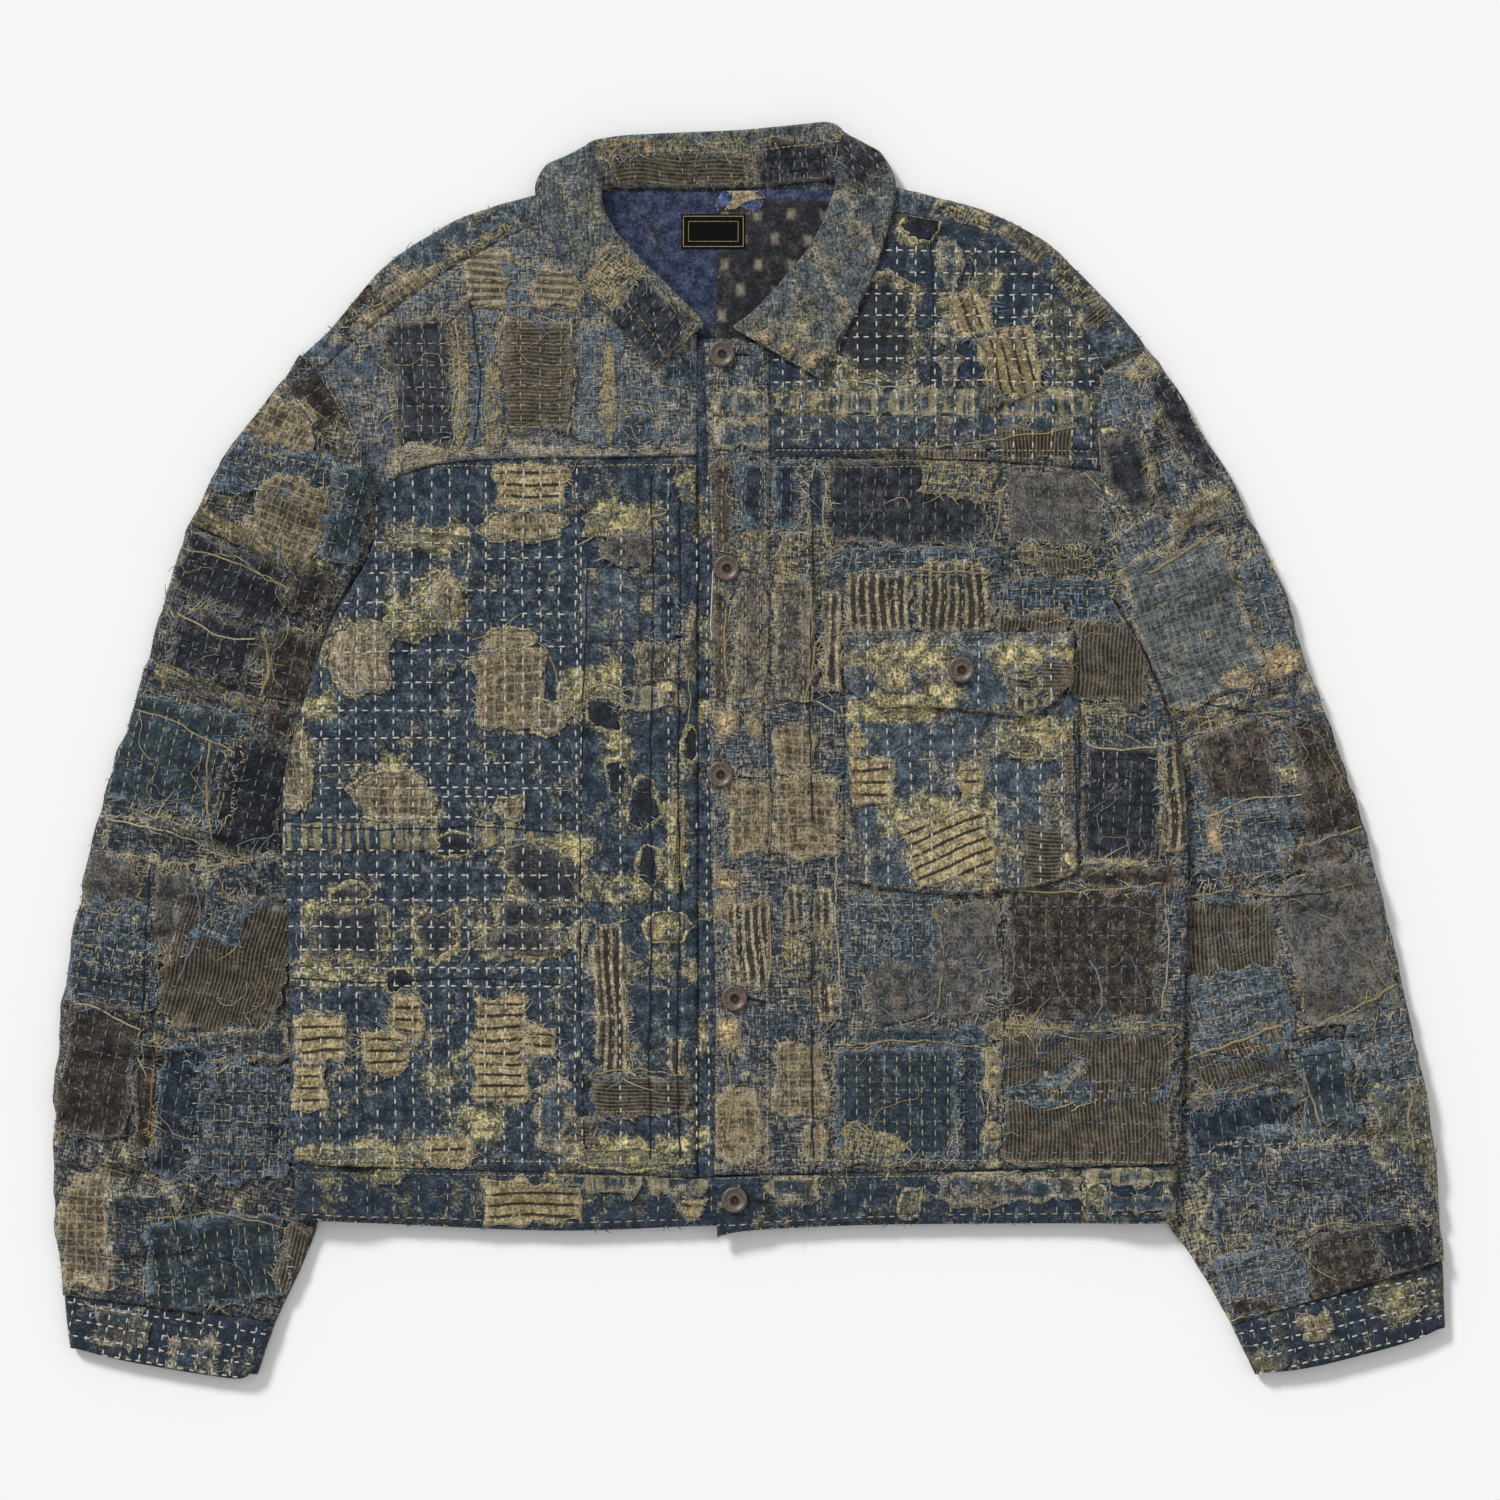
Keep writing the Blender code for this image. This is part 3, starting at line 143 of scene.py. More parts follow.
NECKLINE_RIGHT = ((-34, 268), (-48, 281), (-66, 297), (-82, 313), (-96, 329), (-106, 346))
NECKLINE_LEFT = ((13, 274), (18, 280), (36, 303), (50, 325), (58, 341), (62, 352))
BACK_NECKLINE = ((-112, 364), (-92, 365), (-58, 365), (-19, 365), (19, 366), (51, 368), (72, 368))
WAIST_SEAM = (
    (-292, -262), (-192, -266), (-83, -269), (-34, -271), (13, -269), (160, -266), (274, -262),
)
PLACKET_EDGES = (
    # y, free edge x, sewn edge x
    (263, -29, 12.4),
    (190, -27, 12.8),
    (119, -24, 13),
    (60, -26, 13),
    (-60, -25, 13),
    (-156, -22, 13),
    (-271, -23, 13),
)
WAISTBAND_BOTTOM_FRONT = ((-296, -297), (-224, -301), (-122, -305), (-32, -302), (1, -302))
WAISTBAND_BOTTOM_OVER = ((277, -300), (96, -301), (13, -304), (-10, -306), (-21, -309))
SLEEVE_OUTER_RIGHT = (
    (-287, 255), (-318, 214), (-344, 175), (-361, 137), (-374, 99), (-385, 60),
    (-409, -17), (-429, -93), (-441, -170), (-445, -247), (-444, -300), (-439, -346),
)
SLEEVE_INNER_RIGHT = (
    (-244, 126), (-254, 112), (-262, 98), (-269, 84), (-276, 64), (-281, 40), (-284, 12),
    (-286, -30), (-286, -85),
    (-283, -150), (-280, -220), (-276, -290), (-286, -325), (-305, -364),
)
SLEEVE_OUTER_LEFT = (
    (253, 261), (284, 214), (306, 175), (325, 137), (342, 99), (355, 60),
    (383, -17), (404, -93), (422, -170), (437, -247), (441, -290), (443, -324),
)
SLEEVE_INNER_LEFT = (
    (232, 99), (241, 86), (248, 74), (255, 60), (260, 44), (265, 15), (267, -17), (268, -74),
    (266, -157), (264, -221), (264, -290), (285, -324), (309, -366),
)
CUFF_END_RIGHT = ((-435, -380), (-397, -389), (-329, -400), (-316, -397))
CUFF_END_LEFT = ((445, -367), (420, -377), (357, -393), (324, -397))
COLLAR_STATIONS = (
    # seam x, y, z, roll x, y, z, edge x, y, z, tilt
    (-28, 270, 9.9, -30, 275, 11.5, -62, 246, 9.9, 0),
    (-40, 279, 9.9, -38, 284, 11.5, -70, 256, 9.9, 0),
    (-55, 291, 9.9, -50, 296, 11.5, -82, 270, 9.9, 0),
    (-71, 305, 9.9, -63, 309, 11.5, -95, 284, 9.9, 0),
    (-86, 319, 9.9, -76, 322, 11.5, -108, 300, 9.9, 0),
    (-97, 334, 9.9, -87, 335, 11.6, -119, 318, 9.9, 0),
    (-103, 349, 9.9, -94, 348, 12.5, -129, 337, 9.9, 20),
    (-101, 357, 8.6, -97, 362, 15.0, -136, 352, 10.4, 60),
    (-96, 361, 6.6, -102, 377, 15.5, -136, 367, 8.2, 100),
    (-88, 363, 4.8, -103, 389, 13.5, -124, 379, 4.2, 140),
    (-76, 363, 4.2, -86, 394, 11.0, -96, 370, 1.8, 170),
    (-56, 363, 4.2, -60, 396, 10.0, -62, 367, 1.3, 180),
    (-34, 363, 4.2, -34, 397, 10.0, -34, 367, 1.3, 180),
    (-12, 363, 4.2, -10, 398, 10.0, -8, 367, 1.3, 180),
    (10, 364, 4.2, 14, 400, 10.0, 16, 368, 1.3, 180),
    (28, 366, 4.2, 34, 402, 10.2, 40, 371, 1.3, 180),
    (40, 368, 4.2, 50, 403, 11.5, 64, 378, 1.8, 170),
    (48, 368, 4.8, 58, 398, 13.5, 80, 386, 4.4, 140),
    (55, 367, 6.6, 60, 384, 15.5, 91, 372, 8.2, 100),
    (60, 361, 8.6, 57, 367, 15.0, 93, 357, 10.4, 60),
    (62, 351, 9.9, 52, 352, 12.5, 90, 343, 9.9, 20),
    (58, 338, 9.9, 47, 339, 11.6, 86, 327, 9.9, 0),
    (50, 322, 9.9, 38, 323, 11.5, 80, 309, 9.9, 0),
    (38, 305, 9.9, 26, 308, 11.5, 72, 291, 9.9, 0),
    (24, 288, 9.9, 14, 294, 11.5, 63, 273, 9.9, 0),
    (11, 275, 9.9, 2, 282, 11.5, 54, 255, 9.9, 0),
    (0, 267, 9.9, -10, 273, 11.5, 46, 239, 9.9, 0),
)
POCKET_BOTTOM = ((61, -81), (90, -86), (130, -90), (176, -86), (210, -76))
POCKET_TOP_Y = 38
FLAP_TOP_Y = 78
FLAP_BOTTOM = ((60, 44), (78, 31), (104, 30), (131, 29), (168, 24), (186, 26), (207, 46))
PLACKET_BUTTONS = ((-18, 256), (-15, 119), (-19, -13), (-10, -156), (-10, -285))
FLAP_BUTTON = (135, 54)
LINING_OUTLINE = ((-112, 268), (62, 262), (66, 362), (-104, 361))
LABEL_CENTRE = (-23.5, 335)
LABEL_SIZE = (41, 22)
LABEL_LOW_Z, LABEL_TOP_Z, LABEL_BORDER_Z = 3.85, 4.55, 4.62
LABEL_BORDERS = ((1.3, 0.5), (4.6, 0.35))  # distance in from the label's edge, and width
PLEATS = (
    # x of the fold, side that is raised, height
    (-60, 1, 2.3),
    (-42, 1, 2.0),
    (39, -1, 2.1),
)
FOLDS = (
    # start x, y, end x, y, height, half width
    (-150, 142, -236, 70, 4.2, 15),
    (-196, 168, -226, 116, 2.4, 13),
    (-270, 22, -206, 4, 2.6, 16),
    (-262, -66, -186, -84, 2.2, 15),
    (-140, -10, -96, 60, 2.4, 17),
    (-216, -196, -172, -262, 2.6, 15),
    (-292, -286, -226, -258, 2.6, 13),
    (-126, -250, -96, -170, 2.0, 14),
    (-228, 236, -160, 208, 2.2, 14),
    (-176, 292, -120, 262, 2.0, 15),
    (188, 296, 216, 208, 2.8, 13),
    (112, 268, 176, 232, 2.2, 14),
    (60, 222, 150, 204, 1.8, 12),
    (148, 158, 216, 128, 2.6, 15),
    (232, 8, 262, -96, 2.4, 13),
    (70, -120, 128, -178, 2.2, 16),
    (168, -116, 236, -186, 2.8, 16),
    (52, -206, 96, -258, 2.2, 14),
    (150, -240, 236, -214, 2.2, 15),
    (-262, 206, -252, 128, 5.0, 13),
    (-300, 210, -268, 148, 4.0, 14),
    (-338, 150, -272, 118, 3.6, 15),
    (-352, 104, -296, 70, 3.0, 15),
    (-386, 20, -316, -16, 3.0, 16),
    (-412, -66, -330, -96, 3.4, 17),
    (-424, -140, -322, -126, 2.8, 15),
    (-430, -210, -340, -232, 3.4, 17),
    (-424, -292, -330, -270, 3.0, 15),
    (-398, -330, -350, -250, 2.2, 13),
    (240, 224, 262, 150, 4.2, 13),
    (270, 190, 304, 142, 3.4, 15),
    (262, 108, 330, 118, 3.8, 15),
    (284, 64, 352, 40, 3.0, 15),
    (296, 10, 372, -26, 3.4, 17),
    (306, -60, 394, -74, 3.0, 16),
    (312, -120, 404, -158, 3.6, 18),
    (310, -190, 420, -206, 3.0, 16),
    (312, -250, 396, -282, 3.4, 17),
    (354, -306, 426, -262, 2.4, 14),
    # narrow, sharp ones
    (-296, 226, -254, 170, 3.6, 7),
    (-322, 178, -262, 150, 3.4, 7),
    (-344, 128, -284, 96, 3.0, 7),
    (-372, 60, -312, 44, 3.0, 8),
    (-398, -44, -330, -56, 3.2, 8),
    (-418, -118, -350, -106, 3.0, 8),
    (-434, -190, -352, -184, 3.2, 8),
    (-436, -262, -372, -252, 3.0, 8),
    (-420, -318, -346, -302, 2.6, 8),
    (264, 222, 244, 168, 3.4, 7),
    (292, 196, 262, 128, 3.4, 7),
    (322, 138, 270, 92, 3.0, 7),
    (352, 64, 296, 22, 3.0, 8),
    (380, -34, 316, -44, 3.2, 8),
    (396, -98, 330, -92, 3.0, 8),
    (412, -178, 342, -176, 3.2, 8),
    (424, -240, 356, -228, 3.0, 8),
    (430, -300, 372, -284, 2.8, 8),
    (-232, 124, -176, 154, 2.6, 7),
    (-272, -20, -222, -34, 2.4, 7),
    (-276, -150, -214, -166, 2.4, 7),
    (-180, 60, -222, 26, 2.2, 8),
    (-238, 224, -206, 198, 2.2, 7),
    (-150, 300, -108, 250, 2.2, 8),
    (210, 246, 176, 206, 2.4, 7),
    (214, 150, 178, 120, 2.4, 7),
    (262, -60, 214, -92, 2.4, 7),
    (196, -150, 142, -166, 2.2, 8),
    (116, -196, 62, -214, 2.2, 8),
    (226, -226, 176, -250, 2.2, 8),
)


# Shapes: curves, noise and heights

def smooth(value):
    share = np.clip(value, 0, 1)
    return share * share * (3 - 2 * share)


def curve(points, steps=12):
    """A dense line on the smooth curve through the points."""
    p = np.array(points, float)
    ends = np.vstack([p[:1], p, p[-1:]])
    t = np.arange(steps)[:, None] / steps
    rows = []
    for a, b, c, d in zip(ends, ends[1:], ends[2:], ends[3:]):
        rows.append(0.5 * (2 * b + (c - a) * t + (2 * a - 5 * b + 4 * c - d) * t**2
                           + (3 * b - a - 3 * c + d) * t**3))
    return np.vstack(rows + [p[-1:]])


def along(line, shares):
    """Points at these shares of a dense line's length."""
    line = np.asarray(line)
    steps = np.linalg.norm(np.diff(line, axis=0), axis=1)
    length = np.concatenate([[0], np.cumsum(steps)])
    goal = np.asarray(shares) * length[-1]
    return np.stack([np.interp(goal, length, line[:, k]) for k in range(line.shape[1])], axis=1)


def edge_x(points):
    """The curve's x as a function of y."""
    line = curve(points)
    line = line[np.argsort(line[:, 1])]
    return lambda y: np.interp(y, line[:, 1], line[:, 0])


def edge_y(points):
    """The curve's y as a function of x."""
    line = curve(points)
    line = line[np.argsort(line[:, 0])]
    return lambda x: np.interp(x, line[:, 0], line[:, 1])


side_right_x, side_left_x = edge_x(SIDE_RIGHT), edge_x(SIDE_LEFT)
waist_y = edge_y(WAIST_SEAM)


def noise(x, y, size, seed):
    """Smooth noise from -1 to 1 with features about this size."""
    u, v = np.asarray(x, float) / size, np.asarray(y, float) / size
    i, j = np.floor(u).astype(np.int64), np.floor(v).astype(np.int64)
    f, g = smooth(u - i), smooth(v - j)

    def corner(a, b):
        n = (a * 374761393 + b * 668265263 + seed * 974711) & 0xFFFFFFFF
        n = ((n ^ (n >> 13)) * 1274126177) & 0xFFFFFFFF
        return ((n ^ (n >> 16)) & 0xFFFF) / 32767.5 - 1

    low = corner(i, j) * (1 - f) + corner(i + 1, j) * f
    high = corner(i, j + 1) * (1 - f) + corner(i + 1, j + 1) * f
    return low * (1 - g) + high * g


def creases(x, y):
    """Soft ridges from the table of folds, each a little bent."""
    lift = np.zeros(np.shape(x))
    for k, (x0, y0, x1, y1, height, half_width) in enumerate(FOLDS):
        length = math.hypot(x1 - x0, y1 - y0)
        ux, uy = (x1 - x0) / length, (y1 - y0) / length
        run = (x - x0) * ux + (y - y0) * uy
        bend = 4 * np.sin(run / length * 3.1 + k)
        across = (x - x0) * uy - (y - y0) * ux + bend
        inside = (run > 0) & (run < length) & (np.abs(across) < half_width)
        end = np.sin(np.pi * np.clip(run / length, 0, 1)) ** 0.8
        ridge = 1.25 * height * end * np.cos(np.pi * np.clip(across / half_width, -1, 1) / 2) ** 2
        lift = np.maximum(lift, np.where(inside, ridge, 0))
    return lift


def puckers(x, y):
    """The uneven surface of cloth that is quilted all over."""
    fine = noise(x, y, 5.5, 5) * 0.22 + noise(x, y, 10, 3) * 0.4
    return fine + noise(x, y, 24, 7) * 0.5 + 0.45


def sleeve_creases(x, y):
    """Creases and ruffles across a sleeve, none of them where it lies under the body."""
    right = x < 0
    lean = np.where(right, -SLEEVE_LEAN, SLEEVE_LEAN)
    run, across = x * lean - y, x + y * lean
    ruffles = noise(across, run * 2.8, 40, 43) + 0.6 * noise(across, run * 2.4, 21, 47)
    outside = np.where(right, side_right_x(y) - x, x - side_left_x(y))
    over_armpit = smooth((y - np.where(right, ARMPIT_RIGHT_Y, ARMPIT_LEFT_Y)) / 20)
    shown = np.maximum(smooth((outside - 1) / 10), over_armpit)
    lift = 1.3 * creases(x, y) + 1.5 * (ruffles + 0.7)
    return SLEEVE_CREST * np.tanh(lift / SLEEVE_CREST) * shown


def pleats(x, y):
    """Sharp folds beside the plackets: a steep step, then a slope over the pleat's width."""
    lift = np.zeros(np.shape(x))
    for fold_x, side, height in PLEATS:
        inside = (x - fold_x - 0.8 * noise(x * 0, y, 40, 31)) * side
        raised = np.where((inside >= 0) & (inside < PLEAT_WIDTH), 1 - inside / PLEAT_WIDTH, 0)
        step = np.where((inside > -PLEAT_STEP) & (inside < 0), 1 + inside / PLEAT_STEP, 0)
        lift = np.maximum(lift, height * np.maximum(raised, step))
    return lift * smooth((PLEAT_TOP_Y - y) / PLEAT_FADE)


def side_lift(x, y):
    """Distance from the side edge, and how far the body is lifted where it lies on a sleeve."""
    right = x < 0
    edge = np.where(right, side_right_x(y), side_left_x(y))
    armpit = np.where(right, ARMPIT_RIGHT_Y, ARMPIT_LEFT_Y)
    inside = np.where(y < armpit, np.abs(edge - x), 1000)
    share = smooth((armpit - LIFT_START - y) / (LIFT_FULL - LIFT_START))
    return inside, SIDE_LIFT * share * smooth((LIFT_FLAT + LIFT_RAMP - inside) / LIFT_RAMP)


def back_mid(x, y):
    return BACK_Z + side_lift(x, y)[1]


def front_mid(x, y):
    inside, lift = side_lift(x, y)
    ease = smooth(inside / (LIFT_FLAT + LIFT_RAMP))
    gap = INSIDE_GAP + (SIDE_INSIDE_GAP - INSIDE_GAP) * (1 - ease) * smooth(lift / SIDE_LIFT * 2)
    return BACK_Z + lift + CLOTH + gap


def front_relief(x, y):
    return creases(x, y) + pleats(x, y) + puckers(x, y)


def overlap_mid(x, y):
    down = smooth((x - OVERLAP_END_X) / (OVERLAP_DOWN_X - OVERLAP_END_X))
    return OVERLAP_Z + (FRONT_Z - OVERLAP_Z) * down


def spot(px, py):
    """A place on the photograph's grid, as the jacket's x and y."""
    return (px - GRID_CENTRE[0]) * GRID_MM, (GRID_CENTRE[1] - py) * GRID_MM


def to_metres(points):
    return np.asarray(points, float) * MILLIMETRE


# Meshes: grids, shells and objects

FAR_FROM_EDGE = 30.0  # the "edge" value of cloth that frays nowhere


def coons(bottom, top, left, right, across=None):
    """A grid of points (rows, columns, 2) between four edges."""
    v = np.linspace(0, 1, len(left))[:, None, None]
    u = (np.linspace(0, 1, len(bottom)) if across is None else across)[None, :, None]
    ruled = (1 - v) * bottom[None] + v * top[None] + (1 - u) * left[:, None] + u * right[:, None]
    corners = ((1 - u) * (1 - v) * bottom[0] + u * (1 - v) * bottom[-1]
               + (1 - u) * v * top[0] + u * v * top[-1])
    return ruled - corners


def grid_faces(rows, columns, closed=False):
    """The quads of a grid of points. Closed joins its last column to its first."""
    j, i = np.meshgrid(np.arange(rows - 1), np.arange(columns if closed else columns - 1),
                       indexing="ij")
    right = (i + 1) % columns
    quads = np.stack([j * columns + i, j * columns + right,
                      (j + 1) * columns + right, (j + 1) * columns + i], axis=-1)
    return quads.reshape(-1, 4)


def grid_normals(grid, closed=False):
    """Unit normals of a grid: up, where its columns run to +X and its rows to +Y."""
    if closed:
        across = np.roll(grid, -1, axis=1) - np.roll(grid, 1, axis=1)
    else:
        across = np.gradient(grid, axis=1)
    normals = np.cross(across, np.gradient(grid, axis=0))
    return normals / np.maximum(np.linalg.norm(normals, axis=-1, keepdims=True), 1e-9)


def rim_faces(quads, count):
    """Faces that join the edge of a sheet to the edge of its copy, count points further on."""
    edges = np.concatenate([quads[:, [k, (k + 1) % 4]] for k in range(4)])
    keys = edges[:, 0] * count + edges[:, 1]
    edges = edges[~np.isin(keys, edges[:, 1] * count + edges[:, 0])]
    a, b = edges[:, 0], edges[:, 1]
    return np.stack([b, a, a + count, b + count], axis=1)


def make_object(name, points, faces, materials, kinds=None, uv=None, **values):
    """A smooth mesh of quads in millimetres, with its materials, grain and point values."""
    mesh = bpy.data.meshes.new(name)
    mesh.vertices.add(len(points))
    mesh.vertices.foreach_set("co", to_metres(points).ravel())
    mesh.loops.add(faces.size)
    mesh.loops.foreach_set("vertex_index", faces.ravel().astype(np.int32))
    mesh.polygons.add(len(faces))
    mesh.polygons.foreach_set("loop_start", np.arange(0, faces.size, 4, dtype=np.int32))
    for material in materials:
        mesh.materials.append(material)
    if kinds is not None:
        mesh.polygons.foreach_set("material_index", np.asarray(kinds, np.int32))
    mesh.polygons.foreach_set("use_smooth", np.ones(len(faces), bool))
    uv = np.asarray(points)[:, :2] if uv is None else uv
    layer = mesh.uv_layers.new(name="grain")
    layer.data.foreach_set("uv", np.asarray(uv, np.float32)[faces.ravel()].ravel())
    for key, value in values.items():
        attribute = mesh.attributes.new(key, "FLOAT", "POINT")
        attribute.data.foreach_set("value", np.asarray(value, np.float32))
    mesh.update(calc_edges=True)
    made = bpy.data.objects.new(name, mesh)
    bpy.context.scene.collection.objects.link(made)
    return made


def make_shell(name, grid, thickness, material, relief, closed, gone, turn, tone):
    """A closed thin sheet on a grid through the middle of its cloth.

    The relief stands out of the outer side. gone is true for cells that are cut away.
    turn is the angle of the cloth's grain in degrees, and tone lightens or darkens it.
    """
    rows, columns = grid.shape[:2]
    count = rows * columns
    normals = grid_normals(grid, closed)
    relief = np.broadcast_to(relief, (rows, columns))[..., None]
    outer = grid + normals * (thickness / 2 + relief)
    inner = grid - normals * thickness / 2
    points = np.concatenate([outer.reshape(-1, 3), inner.reshape(-1, 3)])
    points[:, 2] = np.maximum(points[:, 2], UNDERSIDE_Z)
    quads = grid_faces(rows, columns, closed)
    if gone is not None:
        quads = quads[~gone.ravel()]
    faces = np.concatenate([quads, quads[:, ::-1] + count, rim_faces(quads, count)])
    used, place = np.unique(faces, return_inverse=True)
    points, faces = points[used], place.reshape(-1, 4)
    angle = math.radians(turn)
    rotation = np.array([[math.cos(angle), -math.sin(angle)], [math.sin(angle), math.cos(angle)]])
    made = make_object(name, points, faces, [material], uv=points[:, :2] @ rotation,
                       tone=np.full(len(points), tone),
                       edge=np.full(len(points), FAR_FROM_EDGE), fade=np.zeros(len(points)))
    return made, points, faces


def with_z(grid, z):
    """A plane grid raised to a height, or to each point's own height."""
    return np.dstack([grid, np.broadcast_to(z, grid.shape[:2])])


def cell_areas(grid):
    """The area of each of a grid's cells, in square metres."""
    a, b = grid[1:, 1:] - grid[:-1, :-1], grid[1:, :-1] - grid[:-1, 1:]
    return np.linalg.norm(np.cross(a, b), axis=-1) / 2 * MILLIMETRE**2


# Materials

def linear(code):
    """Blender's linear colour for a six-figure colour code."""
    parts = [int(code[k:k + 2], 16) / 255 for k in (0, 2, 4)]
    return [p / 12.92 if p <= 0.04045 else ((p + 0.055) / 1.055) ** 2.4 for p in parts] + [1]


class Nodes:
    """A material's node tree, with short ways to add the usual nodes."""

    def __init__(self, name):
        self.material = bpy.data.materials.new(name)
        self.material.use_nodes = True
        self.tree = self.material.node_tree
        self.shader = self.tree.nodes["Principled BSDF"]

    def add(self, kind, inputs, output=0, **settings):
        made = self.tree.nodes.new(kind)
        for key, value in settings.items():
            setattr(made, key, value)
        for key, value in inputs.items():
            if isinstance(value, bpy.types.NodeSocket):
                self.tree.links.new(value, made.inputs[key])
            else:
                made.inputs[key].default_value = value
        return made.outputs[output]

    def calc(self, operation, *values, clamp=False):
        return self.add("ShaderNodeMath", dict(enumerate(values)), operation=operation,
                        use_clamp=clamp)

    def step(self, value, low, high):
        """0 at low, 1 at high, and smooth between them."""
        return self.add("ShaderNodeMapRange",
                        {"Value": value, "From Min": low, "From Max": high},
                        interpolation_type="SMOOTHSTEP")

    def noise(self, vector, scale, detail=2.0, roughness=0.5, seed=0.0):
        """Noise with features of 1/scale mm. scale may be one number or a pair for x and y."""
        x, y = scale if isinstance(scale, tuple) else (scale, scale)
        moved = self.add("ShaderNodeMapping", {"Vector": vector, "Scale": (x, y, 1),
                                               "Location": (seed, seed * 0.7, 0)})
        return self.add("ShaderNodeTexNoise", {"Vector": moved, "Scale": 1.0, "Detail": detail,
                                               "Roughness": roughness}, noise_dimensions="2D")

    def mix(self, share, a, b):
        return self.add("ShaderNodeMix", {0: share, 6: a, 7: b}, output=2, data_type="RGBA")

    def ramp(self, value, stops):
        made = self.tree.nodes.new("ShaderNodeValToRGB")
        self.tree.links.new(value, made.inputs["Fac"])
        elements = made.color_ramp.elements
        while len(elements) < len(stops):
            elements.new(0.5)
        for element, (place, colour) in zip(elements, stops):
            element.position = place
            element.color = colour
        return made.outputs["Color"]

    def value(self, name):
        return self.add("ShaderNodeAttribute", {}, output=2, attribute_name=name)


def bent_grain(n):
    """The place on a cloth, with its threads a little bent."""
    grain = n.add("ShaderNodeUVMap", {}, uv_map="grain")
    bend = n.add("ShaderNodeTexNoise", {"Vector": grain, "Scale": 0.022, "Detail": 1.0},
                 output=1, noise_dimensions="2D")
    centred = n.add("ShaderNodeVectorMath", {0: bend, 1: (0.5, 0.5, 0.5)}, operation="SUBTRACT")
    shifted = n.add("ShaderNodeVectorMath", {0: centred, 1: (7.0, 7.0, 0)}, operation="MULTIPLY")
    return n.add("ShaderNodeVectorMath", {0: grain, 1: shifted}, operation="ADD")


def cloth_noises(n, place):
    """The uneven tones of a cloth, from broad clouds down to single threads."""
    warp_threads = n.noise(place, (0.85, 0.13), detail=2.0, seed=5.0)
    weft_threads = n.noise(place, (0.13, 0.85), detail=2.0, seed=8.0)
    return {
        "broad": n.noise(place, 0.038, detail=5.0, roughness=0.66, seed=3.0),
        "patchy": n.noise(place, 0.075, detail=3.0, roughness=0.6, seed=21.0),
        "cloudy": n.noise(place, 0.13, detail=3.0, roughness=0.6, seed=17.0),
        "fine": n.noise(place, 0.55, detail=3.0, roughness=0.65, seed=11.0),
        "threads": n.calc("MAXIMUM", warp_threads, weft_threads),
        "crossed": n.calc("MULTIPLY", n.calc("ADD", warp_threads, weft_threads), 0.5),
    }


def dye(n, tones, cold, warm, aged, mesh):
    """The cloth's own colour: dyed, faded in places, and bleached where "fade" says so."""
    shade = n.calc("MULTIPLY", tones["fine"], 0.45 - 0.2 * mesh)
    shade = n.calc("MULTIPLY_ADD", tones["cloudy"], 0.55 - 0.35 * mesh, shade)
    shade = n.calc("MULTIPLY_ADD", tones["crossed"], 0.55 * mesh, shade)
    shade = n.calc("ADD", shade, n.value("tone"))
    spread = 0.10 - 0.01 * mesh
    places = (0.5 - spread, 0.5, 0.5 + spread)
    dyed, faded, bleached = (
        n.ramp(shade, [(p, linear(c)) for p, c in zip(places, codes)])
        for codes in (cold.split(), warm.split(), BLEACHED_SHADES)
    )
    lost = n.calc("MULTIPLY", tones["broad"], 0.72 - 0.42 * mesh)
    lost = n.calc("MULTIPLY_ADD", tones["crossed"], 0.50 * mesh, lost)
    lost = n.calc("MULTIPLY_ADD", tones["fine"], 0.28 - 0.08 * mesh, lost)
    middle = 0.5 + (0.5 - aged) * 0.26
    fade = n.value("fade")
    lost = n.calc("ADD", lost, n.calc("MULTIPLY", fade, 0.6))
    colour = n.mix(n.step(lost, middle - 0.045, middle + 0.045), dyed, faded)
    gone = n.calc("MULTIPLY_ADD", n.calc("SUBTRACT", tones["broad"], 0.5), 0.5, fade)
    gone = n.calc("MULTIPLY_ADD", n.calc("SUBTRACT", tones["crossed"], 0.5), 0.3, gone)
    return n.mix(n.step(gone, 0.10, 0.27), colour, bleached)


def pattern_mask(n, pattern, axes, place, fine):
    """1 on a pattern's stripes, bars or spots, and 0 between them."""
    if pattern[0] in axes:
        axis, period, width, offset = pattern[:4]
        line = n.calc("PINGPONG", n.calc("ADD", axes[axis], offset), period / 2)
        ragged = n.calc("MULTIPLY_ADD", fine, width * 0.5, line)
        return n.step(ragged, width * 0.88, width * 0.62)
    if pattern[0] == "bars":
        scale = pattern[1]
        return n.step(n.noise(place, (scale, scale / 14), detail=2.0, seed=29.0), 0.47, 0.56)
    (step_x, step_y), (wide, high), shift = pattern[:3]
    rows = n.calc("DIVIDE", axes["y"], step_y)
    moved = n.calc("MULTIPLY_ADD", n.calc("FLOOR", rows), shift, axes["x"])
    in_x = n.calc("PINGPONG", moved, step_x / 2)
    in_y = n.calc("ABSOLUTE", n.calc("SUBTRACT", n.calc("FRACT", rows), 0.5))
    across = n.calc("MAXIMUM", n.calc("DIVIDE", in_x, wide / 2),
                    n.calc("DIVIDE", in_y, high / step_y / 2))
    return n.step(n.calc("MULTIPLY_ADD", fine, 2.2, across), 2.3, 1.6)


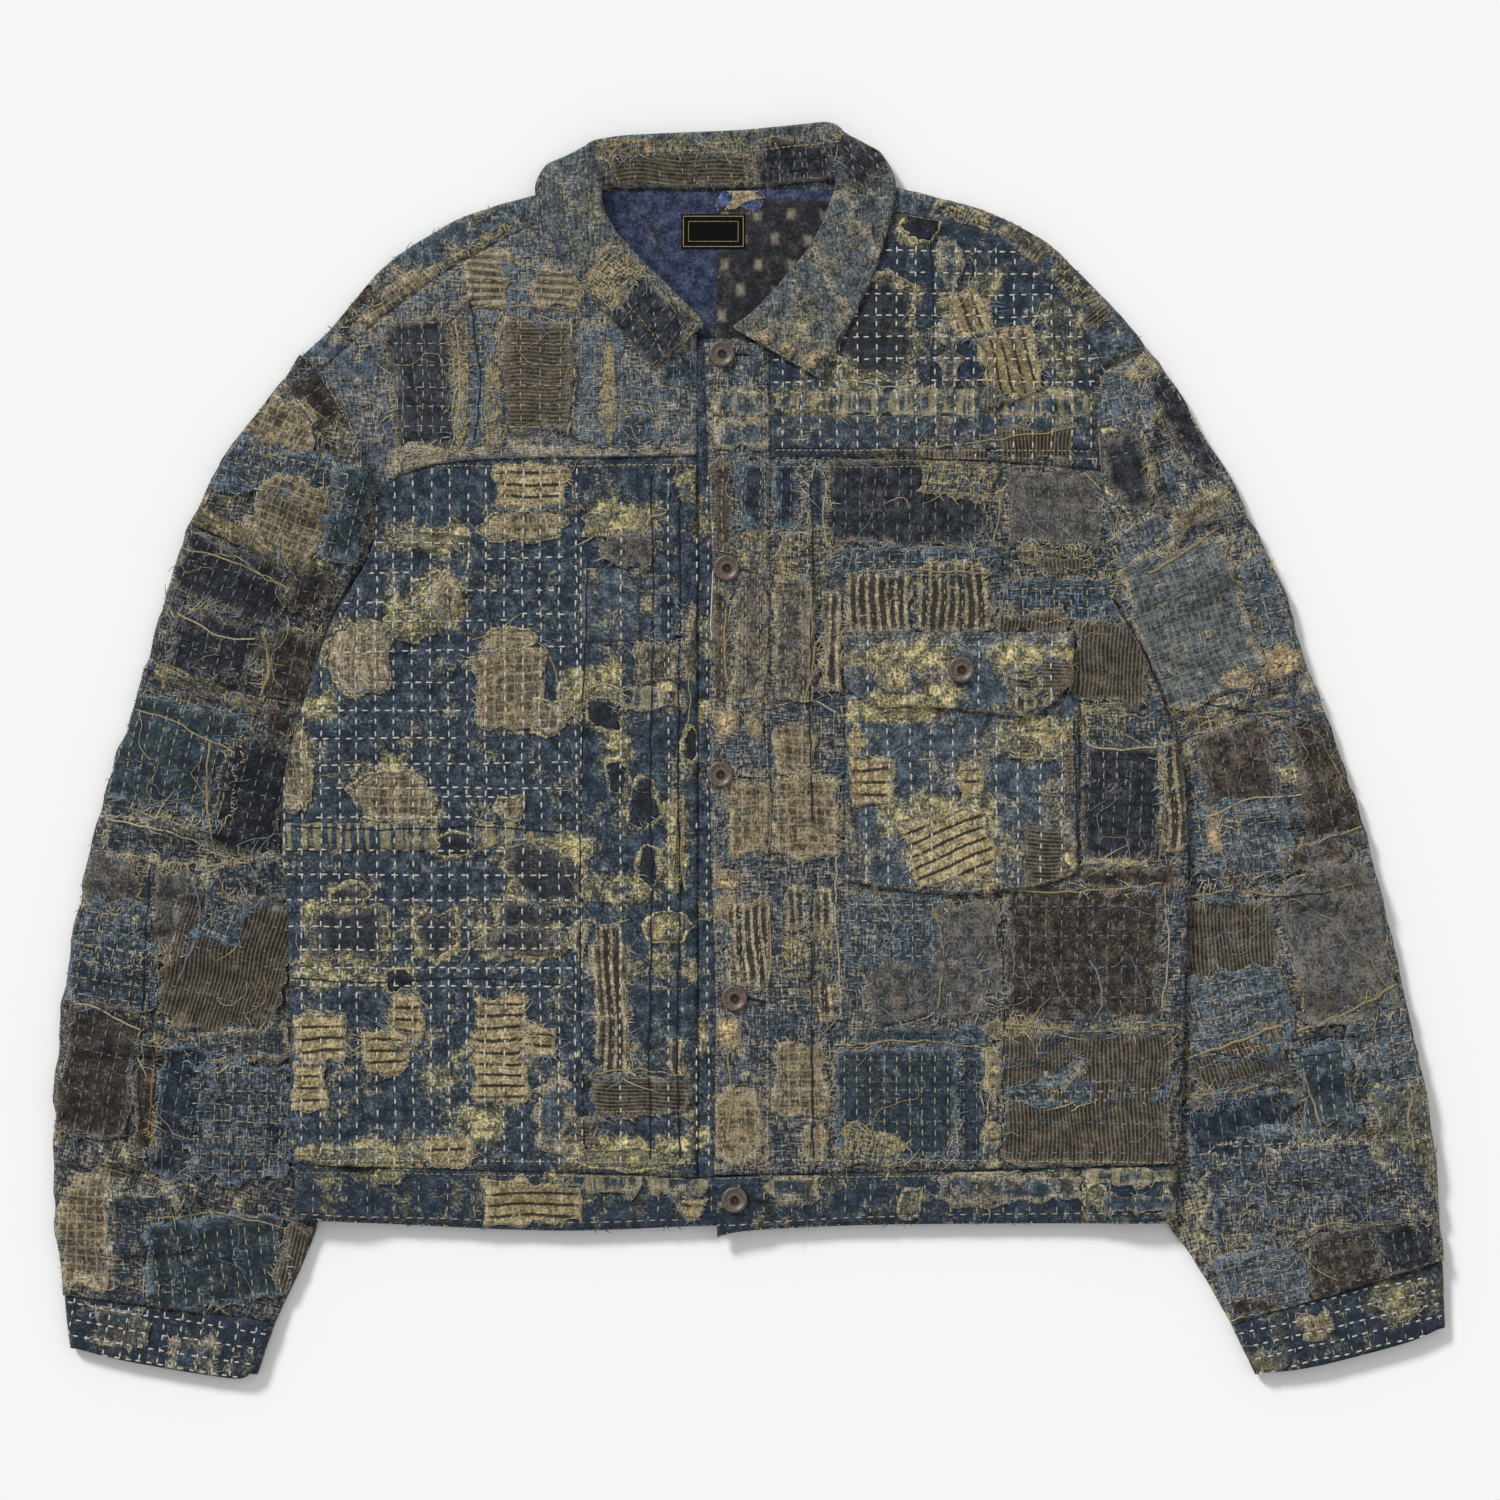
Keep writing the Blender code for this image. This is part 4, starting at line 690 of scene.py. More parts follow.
def worn_threads(n, tones, wear):
    """1 where single threads lie bare, in worn places and along frayed edges."""
    bare = n.step(tones["patchy"], 0.66 - wear * 0.42, 0.78 - wear * 0.42)
    loose = n.step(tones["threads"], 0.55, 0.66)
    edge = n.calc("MULTIPLY_ADD", tones["patchy"], -9.0, n.value("edge"))
    near_edge = n.step(edge, 1.5, -3.5)
    return n.calc("MAXIMUM", n.calc("MULTIPLY", bare, loose),
                  n.calc("MULTIPLY", near_edge, n.step(tones["threads"], 0.44, 0.58)))


def cloth_material(name, cold, warm, aged, thread, wear, mesh, patterns):
    """Worn woven cloth: dyed and faded shades, its pattern, worn threads and frayed edges.

    cold and warm hold the dark, middle and light shade of the dyed and the faded cloth, and
    aged is the share that is faded. wear is the share worn down to loose threads. mesh, from
    0 to 1, is how far single threads stand apart in colour. Each pattern is (axis, period mm,
    width mm, offset mm, colour, strength) for stripes across that axis, ("bars", scale,
    colour, strength) for uneven bars, or (both periods, both sizes, shift, colour, strength)
    for rows of spots.
    """
    n = Nodes(name)
    place = bent_grain(n)
    split = n.tree.nodes.new("ShaderNodeSeparateXYZ")
    n.tree.links.new(place, split.inputs[0])
    axes = {"x": split.outputs[0], "y": split.outputs[1]}
    tones = cloth_noises(n, place)
    fine = tones["fine"]

    colour = dye(n, tones, cold, warm, aged, mesh)
    for pattern in patterns:
        code, strength = pattern[-2:]
        mask = pattern_mask(n, pattern, axes, place, fine)
        colour = n.mix(n.calc("MULTIPLY", mask, strength), colour, linear(code))
    worn = worn_threads(n, tones, wear)
    colour = n.mix(n.calc("MULTIPLY", worn, 0.75), colour, linear(thread))

    weave_x, weave_y = (n.calc("SINE", n.calc("MULTIPLY", axes[axis], 5.2)) for axis in "xy")
    weave = n.calc("MULTIPLY", weave_x, weave_y)
    lit = n.calc("MULTIPLY_ADD", weave, 0.05, 1.0 - 0.5 * (FINE_CONTRAST + CLOUDY_CONTRAST))
    lit = n.calc("MULTIPLY_ADD", fine, FINE_CONTRAST, lit)
    lit = n.calc("MULTIPLY_ADD", tones["cloudy"], CLOUDY_CONTRAST, lit)
    colour = n.add("ShaderNodeVectorMath", {0: colour, "Scale": lit}, operation="SCALE")

    height = n.calc("MULTIPLY_ADD", weave, 0.12, n.calc("MULTIPLY", fine, 0.55))
    height = n.calc("MULTIPLY_ADD", worn, 0.4, height)
    height = n.calc("MULTIPLY_ADD", tones["threads"], 0.6 + 0.8 * mesh, height)
    bump = n.add("ShaderNodeBump", {"Height": height, "Strength": 0.7, "Distance": MILLIMETRE})
    n.tree.links.new(colour, n.shader.inputs["Base Color"])
    n.tree.links.new(bump, n.shader.inputs["Normal"])
    n.tree.links.new(n.calc("MULTIPLY_ADD", fine, 0.2, 0.78), n.shader.inputs["Roughness"])
    n.shader.inputs["Specular IOR Level"].default_value = 0.18
    n.shader.inputs["Sheen Weight"].default_value = 0.10
    n.shader.inputs["Sheen Roughness"].default_value = 0.6
    return n.material


# The shades of bleached cloth, how strongly tones show, and the usual colours of threads
BLEACHED_SHADES = ("66664f", "979068", "cfbf8c")
FINE_CONTRAST, CLOUDY_CONTRAST = 2.1, 1.5
CREAM, GOLD, BLUE_GREY, BROWN_GREY = "b8ab8f", "a0916c", "7b8891", "857d71"
CLOTHS = {
    # name: dyed shades, faded shades, aged, thread, wear, mesh, patterns
    "indigo": ("242f3c 323e4a 48535d", "3d413f 5f5e54 8c846c", 0.14, CREAM, 0.13, 0.1, ()),
    "faded_indigo": ("313c46 414c56 56616a", "4a4840 68645a 8d8673", 0.24, CREAM, 0.25, 0.1, ()),
    "mottled": ("1f2832 353f49 535d67", "3e3c39 5e5b55 8e8677", 0.34, CREAM, 0.28, 1.0, ()),
    "blue_mottled": ("202b36 38434d 56616a", "3b3d3f 5c5c56 857e70", 0.26, BLUE_GREY, 0.4, 1.0, ()),
    "gold_mottled": ("272e36 3e454a 5c6262", "4a453b 736c58 a3956f", 0.47, GOLD, 0.3, 1.0, ()),
    "navy": ("171f28 212a34 323c46", "1f2429 333a3f 545a5b", 0.16, BLUE_GREY, 0.15, 0.3, ()),
    "black": ("17191e 23262c 363a40", "1f2024 2d2e33 4c4b4b", 0.2, BROWN_GREY, 0.05, 0.2, ()),
    "black_hole": ("171a21 1e222a 272c35", "191c22 22262c 2d3136", 0.2, "343b44", 0.1, 0.1, ()),
    "black_check": ("20242a 2a2e34 393d43", "26282b 333639 484948", 0.25, BROWN_GREY, 0.1, 0.3,
                    (("x", 7.5, 1.2, 0.0, "42464b", 0.4), ("y", 7.5, 1.2, 0.0, "42464b", 0.4))),
    "brown": ("241f1d 332d29 47413b", "2a241f 3b332c 574e43", 0.5, BROWN_GREY, 0.1, 0.3, ()),
    "brown_ribs": ("27231e 322d27 403a33", "2b2620 3a342c 4b453c", 0.5, BROWN_GREY, 0.12, 0.2,
                   (("x", 2.5, 0.9, 0.0, "716858", 0.8),)),
    "grey": ("3d3d3c 4d4c4b 5d5c5a", "45423f 55514c 666158", 0.5, BROWN_GREY, 0.12, 0.2, ()),
    "grey_brown": ("353331 454240 5a5652", "423e39 585249 71695d", 0.5, CREAM, 0.15, 0.2, ()),
    "teal": ("233038 2d3a42 3c4750", "313839 414748 5d6160", 0.2, BLUE_GREY, 0.2, 0.2, ()),
    "teal_check": ("233038 2d3a42 3c4750", "313839 414748 5d6160", 0.2, BLUE_GREY, 0.2, 0.2,
                   (("x", 8.6, 1.6, 0.0, "1f2930", 0.55), ("y", 8.6, 1.6, 0.0, "1f2930", 0.55))),
    "fine_check": ("2d353a 3f474c 545b5f", "3f403b 52544c 6f6f65", 0.3, CREAM, 0.2, 0.5,
                   (("x", 4.4, 1.0, 0.0, "7d7f74", 0.45), ("y", 4.4, 1.0, 0.0, "7d7f74", 0.45))),
    "khaki_check": ("3d3d36 524f45 67624f", "4f4638 6b5f4a 877a60", 0.55, CREAM, 0.1, 0.4,
                    (("x", 6.2, 1.3, 0.0, "988b6f", 0.55), ("y", 5.8, 1.3, 0.0, "988b6f", 0.55))),
    "khaki_pale": ("4c4a42 635f53 7a7566", "5f5645 7d7360 9a8e75", 0.6, CREAM, 0.2, 0.6,
                   (("x", 4.6, 1.2, 0.0, "a89b80", 0.5), ("y", 9.2, 1.2, 0.0, "a89b80", 0.4))),
    "khaki_band": ("42413b 59554a 716b5b", "575037 766b50 97896a", 0.55, CREAM, 0.25, 0.6,
                   (("y", 4.2, 1.3, 0.0, "3f392f", 0.5),)),
    "olive": ("30383a 424743 565a54", "434437 5f604d 7a755d", 0.45, CREAM, 0.2, 0.4, ()),
    "beige_lines": ("6e6350 857a61 9c8e72", "7f7152 988a67 b3a27e", 0.7, "bfb08c", 0.15, 0.4,
                    (("y", 7.4, 2.0, 0.0, "2c2721", 0.95),)),
    "beige_dark": ("34312e 423f39 534e46", "3c382f 4d473c 605a4b", 0.5, CREAM, 0.2, 0.3,
                   (("x", 5.2, 2.2, 0.0, "9a8d71", 0.85),)),
    "beige_stripe": ("6e6350 857a61 9c8e72", "7f7152 988a67 b3a27e", 0.7, "bfb08c", 0.15, 0.4,
                     (("x", 6.8, 1.8, 0.0, "2c2822", 0.92),)),
    "dark_beige": ("6f6758 857c69 9a907a", "7a6f59 928569 aca083", 0.6, "b5aa8e", 0.15, 0.4,
                   (("x", 5.8, 3.8, 0.0, "262627", 0.93),)),
    "beige_plain": ("7b705a 96896c ac9e7f", "8c7c5e a79573 bfaf8c", 0.5, "bfb08c", 0.2, 0.6, ()),
    "yellow_worn": ("3d4649 5d5e54 807c66", "6f6950 9c8f67 c3b17f", 0.56, "6f7264", 0.2, 0.6, ()),
    "yellow_bars": ("2d3944 3e4953 525d64", "434239 625f50 8b846a", 0.26, CREAM, 0.2, 0.1,
                    (("bars", 0.16, "9f9570", 0.6),)),
    "cream_worn": ("4b4c4b 736b5d a08c6e", "7b6c54 ad9570 d2b68a", 0.62, "6a6a62", 0.2, 0.9, ()),
    "worn_rim": ("565b56 7b7864 a0967a", "7b7258 a59a70 c3b183", 0.5, CREAM, 0.4, 0.8, ()),
    "collar_fine": ("2d353d 404950 566067", "3b3b37 595951 7a776a", 0.34, CREAM, 0.25, 0.6,
                    (("x", 3.4, 1.0, 0.0, "6f7674", 0.35),)),
    "lining_blue": ("262e47 333b55 3f4762", "272f3e 363c50 484d60", 0.25, "59607a", 0.05, 0.1, ()),
    "lining_bright": ("2b375e 36436f 465480", "333b58 434c70 586085", 0.3, "6d78a0", 0.1, 0.1, ()),
    "ikat": ("202226 292a2f 34363b", "242527 312f32 434040", 0.4, "4b4845", 0.05, 0.1,
             (((21.8, 16.0), (6.0, 7.5), 10.9, "8b8475", 0.85),)),
}


def cloth(name):
    """The named cloth's material, made once."""
    return bpy.data.materials.get(name) or cloth_material(name, *CLOTHS[name])


# Garment pieces

SHELLS = {}  # each node's shell, with its points, faces and cut size

# How much lighter or darker the cloths of a piece are
PIECE_TONES = {
    "sleeve_right": -0.04, "waistband": -0.08, "cuff_right": -0.12, "cuff_left": -0.1,
    "front_yoke_right": 0.08, "front_yoke_left": -0.07, "collar": 0.02, "sleeve_left": 0.03,
    "placket_left": 0.04, "front_right": -0.015,
}


def add_piece(node, grid, thickness, kind, slot, flat, rests_on, relief=0, closed=False,
              gone=None, turn=0):
    """A cut piece's shell. flat is its cut width and length in millimetres."""
    made, points, faces = make_shell(f"{node}_shell", grid, thickness, cloth(kind), relief,
                                     closed, gone, turn, PIECE_TONES.get(node, 0))
    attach(made, "root")
    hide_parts(node)
    areas = cell_areas(np.concatenate([grid, grid[:, :1]], axis=1) if closed else grid)
    area = areas.sum() if gone is None else areas[~gone].sum()
    SHELLS[node] = {"object": made, "points": points, "faces": faces, "flat": flat,
                    "area": area, "rests_on": rests_on, "slot": slot, "extras": []}


def share_at(line, place):
    """The share of a dense line's length at which it passes nearest a place."""
    steps = np.linalg.norm(np.diff(line, axis=0), axis=1)
    length = np.concatenate([[0], np.cumsum(steps)])
    nearest = np.linalg.norm(line - np.asarray(place), axis=1).argmin()
    return length[nearest] / length[-1]


def front_columns(side, outer_x):
    """The x of a front's columns: close together at the pleats, evenly spaced further out."""
    right = side == "right"
    folds = [x for fold_x, raised, _ in PLEATS if (fold_x < 0) == right
             for x in (fold_x - raised * PLEAT_STEP, fold_x)]
    if right:
        fine_end = -104
        fine = np.arange(fine_end, FRONT_EDGE_RIGHT_X + 0.1, 2.5)
        fine = np.unique(np.concatenate([fine, [FRONT_EDGE_RIGHT_X], folds]))
        return np.concatenate([np.linspace(outer_x, fine_end, 54)[:-1], fine])
    fine_end = 90
    fine = np.unique(np.concatenate([np.arange(FRONT_EDGE_LEFT_X, fine_end, 2.6), folds]))
    return np.concatenate([fine, np.linspace(fine_end, outer_x, 54)])


def make_fronts():
    rows = 150
    for side, edge, armhole, seam, kind in (
        ("right", SIDE_RIGHT, ARMHOLE_RIGHT, YOKE_SEAM_RIGHT, "indigo"),
        ("left", SIDE_LEFT, ARMHOLE_LEFT, YOKE_SEAM_LEFT, "mottled"),
    ):
        meeting = seam[0] if side == "right" else seam[-1]
        line = np.vstack([curve(edge), curve(armhole[::-1])[1:]])
        outer = along(line, np.linspace(0, share_at(line, meeting), rows))
        bottom_x, top_x = front_columns(side, outer[0][0]), front_columns(side, meeting[0])
        bottom = np.column_stack([bottom_x, waist_y(bottom_x)])
        top = np.column_stack([top_x, edge_y(seam)(top_x)])
        top[0 if side == "right" else -1] = outer[-1]
        k = -1 if side == "right" else 0
        inner = bottom[k] + (top[k] - bottom[k]) * np.linspace(0, 1, rows)[:, None]
        across = (bottom_x - bottom_x[0]) / (bottom_x[-1] - bottom_x[0])
        edges = (outer, inner) if side == "right" else (inner, outer)
        grid = coons(bottom, top, *edges, across)
        x, y = grid[..., 0], grid[..., 1]
        bare = 1 - 0.75 * under_pocket(x, y)
        add_piece(f"front_{side}", with_z(grid, front_mid(x, y)), CLOTH, kind,
                  "indigo_cloth" if side == "right" else "patched_cloth",
                  (266, 462), ["back"], relief=front_relief(x, y) * bare)


def under_pocket(x, y):
    """1 where the pocket and its flap cover the front."""
    across = smooth((x - 58) / 6) * smooth((214 - x) / 6)
    return across * smooth((y + 92) / 6) * smooth((80 - y) / 4)


def make_front_yokes():
    rows, columns, neck_columns = 30, 50, 22
    for side, armhole, shoulder, seam, neckline, inner_x, kind in (
        ("right", ARMHOLE_RIGHT, SHOULDER_SEAM_RIGHT, YOKE_SEAM_RIGHT, NECKLINE_RIGHT,
         FRONT_EDGE_RIGHT_X, "mottled"),
        ("left", ARMHOLE_LEFT, SHOULDER_SEAM_LEFT, YOKE_SEAM_LEFT, NECKLINE_LEFT,
         FRONT_EDGE_LEFT_X, "indigo"),
    ):
        meeting = seam[0] if side == "right" else seam[-1]
        line = curve(armhole)
        shares = (share_at(line, shoulder[0]), share_at(line, meeting))
        outer = along(line, np.linspace(*shares[::-1], rows))
        seam_x = np.linspace(meeting[0], inner_x, columns + neck_columns)
        bottom = np.column_stack([seam_x, edge_y(seam)(seam_x)])
        neck = along(curve(neckline[::-1]), np.linspace(0, 1, neck_columns + 1))
        top = np.vstack([along(curve(shoulder), np.linspace(0, 1, columns)), neck[1:]])
        inner = bottom[-1] + (top[-1] - bottom[-1]) * np.linspace(0, 1, rows)[:, None]
        grid = coons(bottom, top, outer, inner)
        if side == "left":
            grid = grid[:, ::-1]
        x, y = grid[..., 0], grid[..., 1]
        add_piece(f"front_yoke_{side}", with_z(grid, front_mid(x, y)), CLOTH, kind,
                  "patched_cloth" if side == "right" else "indigo_cloth",
                  (240, 172), ["back_yoke"], relief=front_relief(x, y) + 0.3)


def make_back():
    """The lower back panel, from the waist seam to the back yoke's seam."""
    rows, columns = 84, 100
    edges = []
    for side, armhole in ((SIDE_RIGHT, ARMHOLE_RIGHT), (SIDE_LEFT, ARMHOLE_LEFT)):
        line = np.vstack([curve(side), curve(armhole[::-1])[1:]])
        stop = share_at(line, (edge_x(armhole)(BACK_YOKE_SEAM_Y), BACK_YOKE_SEAM_Y))
        edges.append(along(line, np.linspace(0, stop, rows)))
    right, left = edges
    bottom_x = np.linspace(right[0][0], left[0][0], columns)
    bottom = np.column_stack([bottom_x, waist_y(bottom_x)])
    top = right[-1] + (left[-1] - right[-1]) * np.linspace(0, 1, columns)[:, None]
    grid = coons(bottom, top, right, left)
    x, y = grid[..., 0], grid[..., 1]
    add_piece("back", with_z(grid, back_mid(x, y)), CLOTH, "indigo", "indigo_cloth",
              (580, 472), ["sleeve_right", "sleeve_left"])


def make_back_yoke():
    """The back yoke, which folds over both shoulders to the seams on the front."""
    shoulder, neck, rows, turn = 46, 42, 34, 6
    shares = np.linspace(0, 1, shoulder)
    neckline = along(curve(BACK_NECKLINE), np.linspace(0, 1, neck))[1:-1]
    crest, seam = (
        np.vstack([along(curve(right), shares), neckline, along(curve(left[::-1]), shares)])
        for right, left in ((SHOULDER_TOP_RIGHT, SHOULDER_TOP_LEFT),
                            (SHOULDER_SEAM_RIGHT, SHOULDER_SEAM_LEFT))
    )
    radius = (FRONT_Z - BACK_Z) / 2
    gap = np.linalg.norm(crest - seam, axis=1)[:, None]
    away = np.where(gap > 1, (crest - seam) / np.maximum(gap, 1), 0)
    crest_in = crest - away * (radius + CLOTH / 2)
    edges = []
    for armhole, end in ((ARMHOLE_RIGHT, crest_in[0]), (ARMHOLE_LEFT, crest_in[-1])):
        line = curve(armhole)
        stop = share_at(line, (edge_x(armhole)(BACK_YOKE_SEAM_Y), BACK_YOKE_SEAM_Y))
        edge = along(line, np.linspace(stop, 0, rows))
        edge[-1] = end
        edges.append(edge)
    across = (crest_in[:, 0] - crest_in[0, 0]) / (crest_in[-1, 0] - crest_in[0, 0])
    low = edges[0][0] + (edges[1][0] - edges[0][0]) * across[:, None]
    under = coons(low, crest_in, edges[0], edges[1], across)
    layers = [with_z(under, BACK_Z)]
    for k in range(1, turn + 1):
        angle = math.pi * k / turn
        ring = crest_in + away * radius * math.sin(angle)
        layers.append(with_z(ring[None], BACK_Z + radius * (1 - math.cos(angle))))
    for step in np.linspace(0, 1, 9)[1:]:
        ring = crest_in + (seam - crest_in) * step * (1 - SEAM_GAP / np.maximum(gap, 1))
        layers.append(with_z(ring[None], front_mid(ring[:, 0], ring[:, 1])[None]))
    grid = np.concatenate(layers)[:, ::-1]
    cells = np.zeros((grid.shape[0] - 1, grid.shape[1] - 1), bool)
    cells[rows - 1:, shoulder - 1:shoulder + neck - 2] = True
    x, y = grid[..., 0], grid[..., 1]
    rise = smooth((grid[..., 2] - BACK_Z - 2) / 3)
    add_piece("back_yoke", grid, CLOTH, "faded_indigo", "patched_cloth", (560, 230),
              ["sleeve_right", "sleeve_left"], relief=(puckers(x, y) + 0.3) * rise, gone=cells)


def tube_ring(a, b, top_bow, bottom_bow, shares, pressed):
    """One ring round a flattened sleeve, from its outer edge a over the top to its inner edge b.

    pressed flattens the inner side, which lies under the body.
    """
    width = np.linalg.norm(b - a)
    outer_radius = (SLEEVE_TOP_Z - BACK_Z) / 2
    inner_top = SLEEVE_EDGE_TOP_Z if pressed else SLEEVE_TOP_Z
    inner_radius = (inner_top - BACK_Z) / 2
    first = (outer_radius + CLOTH / 2) / width
    last = 1 - (inner_radius + CLOTH / 2) / width
    s = first + (last - first) * shares
    upper = a + (b - a) * s[:, None] + top_bow
    lower = a + (b - a) * s[:, None] + bottom_bow
    from_inner = (1 - s) * width
    swell = smooth((from_inner - SLEEVE_PRESSED) / SLEEVE_SWELL) if pressed else np.ones(len(s))
    ends = smooth(np.minimum(s - first, last - s) * width / 16)
    x, y = upper.T
    z = inner_top + (SLEEVE_TOP_Z - inner_top) * swell + creases(x, y) * swell * ends

    def turned(centre, edge, radius, start):
        reach = max(np.linalg.norm(edge - centre), 1e-6)
        angle = start + math.pi * np.arange(1, 6) / 6
        place = centre + (edge - centre) * (radius * np.abs(np.sin(angle)) / reach)[:, None]
        return np.column_stack([place, BACK_Z + radius * (1 + np.cos(angle))])

    return np.vstack([
        np.column_stack([upper, z]),
        turned(upper[-1], b, inner_radius, 0),
        np.column_stack([lower, np.full(len(lower), BACK_Z)])[::-1],
        turned(lower[0], a, outer_radius, math.pi),
    ])


def bow(line, shares):
    """How far a dense line's points stand off its chord."""
    return along(line, shares) - (line[0] + (line[-1] - line[0]) * shares[:, None])


def make_sleeves():
    shares = np.linspace(0, 1, 46)
    for side, outer, inner, armhole in (
        ("right", SLEEVE_OUTER_RIGHT, SLEEVE_INNER_RIGHT, ARMHOLE_RIGHT),
        ("left", SLEEVE_OUTER_LEFT, SLEEVE_INNER_LEFT, ARMHOLE_LEFT),
    ):
        t = np.linspace(0, 1, 190)
        stand_off = bow(curve(armhole), shares)
        rings = []
        for share, a, b in zip(t, along(curve(outer), t), along(curve(inner), t)):
            fade = 1 - smooth(share / 0.4)
            rings.append(tube_ring(a, b, stand_off * fade, stand_off * fade, shares, True))
        grid = np.array(rings)
        shift = grid[1, :, :2] - grid[0, :, :2]
        length = np.maximum(np.linalg.norm(shift, axis=1, keepdims=True), 0.1)
        grid[0, :, :2] += shift * np.minimum(ARMHOLE_GAP / length, 0.9)
        if side == "right":
            grid = grid[:, ::-1]
        x, y = grid[..., 0], grid[..., 1]
        rise = smooth((grid[..., 2] - BACK_Z - 1) / 3)
        relief = (sleeve_creases(x, y) + puckers(x, y)) * rise
        add_piece(f"sleeve_{side}", grid, CLOTH, "mottled", "patched_cloth", (372, 642),
                  [], relief=relief, closed=True,
                  turn=-SLEEVE_GRAIN if side == "right" else SLEEVE_GRAIN)


def make_cuffs():
    shares = np.linspace(0, 1, 44)
    for side, outer, inner, end in (
        ("right", SLEEVE_OUTER_RIGHT, SLEEVE_INNER_RIGHT, CUFF_END_RIGHT),
        ("left", SLEEVE_OUTER_LEFT, SLEEVE_INNER_LEFT, CUFF_END_LEFT),
    ):
        stand_off = bow(curve(end), shares)
        starts = (np.array(outer[-1], float), np.array(inner[-1], float))
        ends = (np.array(end[0], float), np.array(end[-1], float))
        rings = []
        for step in np.linspace(0, 1, 13):
            a, b = (p + (q - p) * step for p, q in zip(starts, ends))
            rings.append(tube_ring(a, b, stand_off * step, stand_off * step, shares, False))
        grid = np.array(rings)
        if side == "right":
            grid = grid[:, ::-1]
        x, y = grid[..., 0], grid[..., 1]
        rise = smooth((grid[..., 2] - BACK_Z - 1) / 3)
        add_piece(f"cuff_{side}", grid, CLOTH, "indigo", "indigo_cloth", (330, 40), [],
                  relief=(0.7 * puckers(x, y) + 0.4) * rise, closed=True,
                  turn=-SLEEVE_GRAIN if side == "right" else SLEEVE_GRAIN)


def make_plackets():
    rows, under_columns = 170, 12
    x = np.linspace(FRONT_EDGE_RIGHT_X, PLACKET_UNDER_X, under_columns)
    bottom = np.column_stack([x, waist_y(x)])
    top = np.column_stack([x, np.full(under_columns, PLACKET_TOP_Y)])
    grid = bottom[None] + (top - bottom)[None] * np.linspace(0, 1, rows)[:, None, None]
    add_piece("placket_right", with_z(grid, FRONT_Z), CLOTH, "indigo", "indigo_cloth",
              (36, 536), ["back"])
    edges = np.array(PLACKET_EDGES[::-1], float)
    y = np.linspace(waist_y(OVERLAP_DOWN_X), edges[-1, 0], rows)
    free, sewn = (np.interp(y, curve(edges)[:, 0], curve(edges)[:, k]) for k in (1, 2))
    shares = np.linspace(0, 1, 18)
    x = free[:, None] + (sewn - free)[:, None] * shares[None]
    grid = np.dstack([x, np.broadcast_to(y[:, None], x.shape)])
    x, y = grid[..., 0], grid[..., 1]
    wavy = puckers(x, y) * 0.8 + 0.1
    add_piece("placket_left", with_z(grid, overlap_mid(x, y)), CLOTH, "mottled",
              "patched_cloth", (46, 532), ["placket_right", "front_left"], relief=wavy)


def make_waistband():
    """One strip from the right front's end, round the sides and the back, to the left's."""
    rows, turn_steps = 13, 8
    share = np.linspace(0, 1, rows)
    stations, shown = [], []

    def heights(x, low):
        return low + (waist_y(x) - WAIST_GAP - low) * share

    def station(x, low, z_of, relief_share):
        y = heights(x, low)
        stations.append(np.column_stack([np.full(rows, x), y, z_of(np.full(rows, x), y)]))
        shown.append(relief_share)

    def round_side(out, edge):
        inner_x = edge - out * 4
        for k in range(turn_steps + 1):
            angle = math.pi * (k if out < 0 else turn_steps - k) / turn_steps
            y = heights(edge, WAISTBAND_BOTTOM_BACK_Y)
            high = front_mid(np.full(rows, inner_x), y)
            low = back_mid(np.full(rows, inner_x), y)
            radius = (high - low) / 2
            stations.append(np.column_stack([inner_x + out * radius * math.sin(angle), y,
                                             (high + low) / 2 + radius * math.cos(angle)]))
            shown.append(0.5)

    low_front, low_over = edge_y(WAISTBAND_BOTTOM_FRONT), edge_y(WAISTBAND_BOTTOM_OVER)
    for x in np.linspace(PLACKET_UNDER_X, -281, 95):
        station(x, low_front(x), front_mid, 0.0 if x > -28 else 1.0)
    round_side(-1, WAIST_SEAM[0][0])
    for x in np.linspace(-281, 262, 120):
        station(x, WAISTBAND_BOTTOM_BACK_Y, back_mid, 0.0)
    round_side(1, WAIST_SEAM[-1][0])
    for x in np.linspace(262, WAISTBAND_BOTTOM_OVER[-1][0], 96):
        station(x, low_over(x), front_mid if x > OVERLAP_DOWN_X else overlap_mid, 1.0)
    grid = np.stack(stations, axis=1)[:, ::-1]
    x, y = grid[..., 0], grid[..., 1]
    add_piece("waistband", grid, CLOTH, "indigo", "indigo_cloth", (1170, 37), [],
              relief=(0.7 * puckers(x, y) + 0.3) * np.array(shown)[None, ::-1])


